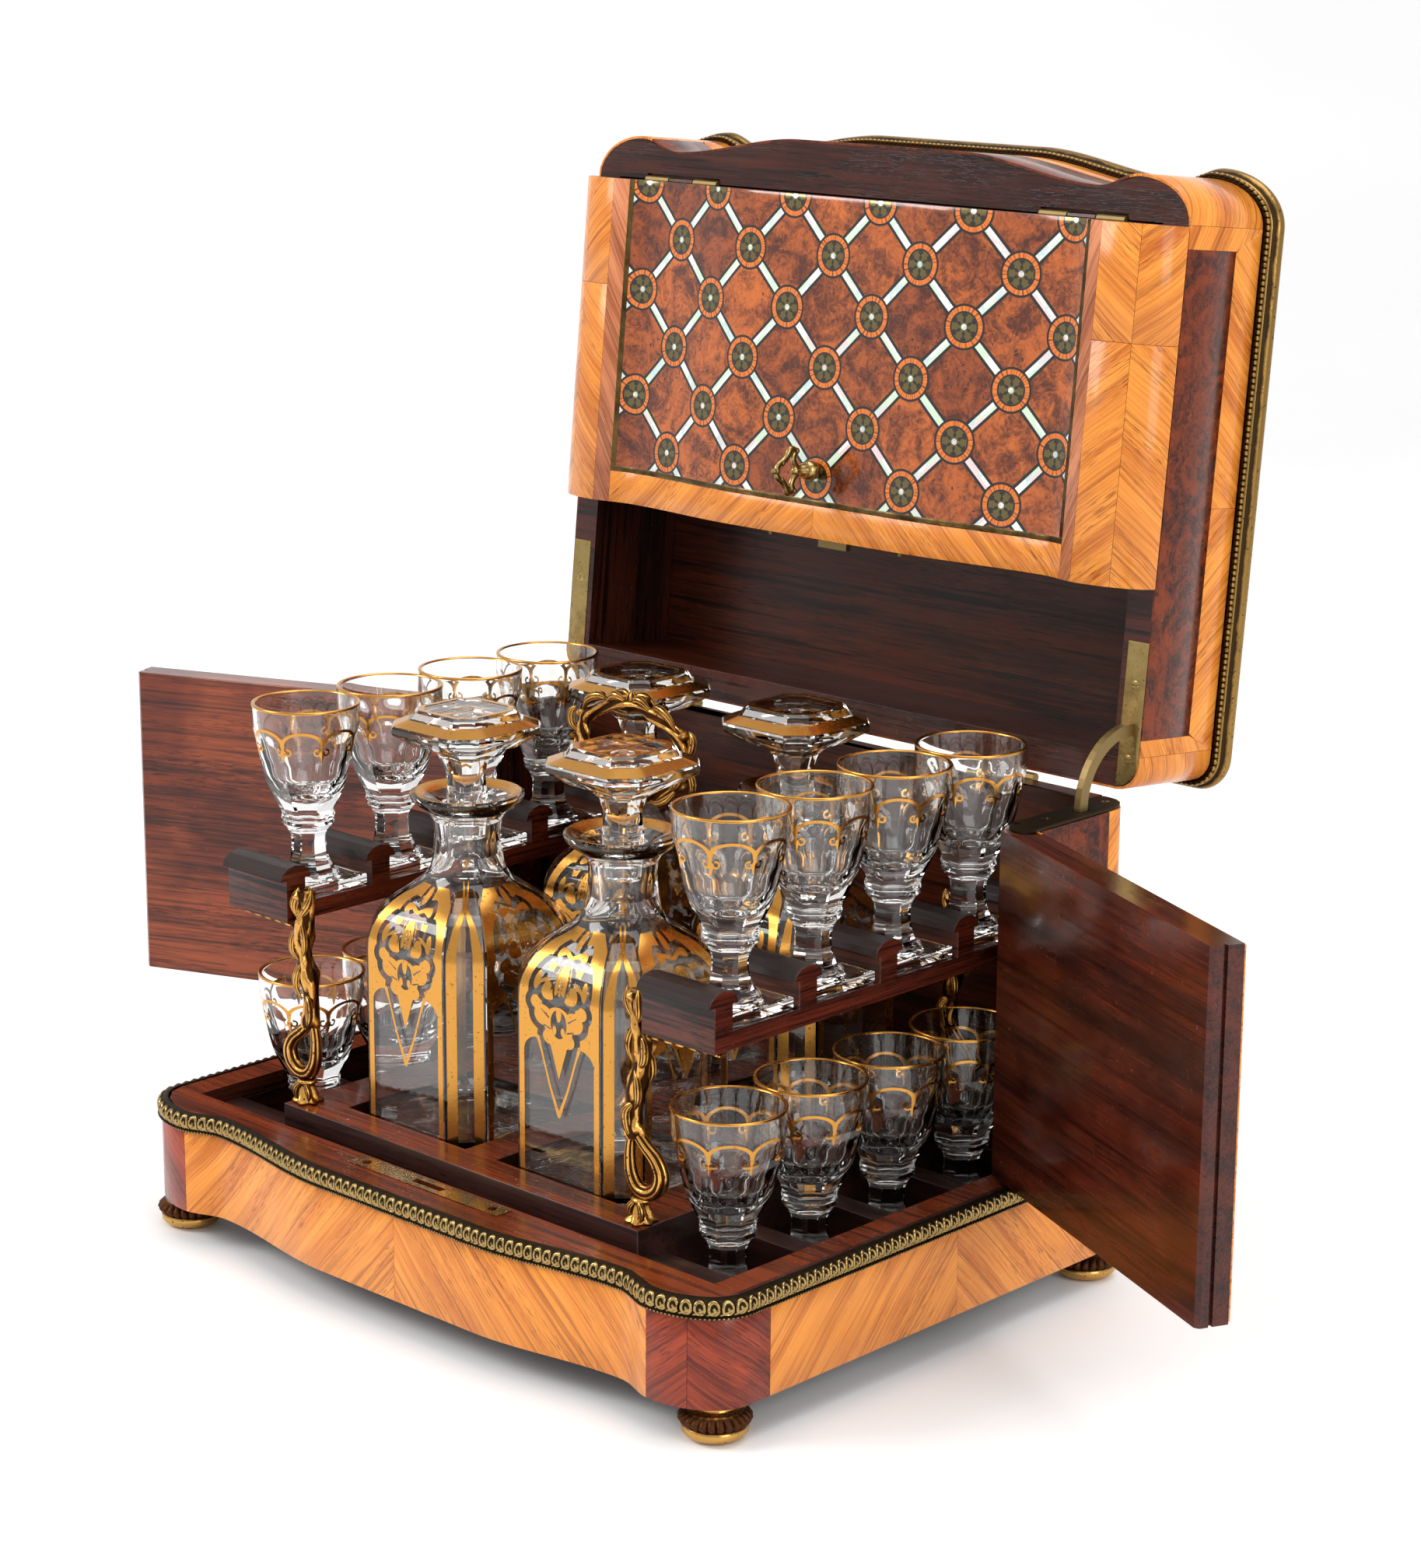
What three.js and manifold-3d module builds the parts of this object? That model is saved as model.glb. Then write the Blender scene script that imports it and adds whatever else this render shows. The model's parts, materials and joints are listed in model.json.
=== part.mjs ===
// Liqueur cabinet of the Napoleon III kind: a serpentine box whose lid carries a fall-front flap and
// whose sides are doors, with a lift-out caddy of four decanters and sixteen glasses.
// Millimetres. X to the right, Y to the back, Z up from the surface that it stands on.
// The lid's hinge line is y = 0 while the pieces are made, and the front is towards -Y.
// The lid, flap and doors are made shut and are then turned about their hinges to stand open.
import * as THREE from 'three';
import { mergeVertices } from 'three/addons/utils/BufferGeometryUtils.js';
import Module from 'manifold-3d';

const wasm = await Module();
wasm.setup();

// Clearances
const seatGap = 0.3; // between pieces that rest or butt
const swingGap = 0.3; // from a seam's hinge line to each of its faces
const pinGap = 0.3; // round a pin
const slideGap = 0.7; // round a piece that slides in a mortise
const over = 2; // how far a cutter runs past the face that it cuts

// Contents, which set the well, and with it the case
const glassFoot = 17; // half of the square foot
const glassPitch = 46.5;
const glassRows = 4;
const decanterSide = 70.6;
const decanterApart = 19.4; // between two decanters across the caddy
const pocketPlay = 0.7;
const platformMargin = 24; // from a decanter to the platform's side
const decanterAcross = (decanterSide + decanterApart) / 2;
const platformHalf = decanterAcross + decanterSide / 2 + platformMargin;
const glassAcross = platformHalf + pocketPlay + glassFoot; // from the middle to a row of glasses

// Well
const wellBack = 14;
const wellMargin = 12.5; // from the glasses' feet to the well's side
const backMargin = 15.25; // from the well's back to the rear glasses' room
const frontMargin = 14.75; // from the front glasses' room to the well's front
const wellHalf = glassAcross + glassFoot + wellMargin;
const wellFront = wellBack + backMargin + glassRows * glassPitch + frontMargin;
const glassFrontRow = wellBack + backMargin + (glassRows - 1 / 2) * glassPitch;

// Case
const plinthRim = 13.5; // from the well's side to the case's side
const caseHalf = wellHalf + plinthRim; // half the width over the doors and the lid
const seamHeight = 203.5; // lid's hinge line and the seam of the shut box
const flapInset = 0.6; // from the well's front back to the flap's inner face
const flapBack = wellFront - flapInset;
const centreProud = 22.1; // front's reach past the flap's inner face at the middle
const hollowProud = 12.9; // in the hollows
const crestProud = 18.6; // at the corner pilasters
const centreDepth = flapBack + centreProud;
const hollowDepth = flapBack + hollowProud;
const crestDepth = flapBack + crestProud;
const bulgeHalf = 45; // half the flat stretch of the bulge
const hollowFromSide = 47;
const cornerWide = 27; // width over which a front corner turns
const hollowAt = caseHalf - hollowFromSide;
const crestAt = caseHalf - cornerWide;
const backFace = 2.6; // from the hinge line to the case's back
const rearRadius = 10.5; // upright rear corners
const wallThick = 14.2; // doors and posts
const postDepth = 58.1; // posts, front to back
const backThick = 9.4;

// Plinth
const footHeight = 14.4;
const plinthGrow = 3.5; // how far the plinth stands out from the case
const plinthWall = 36; // height of the veneered wall
const plinthMoulding = 8.6; // height of the gilt moulding
const mouldingSeat = 3.2; // moulding's depth on the plinth's edge
const mouldingProud = 2; // how far it stands out from the wall
const mouldingShares = [[0.5, 0], [1, 0.3], [0, 0.825]]; // of what stands out and of the height
const topThick = 7.3; // rosewood frame round the well
const floorThick = 5;
const wellDepth = 32.6; // from the frame's face to the floor

// Feet
const footInset = 13; // from the plinth's side to a foot's axis
const footSetback = 8; // from the case's front corner line, forward, and from its back
const footRadius = 14.5;
const footNeck = 8.5;
const footBase = 9;
const footNeckShare = 0.85; // of the height
const footShares = [[0.92, 0.22], [0.9, 0.42], [1, 0.62], [0.9, 0.77]]; // of the radius and the height

// Lid
const lidWall = 13.5;
const lidRise = 51.7; // height of the lid's walls
const lidTopThick = 7.7;
const lidOpen = 95.6; // degrees
const lidMoulding = 12; // height of the brass moulding
const lidMouldingProud = 4.5;
const lidMouldingRise = 0.9; // moulding's upper edge above the top board
const hingeFromSide = 69;
const hingeAt = caseHalf - hingeFromSide; // from the middle to each rear hinge
const hingeLong = 36;
const leafThick = 1.2;
const leafDeep = 9;
const knuckleRadius = 2.1;
const hingePinRadius = 1.1;

// Stay
const stayRadius = 28;
const stayWide = 5; // along the radius
const stayThick = 3;
const stayFromSide = 4.5; // from the case's side to the stay's outer face
const stayDeep = 6; // degrees that each end enters its mortise
const stayPostTravel = 47.8; // degrees that the stay sinks into the post, half of the lid's turn

// Flap
const flapRun = 0.5; // above the plinth's moulding
const fieldFromSide = 36.5;
const fieldHalf = caseHalf - fieldFromSide; // half the width of the marquetry
const fieldFoot = 14; // band below the marquetry
const veneer = 1.4;
const flapHingeFromSide = 53;
const flapHingeAt = caseHalf - flapHingeFromSide;
const flapHingeLong = 44;
const flapKnuckle = 1.7;
const flapPinRadius = 0.8;
const flapLeafDeep = 8;
const keyRise = 29; // from the flap's lower edge to the keyhole

// Lock and key
const lockHalf = 22;
const lockTall = 46;
const lockThick = 8;
const lockPlateHalf = 45;
const lockPlateWide = 9;
const lockPlateThick = 1.4;
const lockFromBack = 2.2; // flap's inner face to the lock plate
const boltWide = 16;
const boltThick = 3;
const boltThrow = 5;
const boltLong = 16.5; // bolt's reach up into the lock
const guidePinAt = 37;
const guidePinRadius = 1.6;
const guidePinLong = 3.4;
const keyRadius = 2.4;
const keyOut = 13; // from the front to the bow
const bowTall = 20;
const bowLong = 15;
const bowThick = 3;
const knopShares = [[1.7, 0.75], [1, 0.5], [1.5, 0.25], [0.8, 0]]; // of keyRadius and keyOut
const bitLong = 4.5;
const bitThick = 2;

// Doors
const doorGap = 0.3; // doors to post and flap
const doorOpenRight = 65.1; // degrees
const doorOpenLeft = 68;
const pivotInset = 3; // from the door's outer faces to its pivot
const pivotRadius = 1.5;
const pivotLong = 7;
const pivotLug = 8;
const plateThick = 1.2;
const beadGroove = 1.6;
const beadWide = 5;

// Glasses
const glassHeight = 79;
const glassRim = 22.7; // radius
const glassWall = 1.6;

// Caddy
const basePlay = 1.3; // from the base's side to the well's side
const baseThick = 6.3;
const dividerHeight = 20;
const dividerThick = 11;
const platformFromFront = 6.5; // from the well's front
const platformFromBack = 6.7;
const platformTall = 31.9;
const pocketDeep = 9.6;
const pocketFromFront = 16.2; // from the platform's front to a decanter
const pocketFromBack = 16;
const shelfHeight = 142;
const railTall = 7.5;
const railWide = 4;
const shelfHalf = 19; // half of the shelf's width
const blockThick = 10;
const blockTall = 18; // up to the cap's underside
const capWide = 16.5;
const capTall = 6;
const strapThick = 1.8;
const strapWide = 4;
const uprightAbove = 16; // its crown above the shelf's underside
const uprightInset = 5.8; // from the platform's side
const uprightThick = 5;
const loopTall = 27;
const loopWide = 19;
const loopThick = 4;
const ringHalf = 37; // carrying ring, half width
const ringTall = 48;
const ringThick = 6.5;
const ringAbove = 7; // ring's top above the stoppers
const stemRadius = 3.5;

// Decanters
const decanterChamfer = 12;
const decanterWall = 3;
const decanterBody = 81; // to the start of the shoulder
const decanterHeight = 145.6;
const decanterLip = 23.6; // radius
const decanterNeck = 14.6; // radius
const stopperSide = 51.5;
const stopperChamfer = 9;
const stopperThick = 15;
const stopperRise = 34.5; // top of the stopper above the lip

// Colours of the finishes
const finish = (color, roughness, metalness = 0) => ({ color, roughness, metalness });
const kingwood = finish(0xb8662b, 0.35);
const rosewood = finish(0x35170f, 0.4);
const burl = finish(0x7a3413, 0.3);
const marquetry = finish(0x6a3016, 0.25);
const gilt = finish(0xc9963a, 0.35, 1);
const brass = finish(0x8b7742, 0.45, 1);
const darkBrass = finish(0x5f4e2a, 0.5, 1);
const glass = finish(0xf2f0ea, 0.05);

// Solids
const { degToRad, lerp, smoothstep } = THREE.MathUtils;

const weld = 1e-4;

function toIndexed(geometry) {
  const bare = geometry.clone();
  bare.deleteAttribute('normal');
  bare.deleteAttribute('uv');
  return mergeVertices(bare, weld);
}

function toSolid(geometry) {
  const merged = toIndexed(geometry);
  return new wasm.Manifold(new wasm.Mesh({
    numProp: 3,
    vertProperties: Float32Array.from(merged.attributes.position.array),
    triVerts: Uint32Array.from(merged.index.array),
  }));
}

function toGeometry(solid) {
  const { vertProperties, triVerts } = solid.getMesh();
  const geometry = new THREE.BufferGeometry();
  geometry.setAttribute('position', new THREE.BufferAttribute(Float32Array.from(vertProperties), 3));
  geometry.setIndex(Array.from(triVerts));
  return geometry;
}

const join = (...pieces) => toGeometry(pieces.map(toSolid).reduce((all, piece) => all.add(piece)));
const cut = (piece, ...cutters) => toGeometry(
  cutters.map(toSolid).reduce((left, cutter) => left.subtract(cutter), toSolid(piece)),
);
const common = (piece, other) => toGeometry(toSolid(piece).intersect(toSolid(other)));
const moved = (geometry, x, y, z) => geometry.clone().translate(x, y, z);

// A copy on the other side of the cabinet's middle plane, with its faces turned out again
function mirrored(geometry) {
  const copy = toIndexed(geometry).scale(-1, 1, 1);
  const corners = copy.index.array;
  for (let i = 0; i < corners.length; i += 3) {
    [corners[i], corners[i + 1]] = [corners[i + 1], corners[i]];
  }
  return copy;
}

function block(xs, ys, zs) {
  const size = [xs, ys, zs].map(([low, high]) => high - low);
  const middle = [xs, ys, zs].map(([low, high]) => (low + high) / 2);
  return new THREE.BoxGeometry(...size).translate(...middle);
}

function slab(points, low, high) {
  const shape = new THREE.Shape(points);
  return new THREE.ExtrudeGeometry(shape, { depth: high - low, bevelEnabled: false }).translate(0, 0, low);
}

// A turned solid on the Z axis through the origin, from [radius, height] pairs
const turned = (pairs, sides) => new THREE.LatheGeometry(
  pairs.map(([radius, height]) => new THREE.Vector2(radius, height)), sides,
).rotateX(Math.PI / 2);

// A round rod that stands on the Z axis with its middle at the origin
const rod = (radius, long) => new THREE.CylinderGeometry(radius, radius, long, 10).rotateX(Math.PI / 2);

// A skin over closed rings of equally many points. Its ends are closed to their middles, or meet.
function loft(rings, meets = false) {
  const count = rings[0].length;
  const points = rings.flat();
  const faces = [];
  const spans = meets ? rings.length : rings.length - 1;
  for (let r = 0; r < spans; r += 1) {
    for (let k = 0; k < count; k += 1) {
      const [a, b] = [r * count + k, r * count + (k + 1) % count];
      const [c, d] = [a, b].map((i) => (i + count) % points.length);
      faces.push(a, b, d, a, d, c);
    }
  }
  if (!meets) {
    [[0, 1], [rings.length - 1, -1]].forEach(([r, turn]) => {
      const hub = points.length;
      points.push(rings[r].reduce((sum, p) => sum.add(p), new THREE.Vector3()).divideScalar(count));
      for (let k = 0; k < count; k += 1) {
        const edge = [r * count + (k + 1) % count, r * count + k];
        faces.push(hub, ...(turn > 0 ? edge : edge.reverse()));
      }
    });
  }
  const geometry = new THREE.BufferGeometry().setFromPoints(points);
  geometry.setIndex(faces);
  return geometry;
}

// Plan outlines
function frontDepth(x) {
  const reach = Math.abs(x);
  const fall = smoothstep(reach, bulgeHalf, hollowAt);
  const rise = smoothstep(reach, hollowAt, crestAt);
  return lerp(lerp(centreDepth, hollowDepth, fall), crestDepth, rise);
}

const frontStations = 24;
const cornerSteps = 4;

// The serpentine front from the left side to the right side, drawn out or in by grow
function frontCurve(grow) {
  const half = caseHalf + grow;
  const right = [];
  for (let i = 0; i <= frontStations / 2; i += 1) {
    const x = crestAt * (2 * i / frontStations);
    right.push(new THREE.Vector2(x, -frontDepth(x) - grow));
  }
  for (let i = 1; i <= cornerSteps; i += 1) {
    const turn = (Math.PI / 2) * (i / cornerSteps);
    right.push(new THREE.Vector2(
      crestAt + (half - crestAt) * Math.sin(turn),
      -flapBack - (crestDepth + grow - flapBack) * Math.cos(turn),
    ));
  }
  const left = right.slice(1).reverse().map((p) => new THREE.Vector2(-p.x, p.y));
  return [...left, ...right];
}

// The rear corners and back from the right side to the left side
function rearCurve(grow) {
  const half = caseHalf + grow;
  const radius = rearRadius + grow;
  const back = grow - backFace;
  const right = [];
  for (let i = 0; i <= cornerSteps; i += 1) {
    const turn = (Math.PI / 2) * (i / cornerSteps);
    right.push(new THREE.Vector2(
      half - radius + radius * Math.cos(turn),
      back - radius + radius * Math.sin(turn),
    ));
  }
  const left = right.slice().reverse().map((p) => new THREE.Vector2(-p.x, p.y));
  return [...right, ...left];
}

const planCurve = (grow) => [...frontCurve(grow), ...rearCurve(grow)];

// A band carried round the plan. Its section is [out, up] pairs, from its inner lower edge outwards.
function bandRound(section, curveOf, meets) {
  const turnedOut = section.slice().reverse();
  const curves = turnedOut.map(([out]) => curveOf(out));
  const rings = curves[0].map((_, i) => turnedOut.map(
    ([, up], k) => new THREE.Vector3(curves[k][i].x, curves[k][i].y, up),
  ));
  return loft(rings, meets);
}

// Sectors round an axis that runs along X
function sector(radius, wide, from, to, xs, steps) {
  const points = [];
  for (let i = 0; i <= steps; i += 1) {
    const turn = degToRad(lerp(from, to, i / steps));
    points.push([radius + wide / 2, turn]);
  }
  for (let i = steps; i >= 0; i -= 1) {
    const turn = degToRad(lerp(from, to, i / steps));
    points.push([radius - wide / 2, turn]);
  }
  const shape = new THREE.Shape(points.map(
    ([r, turn]) => new THREE.Vector2(r * Math.cos(turn), r * Math.sin(turn)),
  ));
  const depth = xs[1] - xs[0];
  const geometry = new THREE.ExtrudeGeometry(shape, { depth, bevelEnabled: false });
  return geometry.rotateX(Math.PI / 2).rotateZ(Math.PI / 2).translate(xs[0], 0, 0);
}

// Levels of the plinth and the body
const wallLow = footHeight + seatGap;
const wallHigh = wallLow + plinthWall;
const frameLow = wallHigh + seatGap;
const frameHigh = frameLow + topThick;
const mouldingHigh = wallHigh + plinthMoulding;
const floorHigh = frameHigh - wellDepth;
const bodyLow = frameHigh + seatGap;
const bodyHigh = seamHeight - swingGap;
const postHigh = bodyHigh - plateThick - seatGap;
const postFront = -backFace - postDepth;
const postInner = caseHalf - wallThick;
const flapLow = mouldingHigh + flapRun;
const rimHeight = seamHeight + swingGap;

const sideNames = [['left', -1], ['right', 1]];
const pieces = {};
const keep = (name, geometry, look) => { pieces[name] = { geometry, look }; };

// A right-hand piece and its mirror image
function keepPair(name, geometry, look) {
  keep(`${name}_right`, geometry, look);
  keep(`${name}_left`, mirrored(geometry), look);
}

// Plinth

function plinth() {
  const wellHeights = [footHeight - over, mouldingHigh + over];
  const well = block([-wellHalf, wellHalf], [-wellFront, -wellBack], wellHeights);
  keep('plinth_frame', cut(slab(planCurve(plinthGrow), wallLow, wallHigh), well), kingwood);
  const top = slab(planCurve(plinthGrow - mouldingSeat - seatGap), frameLow, frameHigh);
  const pin = rod(pivotRadius, pivotLong + over);
  const pins = [-pivotX, pivotX].map((x) => moved(pin, x, pivotY, frameHigh + (pivotLong - over) / 2));
  keep('plinth_top', join(cut(top, well, ...strikeHoles()), ...pins), rosewood);
  const inner = plinthGrow - mouldingSeat;
  const low = wallHigh + seatGap;
  const face = mouldingShares.map(
    ([out, up]) => [plinthGrow + mouldingProud * out, lerp(low, mouldingHigh, up)],
  );
  const section = [[inner, low], ...face, [inner, mouldingHigh]];
  const path = (grow) => {
    const half = caseHalf + grow;
    const rear = postFront + postDepth - rearRadius;
    const front = frontCurve(grow);
    return [new THREE.Vector2(-half, rear), ...front, new THREE.Vector2(half, rear)];
  };
  keep('plinth_moulding', bandRound(section, path, false), gilt);
}

// Holes in the plinth's front rail for the bolt and the lock's guide pins

const strikeY = -flapBack - lockFromBack - lockPlateWide / 2;

function strikeHoles() {
  const slotHalf = boltWide / 2 + slideGap;
  const slotWide = boltThick / 2 + slideGap;
  const hole = guidePinRadius + slideGap;
  const low = frameHigh - boltThrow;
  const high = frameHigh + over;
  const round = rod(hole, high - low);
  return [
    block([-slotHalf, slotHalf], [strikeY - slotWide, strikeY + slotWide], [low, high]),
    ...[-guidePinAt, guidePinAt].map((x) => moved(round, x, strikeY, (low + high) / 2)),
  ];
}

const wellEnds = [-wellFront + seatGap, -wellBack - seatGap];

function wellFloor() {
  const side = wellHalf - seatGap;
  keep('well_floor', block([-side, side], wellEnds, [floorHigh - floorThick, floorHigh]), rosewood);
}

// Feet

function feet() {
  const foot = turned([
    [0, 0], [footBase, 0], ...footShares.map(([out, up]) => [footRadius * out, footHeight * up]),
    [footNeck, footHeight * footNeckShare], [footNeck, footHeight], [0, footHeight],
  ], 12);
  const x = caseHalf + plinthGrow - footInset;
  const places = [['front', -flapBack - footSetback + plinthGrow], ['rear', -backFace - footSetback]];
  places.forEach(([row, y]) => sideNames.forEach(([side, sign]) => {
    keep(`foot_${row}_${side}`, moved(foot, sign * x, y, 0), gilt);
  }));
}

// Posts, back and their plates

const straight = 180;
const stayPlay = 1; // degrees
const stayOuter = caseHalf - stayFromSide;
const stayMiddle = stayOuter - stayThick / 2;

function stayMortise(from, to) {
  const half = stayThick / 2 + slideGap;
  return sector(stayRadius, stayWide + 2 * slideGap, from, to, [stayMiddle - half, stayMiddle + half], 12)
    .translate(0, 0, seamHeight);
}

function postPlan(inset) {
  const curve = rearCurve(-inset).filter((p) => p.x > 0);
  return [
    new THREE.Vector2(postInner + inset, postFront + inset),
    new THREE.Vector2(caseHalf - inset, postFront + inset),
    ...curve,
    new THREE.Vector2(postInner + inset, -backFace - inset),
  ];
}

function posts() {
  const mortise = stayMortise(straight - stayDeep, straight + stayDeep + stayPostTravel + stayPlay);
  const post = slab(postPlan(0), bodyLow, postHigh);
  keep('post_right', cut(post, mortise), burl);
  keep('post_left', mirrored(post), burl);
  const inside = postInner - seatGap;
  const leaves = hingeRecess(bodyHigh - leafThick - seatGap, bodyHigh + over);
  const back = block([-inside, inside], [-backFace - backThick, -backFace], [bodyLow, bodyHigh]);
  keep('back_panel', cut(back, ...leaves), rosewood);
}

const pivotX = caseHalf - pivotInset;
const pivotY = postFront - doorGap - pivotInset;

// A plate on each post's top, with a lug over the door and the pin that the door turns on
function postPlates() {
  const low = bodyHigh - plateThick;
  const disc = new THREE.CylinderGeometry(pivotLug, pivotLug, plateThick, 16).rotateX(Math.PI / 2);
  const pin = rod(pivotRadius, pivotLong + plateThick);
  const heights = [low, bodyHigh];
  const inside = block([postInner, caseHalf], [pivotY - pivotLug, postFront + over], heights);
  const lug = common(moved(disc, pivotX, pivotY, low + plateThick / 2), inside);
  const across = [pivotX - pivotLug / 2, caseHalf - seatGap];
  const bridge = block(across, [pivotY, postFront + over], heights);
  const cap = slab(postPlan(seatGap), low, bodyHigh);
  const plate = join(cap, lug, bridge, moved(pin, pivotX, pivotY, bodyHigh - (pivotLong + plateThick) / 2));
  keep('post_plate_left', mirrored(plate), darkBrass);
  keep('post_plate_right', cut(plate, stayMortise(straight - stayDeep, straight + stayDeep)), darkBrass);
}

// Rear hinges: a leaf and pin let into the case's back, and the lid's own knuckle between its knuckles

const knuckles = 3;

// One knuckle lying along X, with a bore if its radius is given
function knuckle(from, to, radius, bore) {
  const tube = new THREE.CylinderGeometry(radius, radius, to - from, 8).rotateZ(Math.PI / 2);
  const whole = moved(tube, (from + to) / 2, 0, 0);
  if (!bore) return whole;
  const hole = new THREE.CylinderGeometry(bore, bore, to - from + over, 8).rotateZ(Math.PI / 2);
  return cut(whole, moved(hole, (from + to) / 2, 0, 0));
}

// The ends of each knuckle of a hinge of the given length
function knuckleEnds(long, mine) {
  const step = long / knuckles;
  const ends = Array.from({ length: knuckles }, (_, i) => {
    const from = step * i - long / 2;
    return [from + seatGap, from + step - seatGap];
  });
  return ends.filter((_, i) => mine(i));
}

const isOuter = (i) => i % 2 === 0;
const isInner = (i) => i % 2 === 1;

function hingeRecess(low, high) {
  return [-hingeAt, hingeAt].map((x) => block(
    [x - hingeLong / 2 - seatGap, x + hingeLong / 2 + seatGap],
    [-backFace - leafDeep - seatGap, over], [low, high],
  ));
}

function caseHinges() {
  const high = bodyHigh - seamHeight;
  const heights = [high - leafThick, high];
  const depths = [-backFace - leafDeep, -knuckleRadius - seatGap];
  const leaf = block([-hingeLong / 2, hingeLong / 2], depths, heights);
  const outer = knuckleEnds(hingeLong, isOuter).flatMap(([from, to]) => [
    knuckle(from, to, knuckleRadius),
    block([from, to], [-backFace - leafDeep / 2, -hingePinRadius], heights),
  ]);
  const pin = knuckle(-hingeLong / 2 + seatGap, hingeLong / 2 - seatGap, hingePinRadius);
  keepPair('case_hinge', moved(join(leaf, pin, ...outer), hingeAt, 0, seamHeight), brass);
}

function lidKnuckles() {
  const low = rimHeight - seamHeight;
  const solids = knuckleEnds(hingeLong, isInner).flatMap(([from, to]) => [
    knuckle(from, to, knuckleRadius, hingePinRadius + pinGap),
    block([from, to], [-backFace - over, -hingePinRadius - pinGap], [low, low + leafThick]),
  ]);
  return [-hingeAt, hingeAt].flatMap((x) => solids.map((solid) => moved(solid, x, 0, seamHeight)));
}

// Stay: a quarter ring that slides in the lid's wall and in the post

function stay() {
  const thick = [stayMiddle - stayThick / 2, stayMiddle + stayThick / 2];
  const arm = sector(stayRadius, stayWide, straight - lidOpen - stayDeep, straight + stayDeep, thick, 14);
  keep('stay_arm', moved(arm, 0, 0, seamHeight), brass);
}

// Doors, made shut on the right

function doors() {
  const front = -flapBack + doorGap + seatGap;
  const rear = postFront - doorGap;
  const inner = postInner;
  const corner = [];
  for (let i = 0; i <= cornerSteps; i += 1) {
    const turn = (Math.PI / 2) * (i / cornerSteps);
    corner.push(new THREE.Vector2(
      caseHalf - pivotInset + pivotInset * Math.cos(turn), rear - pivotInset + pivotInset * Math.sin(turn),
    ));
  }
  const grooveAt = inner + beadWide;
  const plan = [
    new THREE.Vector2(inner, front + beadGroove),
    new THREE.Vector2(inner + beadGroove, front),
    new THREE.Vector2(grooveAt, front),
    new THREE.Vector2(grooveAt, front + beadGroove),
    new THREE.Vector2(grooveAt + beadGroove, front + beadGroove),
    new THREE.Vector2(grooveAt + beadGroove, front),
    new THREE.Vector2(caseHalf, front),
    ...corner,
    new THREE.Vector2(inner, rear),
  ];
  const high = bodyHigh - seatGap;
  const low = flapLow;
  const lugRoom = pivotLug + slideGap;
  const bore = pivotRadius + pinGap;
  const notch = new THREE.CylinderGeometry(lugRoom, lugRoom, plateThick + over, 16).rotateX(Math.PI / 2);
  const hole = rod(bore, pivotLong + over);
  const notchLow = bodyHigh - plateThick - seatGap;
  const door = cut(
    slab(plan, low, high),
    moved(notch, pivotX, pivotY, notchLow + (plateThick + over) / 2),
    moved(hole, pivotX, pivotY, notchLow + over - (pivotLong + over) / 2),
    moved(hole, pivotX, pivotY, low - over + (pivotLong + over) / 2 + seatGap),
  );
  keepPair('door', door, rosewood);
}

// Lid, made shut

// Moulding's section as shares of its depth and height
const lidMouldingShares = [[0, 0], [0.5, 0], [1, 0.45], [0.85, 0.8], [0.5, 1], [0, 1]];

function lid() {
  const high = rimHeight + lidRise;
  const inner = caseHalf - lidWall;
  const cavity = block([-inner, inner], [-flapBack, -backFace - lidWall], [rimHeight - over, high + over]);
  const lidTravel = lidOpen - stayPostTravel;
  const mortise = stayMortise(straight - stayDeep - lidTravel - stayPlay, straight + stayDeep);
  const rearRoom = [-hingeAt, hingeAt].map((x) => block(
    [x - hingeLong / 2 - seatGap, x + hingeLong / 2 + seatGap],
    [-backFace - swingGap, over], [rimHeight - over, rimHeight + knuckleRadius],
  ));
  const frame = slab(planCurve(0), rimHeight, high);
  keep('lid_frame', join(
    cut(frame, cavity, mortise, mirrored(mortise), ...rearRoom, ...flapHingeRoom(1)),
    ...lidKnuckles(), ...flapKnuckles(),
  ), burl);
  const topLow = high + seatGap;
  const topHigh = topLow + lidTopThick;
  keep('lid_top', slab(planCurve(0), topLow, topHigh), burl);
  const crown = topHigh + lidMouldingRise;
  const low = crown - lidMoulding;
  const section = lidMouldingShares.map(
    ([out, up]) => [lerp(seatGap, lidMouldingProud, out), lerp(low, crown, up)],
  );
  keep('lid_moulding', bandRound(section, planCurve, true), darkBrass);
}

// Flap hinges: their knuckles lie in the seam at the flap's inner edge.
// Side is 1 on the lid and -1 on the flap.

const flapAxisY = -flapBack + swingGap;

function flapHingeRoom(side) {
  const room = flapKnuckle + slideGap;
  const heights = side > 0 ? [-room, room] : [-room, over];
  const leafHeights = [bodyHigh - seamHeight - leafThick - seatGap, over];
  const knuckleRoom = [-room - swingGap, heights];
  const leafRoom = [-flapLeafDeep - seatGap, leafHeights];
  const rooms = side > 0 ? [knuckleRoom] : [knuckleRoom, leafRoom];
  return [-flapHingeAt, flapHingeAt].flatMap((x) => rooms.map(([reach, [low, high]]) => block(
    [x - flapHingeLong / 2 - seatGap, x + flapHingeLong / 2 + seatGap],
    [flapAxisY + reach, flapAxisY + over], [seamHeight + low, seamHeight + high],
  )));
}

// The lid's own knuckles
function flapKnuckles() {
  const bore = flapPinRadius + pinGap;
  const solids = knuckleEnds(flapHingeLong, isInner).flatMap(([from, to]) => [
    knuckle(from, to, flapKnuckle, bore),
    block([from, to], [-flapKnuckle, -swingGap], [bore, flapKnuckle + slideGap + over]),
  ]);
  const places = [-flapHingeAt, flapHingeAt];
  return places.flatMap((x) => solids.map((solid) => moved(solid, x, flapAxisY, seamHeight)));
}

// Flap, made shut

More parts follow.
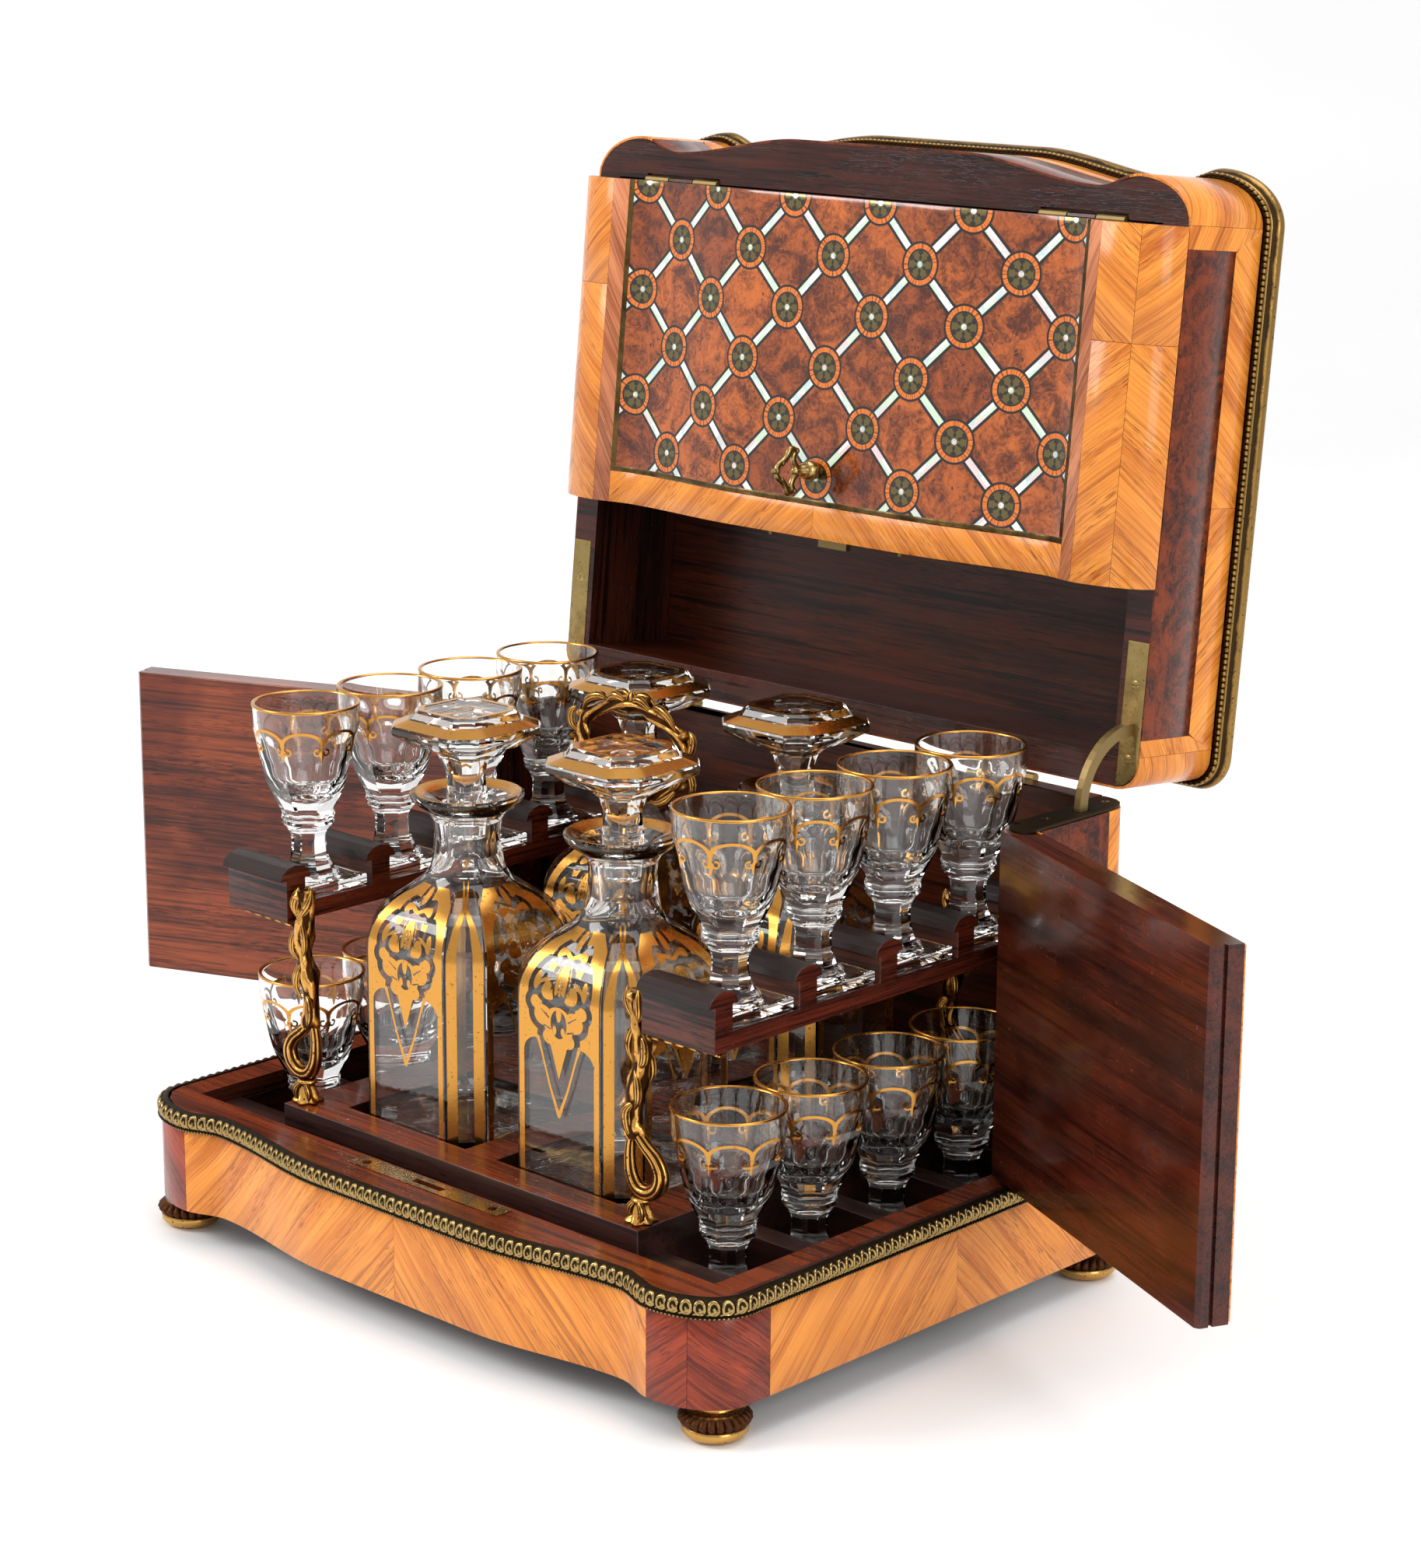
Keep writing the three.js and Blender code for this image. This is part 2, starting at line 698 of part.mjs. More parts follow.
// The flap's front layer within the given half width, from its face down to the given depth
function flapRegion(half, depth, low, high) {
  const xs = frontCurve(0).map((p) => p.x).filter((x) => Math.abs(x) < half);
  const across = [-half, ...xs, half];
  const outer = across.map((x) => new THREE.Vector2(x, -frontDepth(x) - over));
  const inner = across.map((x) => new THREE.Vector2(x, depth - frontDepth(x))).reverse();
  return slab([...outer, ...inner], low, high);
}

function keyBore(radius) {
  const long = centreDepth - flapBack;
  return new THREE.CylinderGeometry(radius, radius, long, 12)
    .translate(0, -centreDepth - over + long / 2, keyHeight);
}

function flap() {
  const high = bodyHigh;
  const board = slab(frontCurve(0), flapLow, high);
  const fieldLow = flapLow + fieldFoot;
  const recess = flapRegion(fieldHalf + seatGap, veneer + seatGap, fieldLow - seatGap, high + over);
  keep('flap_board', cut(
    board, recess, ...flapHingeRoom(-1), ...lockShape(seatGap), keyBore(keyRadius + slideGap),
  ), kingwood);
  const layer = flapRegion(fieldHalf, veneer, fieldLow - over, high + over);
  const skin = common(slab(frontCurve(0), fieldLow, high), layer);
  keep('flap_field', cut(skin, keyBore(keyRadius + slideGap)), marquetry);
  const leafHeights = [bodyHigh - leafThick, bodyHigh].map((z) => z - seamHeight);
  const leaf = block([-flapHingeLong / 2, flapHingeLong / 2], [-flapLeafDeep, -flapPinRadius], leafHeights);
  const pin = knuckle(-flapHingeLong / 2 + seatGap, flapHingeLong / 2 - seatGap, flapPinRadius);
  const middle = knuckleEnds(flapHingeLong, isInner).map(([from, to]) => block(
    [from - pinGap - seatGap, to + pinGap + seatGap],
    [-flapKnuckle - pinGap - seatGap, 0], [-flapKnuckle - over, over],
  ));
  const outer = knuckleEnds(flapHingeLong, isOuter).map(([from, to]) => knuckle(from, to, flapKnuckle));
  const hinge = join(cut(leaf, ...middle), pin, ...outer);
  keepPair('flap_hinge', moved(hinge, flapHingeAt, flapAxisY, seamHeight), brass);
}

// Lock let into the flap's lower edge, with its bolt and guide pins

const keyHeight = flapLow + keyRise;
const lockY = [strikeY - lockThick / 2, strikeY + lockThick / 2];
const boltHigh = flapLow + boltLong;

function lockShape(grow) {
  const sides = [lockHalf, lockPlateHalf].map((half) => [-half - grow, half + grow]);
  const low = flapLow - (grow ? over : 0);
  return [
    block(sides[0], [lockY[0] - grow, lockY[1] + grow], [low, flapLow + lockTall + grow]),
    block(
      sides[1], [strikeY - lockPlateWide / 2 - grow, strikeY + lockPlateWide / 2 + grow],
      [low, flapLow + lockPlateThick + grow],
    ),
  ];
}

function lock() {
  const pin = turned([
    [0, -guidePinLong], [guidePinRadius / 2, -guidePinLong], [guidePinRadius, 0],
    [guidePinRadius, lockPlateThick / 2], [0, lockPlateThick / 2],
  ], 10);
  const boltRoom = block(
    [-boltWide / 2 - pinGap, boltWide / 2 + pinGap],
    [strikeY - boltThick / 2 - pinGap, strikeY + boltThick / 2 + pinGap],
    [flapLow - over, boltHigh + boltThrow + pinGap],
  );
  const bore = new THREE.CylinderGeometry(keyRadius + slideGap, keyRadius + slideGap, lockThick, 12);
  const swept = keyRadius + bitLong + slideGap;
  const bitRoom = new THREE.CylinderGeometry(swept, swept, bitThick + 2 * slideGap, 16);
  const body = cut(
    join(...lockShape(0)), boltRoom,
    moved(bore, 0, strikeY - over, keyHeight), moved(bitRoom, 0, strikeY, keyHeight),
  );
  const pins = [-guidePinAt, guidePinAt].map((x) => moved(pin, x, strikeY, flapLow));
  keep('lock_case', join(body, ...pins), brass);
  const depths = [strikeY - boltThick / 2, strikeY + boltThick / 2];
  const bolt = block([-boltWide / 2, boltWide / 2], depths, [flapLow - boltThrow, boltHigh]);
  keep('lock_bolt', bolt, brass);
}

// Key, with its bow in the upright plane that runs front to back

function key() {
  const tip = strikeY + boltThick / 2;
  const collar = -centreDepth - keyOut;
  const long = tip - collar;
  const knops = knopShares.map(([out, back]) => [keyRadius * out, long - keyOut * back]);
  const shaft = turned([
    [0, 0], [keyRadius, 0], [keyRadius, long - keyOut + seatGap], ...knops, [0, long],
  ], 10).rotateX(Math.PI / 2).translate(0, tip, keyHeight);
  const bit = block(
    [-bitThick / 2, bitThick / 2], [strikeY - bitThick / 2, strikeY + bitThick / 2],
    [keyHeight - keyRadius - bitLong, keyHeight],
  );
  const eye = new THREE.TorusGeometry(bowTall / 4, bowThick / 2, 5, 10).rotateY(Math.PI / 2);
  const bowY = collar - bowLong / 3;
  const eyes = [-bowTall / 4, bowTall / 4].map((z) => moved(eye, 0, bowY, keyHeight + z));
  const finial = new THREE.SphereGeometry(bowThick, 6, 4)
    .translate(0, collar - bowLong + bowThick, keyHeight);
  const spine = new THREE.CylinderGeometry(bowThick / 2, bowThick / 2, bowLong - bowThick, 8)
    .translate(0, collar - (bowLong - bowThick) / 2 + seatGap, keyHeight);
  keep('key', join(shaft, bit, ...eyes, finial, spine), gilt);
}

// Glassware: rings of points at the given bearings

const bearings = (count) => Array.from({ length: count }, (_, i) => 2 * Math.PI * (i / count));
const atRadius = (radii, turns, height) => turns.map(
  (turn, i) => new THREE.Vector3(radii[i] * Math.cos(turn), radii[i] * Math.sin(turn), height),
);
const circle = (radius, turns, height) => atRadius(turns.map(() => radius), turns, height);
const square = (half, turns, height) => atRadius(
  turns.map((turn) => half / Math.max(Math.abs(Math.cos(turn)), Math.abs(Math.sin(turn)))), turns, height,
);

// Heights and radii of a glass as shares of its height and of its rim's radius
const footShare = 0.1;
const ankleShares = [0.19, 0.34];
const collarShares = [0.37, 0.5];
const bellyShares = [[0.5, 0.74], [0.72, 0.95]];
const wellShares = [[0.66, 0.83], [0.48, 0.4]];

function makeGlass() {
  const turns = bearings(12).map((turn) => turn + Math.PI / 4);
  const ring = ([up, out]) => circle(glassRim * out, turns, glassHeight * up);
  return loft([
    square(glassFoot, turns, 0),
    square(glassFoot, turns, glassHeight * footShare),
    ring(ankleShares),
    ring(collarShares),
    ...bellyShares.map(ring),
    circle(glassRim, turns, glassHeight),
    circle(glassRim - glassWall, turns, glassHeight),
    ...wellShares.map(ring),
  ]);
}

// A square with cut corners
function cutSquare(side, chamfer, turns, height) {
  const half = side / 2;
  const reach = (2 * half - chamfer) / Math.SQRT2;
  return atRadius(turns.map((turn) => {
    const [c, s] = [Math.abs(Math.cos(turn)), Math.abs(Math.sin(turn))];
    return Math.min(half / Math.max(c, s), reach / ((c + s) / Math.SQRT2));
  }), turns, height);
}

// Bearings that fall on the cut square's corners, with one between each pair
function cutBearings(side, chamfer) {
  const corner = Math.atan2(side / 2 - chamfer, side / 2);
  const quarter = [0, corner / 2, corner, Math.PI / 2 - corner, Math.PI / 2 - corner / 2];
  return [0, 1, 2, 3].flatMap((q) => quarter.map((turn) => turn + q * Math.PI / 2));
}

const blend = (ring, other, share) => ring.map((p, i) => p.clone().lerp(other[i], share));
const shoulderShares = [[0.28, 0.1], [0.55, 0.42], [0.78, 0.86]]; // height share and roundness
const neckShares = [0.56, 0.92]; // ends of the neck between the body's top and the lip's top
const neckTaperShare = 0.93;
const lipShares = [0.6, 0.75]; // lower edge and funnel of the lip between the neck and the lip's top

function makeDecanter() {
  const turns = cutBearings(decanterSide, decanterChamfer);
  const body = (inset, height) => cutSquare(
    decanterSide - 2 * inset, decanterChamfer - inset / 2, turns, height,
  );
  const [neckLow, neckHigh] = neckShares.map((share) => lerp(decanterBody, decanterHeight, share));
  const [lipLow, funnel] = lipShares.map((share) => lerp(neckHigh, decanterHeight, share));
  const plug = plugRadius + pinGap;
  const shoulder = (inset) => shoulderShares.map(([up, round]) => {
    const height = lerp(decanterBody, neckLow, up);
    return blend(body(inset, height), circle(decanterNeck - inset, turns, height), round);
  });
  return loft([
    body(decanterWall / 3, 0), body(0, decanterWall / 2), body(0, decanterBody),
    ...shoulder(0),
    circle(decanterNeck, turns, neckLow), circle(decanterNeck * neckTaperShare, turns, neckHigh),
    circle(decanterLip, turns, lipLow), circle(decanterLip, turns, decanterHeight),
    circle(plug + pinGap, turns, funnel), circle(plug, turns, neckLow + decanterWall),
    shoulder(decanterWall)[1],
    body(decanterWall, decanterBody), body(decanterWall, 2 * decanterWall),
  ]);
}

const plugRadius = 8.6;
const plugLong = 19;

// Stopper's outline: shares of the plug's radius and of the stem's rise, then of the slab's side
// and thickness
const plugTipShare = 0.86;
const stemShares = [0.9, 0.75];
const slabShares = [[0.62, 0], [1, 0.36], [1, 0.66], [0.72, 1]];

function makeStopper() {
  const corner = Math.atan2(stopperSide / 2 - stopperChamfer, stopperSide / 2);
  const turns = [0, 1, 2, 3].flatMap((q) => [-corner, corner].map((turn) => turn + q * Math.PI / 2));
  const slabRing = (share, height) => cutSquare(stopperSide * share, stopperChamfer * share, turns, height);
  const under = stopperRise - stopperThick;
  const [stemOut, stemUp] = stemShares;
  return loft([
    circle(plugRadius * plugTipShare, turns, -plugLong), circle(plugRadius, turns, -seatGap),
    circle(plugRadius * stemOut, turns, under * stemUp),
    ...slabShares.map(([wide, up]) => slabRing(wide, under + stopperThick * up)),
  ]);
}

const glassY = (row) => -glassFrontRow + glassPitch * row;
const baseLow = floorHigh + seatGap;
const baseHigh = baseLow + baseThick;
const trayHigh = baseHigh + platformTall;
const decanterLow = trayHigh - pocketDeep + seatGap;
const railHigh = shelfHeight + railTall;
const platformFront = wellFront - platformFromFront;
const platformBack = wellBack + platformFromBack;
const decanterRows = {
  front: -platformFront + pocketFromFront + decanterSide / 2,
  rear: -platformBack - pocketFromBack - decanterSide / 2,
};

function glassware() {
  const one = makeGlass();
  const levels = [['upper', railHigh + seatGap], ['lower', baseHigh + seatGap]];
  levels.forEach(([level, low]) => sideNames.forEach(([side, sign]) => {
    for (let row = 0; row < glassRows; row += 1) {
      keep(`glass_${level}_${side}_${row + 1}`, moved(one, sign * glassAcross, glassY(row), low), glass);
    }
  }));
  const bottle = makeDecanter();
  const stop = makeStopper();
  Object.entries(decanterRows).forEach(([row, y]) => {
    sideNames.forEach(([side, sign]) => {
      const x = sign * decanterAcross;
      keep(`decanter_${row}_${side}`, moved(bottle, x, y, decanterLow), glass);
      keep(`stopper_${row}_${side}`, moved(stop, x, y, decanterLow + decanterHeight), glass);
    });
  });
}

// Caddy

// Base board with a raised platform for the decanters and low bars between the lower glasses
function tray() {
  const baseHalf = wellHalf - basePlay;
  const depths = [-platformFront, -platformBack];
  const platform = block([-platformHalf, platformHalf], depths, [baseLow, trayHigh]);
  const half = decanterSide / 2 + pocketPlay;
  const across = [-decanterAcross, decanterAcross];
  const pockets = Object.values(decanterRows).flatMap((y) => across.map(
    (x) => block([x - half, x + half], [y - half, y + half], [trayHigh - pocketDeep, trayHigh + over]),
  ));
  const base = block([-baseHalf, baseHalf], wellEnds, [baseLow, baseHigh]);
  const bars = Array.from({ length: glassRows + 1 }, (_, row) => block(
    [-baseHalf, baseHalf], [blockY(row) - dividerThick / 2, blockY(row) + dividerThick / 2],
    [baseLow, baseHigh + dividerHeight],
  ));
  keep('caddy_tray', join(base, ...bars, cut(platform, ...pockets)), rosewood);
}

// The section of a block: a stem under a rounded cap that holds the glasses' feet down
function blockSection() {
  const stem = blockThick / 2;
  const cap = capWide / 2;
  const under = blockTall;
  const points = [[-stem, 0], [stem, 0], [stem, under], [cap, under]];
  const steps = 6;
  for (let i = 1; i < steps; i += 1) {
    const turn = Math.PI * (i / steps);
    points.push([cap * Math.cos(turn), under + capTall * Math.sin(turn)]);
  }
  points.push([-cap, under], [-stem, under]);
  return new THREE.Shape(points.map(([y, z]) => new THREE.Vector2(y, z)));
}

const blockY = (row) => glassY(row) - glassPitch / 2;

function shelves() {
  const extruded = new THREE.ExtrudeGeometry(blockSection(), { depth: 2 * shelfHalf, bevelEnabled: false });
  const inner = glassAcross - shelfHalf;
  const one = extruded.rotateX(Math.PI / 2).rotateZ(Math.PI / 2).translate(inner, 0, shelfHeight);
  const outer = glassAcross + shelfHalf;
  const rails = [[inner, inner + railWide], [outer - railWide, outer]].map(
    (xs) => block(xs, [blockY(0), blockY(glassRows)], [shelfHeight, railHigh]),
  );
  const rows = Array.from({ length: glassRows + 1 }, (_, row) => moved(one, 0, blockY(row), 0));
  const right = join(...rails, ...rows);
  keepPair('shelf', right, rosewood);
}

const uprightAt = platformHalf - uprightInset;
const uprightTop = shelfHeight + uprightAbove;

// The vine's root in shares of its thickness, and its trunk in shares of its lean and its rise
const rootShares = [[1, 0], [0.9, 0.33], [0.5, 1], [0.5, 2]];
const loopShare = 1.7;
const trunkShares = [[-0.5, 0.45], [0.25, 0.62], [-0.25, 0.8], [0, 1]];

// A gilt vine that stands on the tray's corner, loops once and carries the shelf's strap
function makeUpright() {
  const low = trayHigh + seatGap;
  const rise = (share) => lerp(low, uprightTop, share);
  const rootPairs = rootShares.map(([out, up]) => [uprightThick * out, uprightThick * up]);
  const [, rootHigh] = rootPairs.at(-1);
  const root = turned([[0, 0], ...rootPairs, [0, rootHigh]], 6);
  const loopLow = low + uprightThick * loopShare;
  const loop = new THREE.TorusGeometry((loopWide - loopThick) / 2, loopThick / 2, 5, 12)
    .rotateX(Math.PI / 2).scale(1, 1, (loopTall - loopThick) / (loopWide - loopThick));
  const lean = loopWide / 4;
  const trunk = new THREE.CatmullRomCurve3([
    new THREE.Vector3(0, 0, loopLow + loopTall - loopThick),
    ...trunkShares.map(([out, up]) => new THREE.Vector3(lean * out, 0, rise(up))),
  ]);
  const section = new THREE.Shape(bearings(6).map(
    (turn) => new THREE.Vector2(uprightThick / 2 * Math.cos(turn), uprightThick / 2 * Math.sin(turn)),
  ));
  const stem = new THREE.ExtrudeGeometry(section, { steps: 9, extrudePath: trunk });
  return join(moved(root, 0, 0, low), moved(loop, 0, 0, loopLow + loopTall / 2), stem);
}

function uprights() {
  const vine = makeUpright();
  const strapHigh = shelfHeight - seatGap;
  const strap = block(
    [uprightAt, glassAcross + shelfHalf], [-strapWide / 2, strapWide / 2],
    [strapHigh - strapThick, strapHigh],
  );
  const room = block(
    [glassAcross - shelfHalf - seatGap, glassAcross], [-uprightThick, uprightThick],
    [strapHigh, uprightTop + over],
  );
  const right = join(cut(moved(vine, uprightAt, 0, 0), room), strap);
  [['front', blockY(0)], ['rear', blockY(glassRows)]].forEach(([row, y]) => {
    keepPair(`upright_${row}`, moved(right, 0, y, 0), gilt);
  });
}

// Shares of the stem's radius and of the ring's thickness
const knopShare = 1.6;
const stemFootShare = 2.2;
const scrollShare = 0.8;

function handle() {
  const y = (decanterRows.front + decanterRows.rear) / 2;
  const ringTop = decanterLow + decanterHeight + stopperRise + ringAbove;
  const centre = ringTop - ringTall / 2;
  const ring = new THREE.TorusGeometry(ringHalf - ringThick / 2, ringThick / 2, 6, 22)
    .rotateX(Math.PI / 2).scale(1, 1, (ringTall - ringThick) / (2 * ringHalf - ringThick));
  const low = trayHigh + seatGap;
  const high = ringTop - ringTall + ringThick;
  const bulb = stemRadius * knopShare;
  const stem = turned([
    [0, 0], [stemRadius * stemFootShare, 0], [bulb, bulb / 2], [stemRadius, bulb],
    [stemRadius, high - low - bulb],
    [bulb, high - low - bulb / 2], [stemRadius / 2, high - low], [0, high - low],
  ], 10);
  const scroll = new THREE.SphereGeometry(ringThick * scrollShare, 8, 6);
  keep('carrying_ring', join(
    moved(ring, 0, y, centre), moved(stem, 0, y, low),
    ...[-ringHalf, ringHalf].map((x) => moved(scroll, x, y, centre)),
  ), gilt);
}

[
  plinth, wellFloor, feet, posts, postPlates, caseHinges, stay, doors, lid, flap, lock, key,
  glassware, tray, shelves, uprights, handle,
].forEach((make) => make());

// Assembly: each moving group turns about its own hinge

function mesh(name) {
  const { geometry, look } = pieces[name];
  const shaded = geometry.index ? geometry.toNonIndexed() : geometry;
  shaded.computeVertexNormals();
  const solid = new THREE.Mesh(shaded, new THREE.MeshStandardMaterial(look));
  solid.name = name;
  return solid;
}

// A group that turns its pieces about a point while they keep the cabinet's coordinates
function hinged(point, turn, names, ...inner) {
  const swing = new THREE.Group();
  swing.position.copy(point);
  swing.rotation.set(...turn);
  const hold = new THREE.Group();
  hold.position.copy(point).negate();
  hold.add(...names.map(mesh), ...inner);
  swing.add(hold);
  return swing;
}

const flapGroup = hinged(
  new THREE.Vector3(0, flapAxisY, seamHeight), [Math.PI / 2, 0, 0],
  ['flap_board', 'flap_field', 'flap_hinge_left', 'flap_hinge_right', 'lock_case', 'lock_bolt', 'key'],
);
const lidGroup = hinged(
  new THREE.Vector3(0, 0, seamHeight), [-degToRad(lidOpen), 0, 0],
  ['lid_frame', 'lid_top', 'lid_moulding'], flapGroup,
);
const doorGroup = (side, sign, degrees) => hinged(
  new THREE.Vector3(sign * pivotX, pivotY, 0), [0, 0, sign * degToRad(degrees)], [`door_${side}`],
);
const moving = [lidGroup, doorGroup('right', 1, doorOpenRight), doorGroup('left', -1, doorOpenLeft)];
const turnedNames = new Set();
moving.forEach((group) => group.traverse((item) => turnedNames.add(item.name)));

const cabinet = new THREE.Group();
cabinet.add(...moving);
cabinet.add(...Object.keys(pieces).filter((name) => !turnedNames.has(name)).map(mesh));

// The origin is the middle of the open cabinet's box, on the surface that it stands on
cabinet.updateMatrixWorld(true);
const box = new THREE.Box3().setFromObject(cabinet, true);
const middle = box.getCenter(new THREE.Vector3());
cabinet.position.set(-middle.x, -middle.y, -box.min.z);

export default cabinet;
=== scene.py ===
"""Looks of the liqueur cabinet: veneers, marquetry, ormolu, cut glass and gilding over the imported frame.

Shapes are worked out in millimetres in the shut cabinet's coordinates: x to the right, y to the back
from the lid's hinge line, z up from the table. settled() turns them with their body and puts them in
the frame.
"""
import json
import math

import bmesh
import bpy
import numpy as np
from bpy.props import FloatProperty, FloatVectorProperty, PointerProperty
from bpy.types import Operator, Panel, PropertyGroup
from mathutils import Matrix, Vector

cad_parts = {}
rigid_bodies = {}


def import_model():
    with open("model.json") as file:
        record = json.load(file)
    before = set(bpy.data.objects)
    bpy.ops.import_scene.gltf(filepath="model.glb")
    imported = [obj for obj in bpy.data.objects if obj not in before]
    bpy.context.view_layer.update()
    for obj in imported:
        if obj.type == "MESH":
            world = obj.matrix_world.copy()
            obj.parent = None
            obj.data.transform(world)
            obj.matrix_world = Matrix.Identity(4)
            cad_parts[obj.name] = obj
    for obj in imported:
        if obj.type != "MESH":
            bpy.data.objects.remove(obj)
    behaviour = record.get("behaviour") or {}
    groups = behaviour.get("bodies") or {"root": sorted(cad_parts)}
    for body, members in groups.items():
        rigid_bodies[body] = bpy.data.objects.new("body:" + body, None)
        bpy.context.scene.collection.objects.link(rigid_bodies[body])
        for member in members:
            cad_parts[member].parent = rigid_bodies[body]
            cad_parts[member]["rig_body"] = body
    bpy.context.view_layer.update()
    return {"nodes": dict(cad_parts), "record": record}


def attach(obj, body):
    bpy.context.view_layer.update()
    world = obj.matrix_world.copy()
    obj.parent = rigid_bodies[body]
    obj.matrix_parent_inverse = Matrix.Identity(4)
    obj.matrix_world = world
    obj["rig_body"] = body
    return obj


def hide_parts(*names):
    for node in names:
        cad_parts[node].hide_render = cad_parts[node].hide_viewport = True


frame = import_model()

bl_info = {
    "name": "Liqueur cabinet",
    "version": (1, 0, 0),
    "blender": (4, 5, 0),
    "location": "3D View > Sidebar > Cabinet",
    "description": "Dresses a serpentine liqueur cabinet with veneers, gilt mounts and gilded glass",
    "category": "Object",
}

TAU = 2 * math.pi
MM = 0.001

# Case, in millimetres
CASE_HALF = 165.0
SEAM = 203.5
FLAP_BACK = 229.4
CENTRE_DEPTH = 251.5
HOLLOW_DEPTH = 242.3
CREST_DEPTH = 248.0
BULGE_HALF = 45.0
HOLLOW_AT = 118.0
CREST_AT = 138.0
BACK_FACE = 2.6
REAR_RADIUS = 10.5
FLAP_AXIS = 229.1

# Levels
WALL_LOW = 14.7
WALL_HIGH = 50.7
PLINTH_GROW = 3.5
MOULDING_HIGH = 59.3
BODY_LOW = 58.6
FLAP_LOW = 59.8
BODY_HIGH = 203.2
PLINTH_TOP_HIGH = 58.3
RIM = 203.8

# Angles at which the parts stand open
LID_OPEN = 95.6
DOOR_RIGHT_OPEN = 65.1
DOOR_LEFT_OPEN = 68.0

# Camera of the photograph, in metres, degrees and millimetres of lens
CAMERA_PLACE = (1.00544, -1.04393, 0.56464)
CAMERA_YAW = 43.585
CAMERA_PITCH = -14.282
CAMERA_ROLL = 0.335
CAMERA_LENS = 82.21

# Veneers: how deep the core lies back, how deep a leaf's own back lies, the marquetry field, a leaf's eased
# edge, how far the figure moves on from leaf to leaf, and the leaves of the doors
BED = 1.0
BACK = -1.1
FIELD_HALF = 128.5
FIELD_LOW = 73.8
EDGE_DROP = 0.12
EDGE_EASE = 0.16
FIGURE_ALONG = 37.1
FIGURE_ACROSS = 61.7
DOOR_LEAF_FRONT = 228.4
DOOR_LEAF_REAR = 64.2
DOOR_BAND = 15


def joint_place(name):
    """Place of a joint in the record, in millimetres."""
    joints = {joint["name"]: joint for joint in frame["record"]["behaviour"]["joints"]}
    return np.array(joints[name]["pos_m"]) / MM


HINGE = joint_place("stay_in_post")
SHIFT = np.array([HINGE[0], HINGE[1], 0.0])


def turned_about(axis, degrees, point):
    """A turn about a line along axis through point."""
    away = Matrix.Translation(Vector(point))
    return away @ Matrix.Rotation(math.radians(degrees), 4, axis) @ away.inverted()


def body_places():
    """Matrix of each turned body, from the shut cabinet's millimetres to the frame's metres."""
    base = Matrix.Scale(MM, 4) @ Matrix.Translation(Vector(SHIFT))
    lid = base @ turned_about("X", -LID_OPEN, (0, 0, SEAM))
    flap = lid @ turned_about("X", 90, (0, -FLAP_AXIS, SEAM))
    places = {"root": base, "lid": lid, "flap": flap, "key": flap, "bolt": flap}
    for body, degrees in (("door_right", DOOR_RIGHT_OPEN), ("door_left", -DOOR_LEFT_OPEN)):
        pivot = joint_place(body + "_swing") - SHIFT
        places[body] = base @ turned_about("Z", degrees, pivot)
    return places


PLACES = body_places()


def settled(points, body):
    """Points of the shut cabinet, in millimetres, where their body stands in the frame, in metres."""
    place = np.array(PLACES.get(body, PLACES["root"]))
    return points @ place[:3, :3].T + place[:3, 3]


# The case's outline


def smooth_step(value, low, high):
    """0 below low, 1 above high and a smooth rise between them."""
    share = np.clip((value - low) / (high - low), 0, 1)
    return share * share * (3 - 2 * share)


def mix(a, b, share):
    """From a at share 0 to b at share 1."""
    return a + (b - a) * share


def front_depth(x):
    """How far the front reaches at x: a flat bulge, a hollow on each side and a crest at the corner."""
    reach = np.abs(x)
    fall = smooth_step(reach, BULGE_HALF, HOLLOW_AT)
    rise = smooth_step(reach, HOLLOW_AT, CREST_AT)
    return mix(mix(CENTRE_DEPTH, HOLLOW_DEPTH, fall), CREST_DEPTH, rise)


def half_plan():
    """The case's outline from its front middle round the right side to its back middle.

    Straight runs join the serpentine front, a quarter ellipse at the front corner and a quarter circle
    at the rear one. The second array is the direction in which each point moves when the outline grows.
    """
    x = np.linspace(0, CREST_AT, 240)
    front = np.stack([x, -front_depth(x)], 1)
    turn = np.linspace(0, math.pi / 2, 60)[1:]
    ellipse = np.stack([
        CREST_AT + (CASE_HALF - CREST_AT) * np.sin(turn),
        -FLAP_BACK - (CREST_DEPTH - FLAP_BACK) * np.cos(turn),
    ], 1)
    rear = -BACK_FACE - REAR_RADIUS
    y = np.linspace(-FLAP_BACK, rear, 120)[1:]
    side = np.stack([np.full_like(y, CASE_HALF), y], 1)
    corner = np.stack([
        CASE_HALF - REAR_RADIUS + REAR_RADIUS * np.cos(turn), rear + REAR_RADIUS * np.sin(turn),
    ], 1)
    back_x = np.linspace(CASE_HALF - REAR_RADIUS, 0, 80)[1:]
    back = np.stack([back_x, np.full_like(back_x, -BACK_FACE)], 1)
    outward = np.concatenate([
        np.tile([0.0, -1.0], (len(x), 1)), np.stack([np.sin(turn), -np.cos(turn)], 1),
        np.tile([1.0, 0.0], (len(y), 1)), np.stack([np.cos(turn), np.sin(turn)], 1),
        np.tile([0.0, 1.0], (len(back_x), 1)),
    ])
    return np.concatenate([front, ellipse, side, corner, back]), outward


PLAN, OUTWARD = half_plan()
RUN = np.concatenate([[0], np.cumsum(np.linalg.norm(np.diff(PLAN, axis=0), axis=1))])
GIRTH = RUN[-1]
FRONT_COUNT = 299


def run_at_x(x):
    """Length along the outline from the front's middle to x on the front."""
    return math.copysign(np.interp(abs(x), PLAN[:FRONT_COUNT, 0], RUN[:FRONT_COUNT]), x)


def run_at_depth(v, side=1):
    """Length along the outline to a point of the side that is v in front of the hinge line."""
    start = FRONT_COUNT - 1
    return side * np.interp(-v, PLAN[start:start + 120, 1], RUN[start:start + 120])


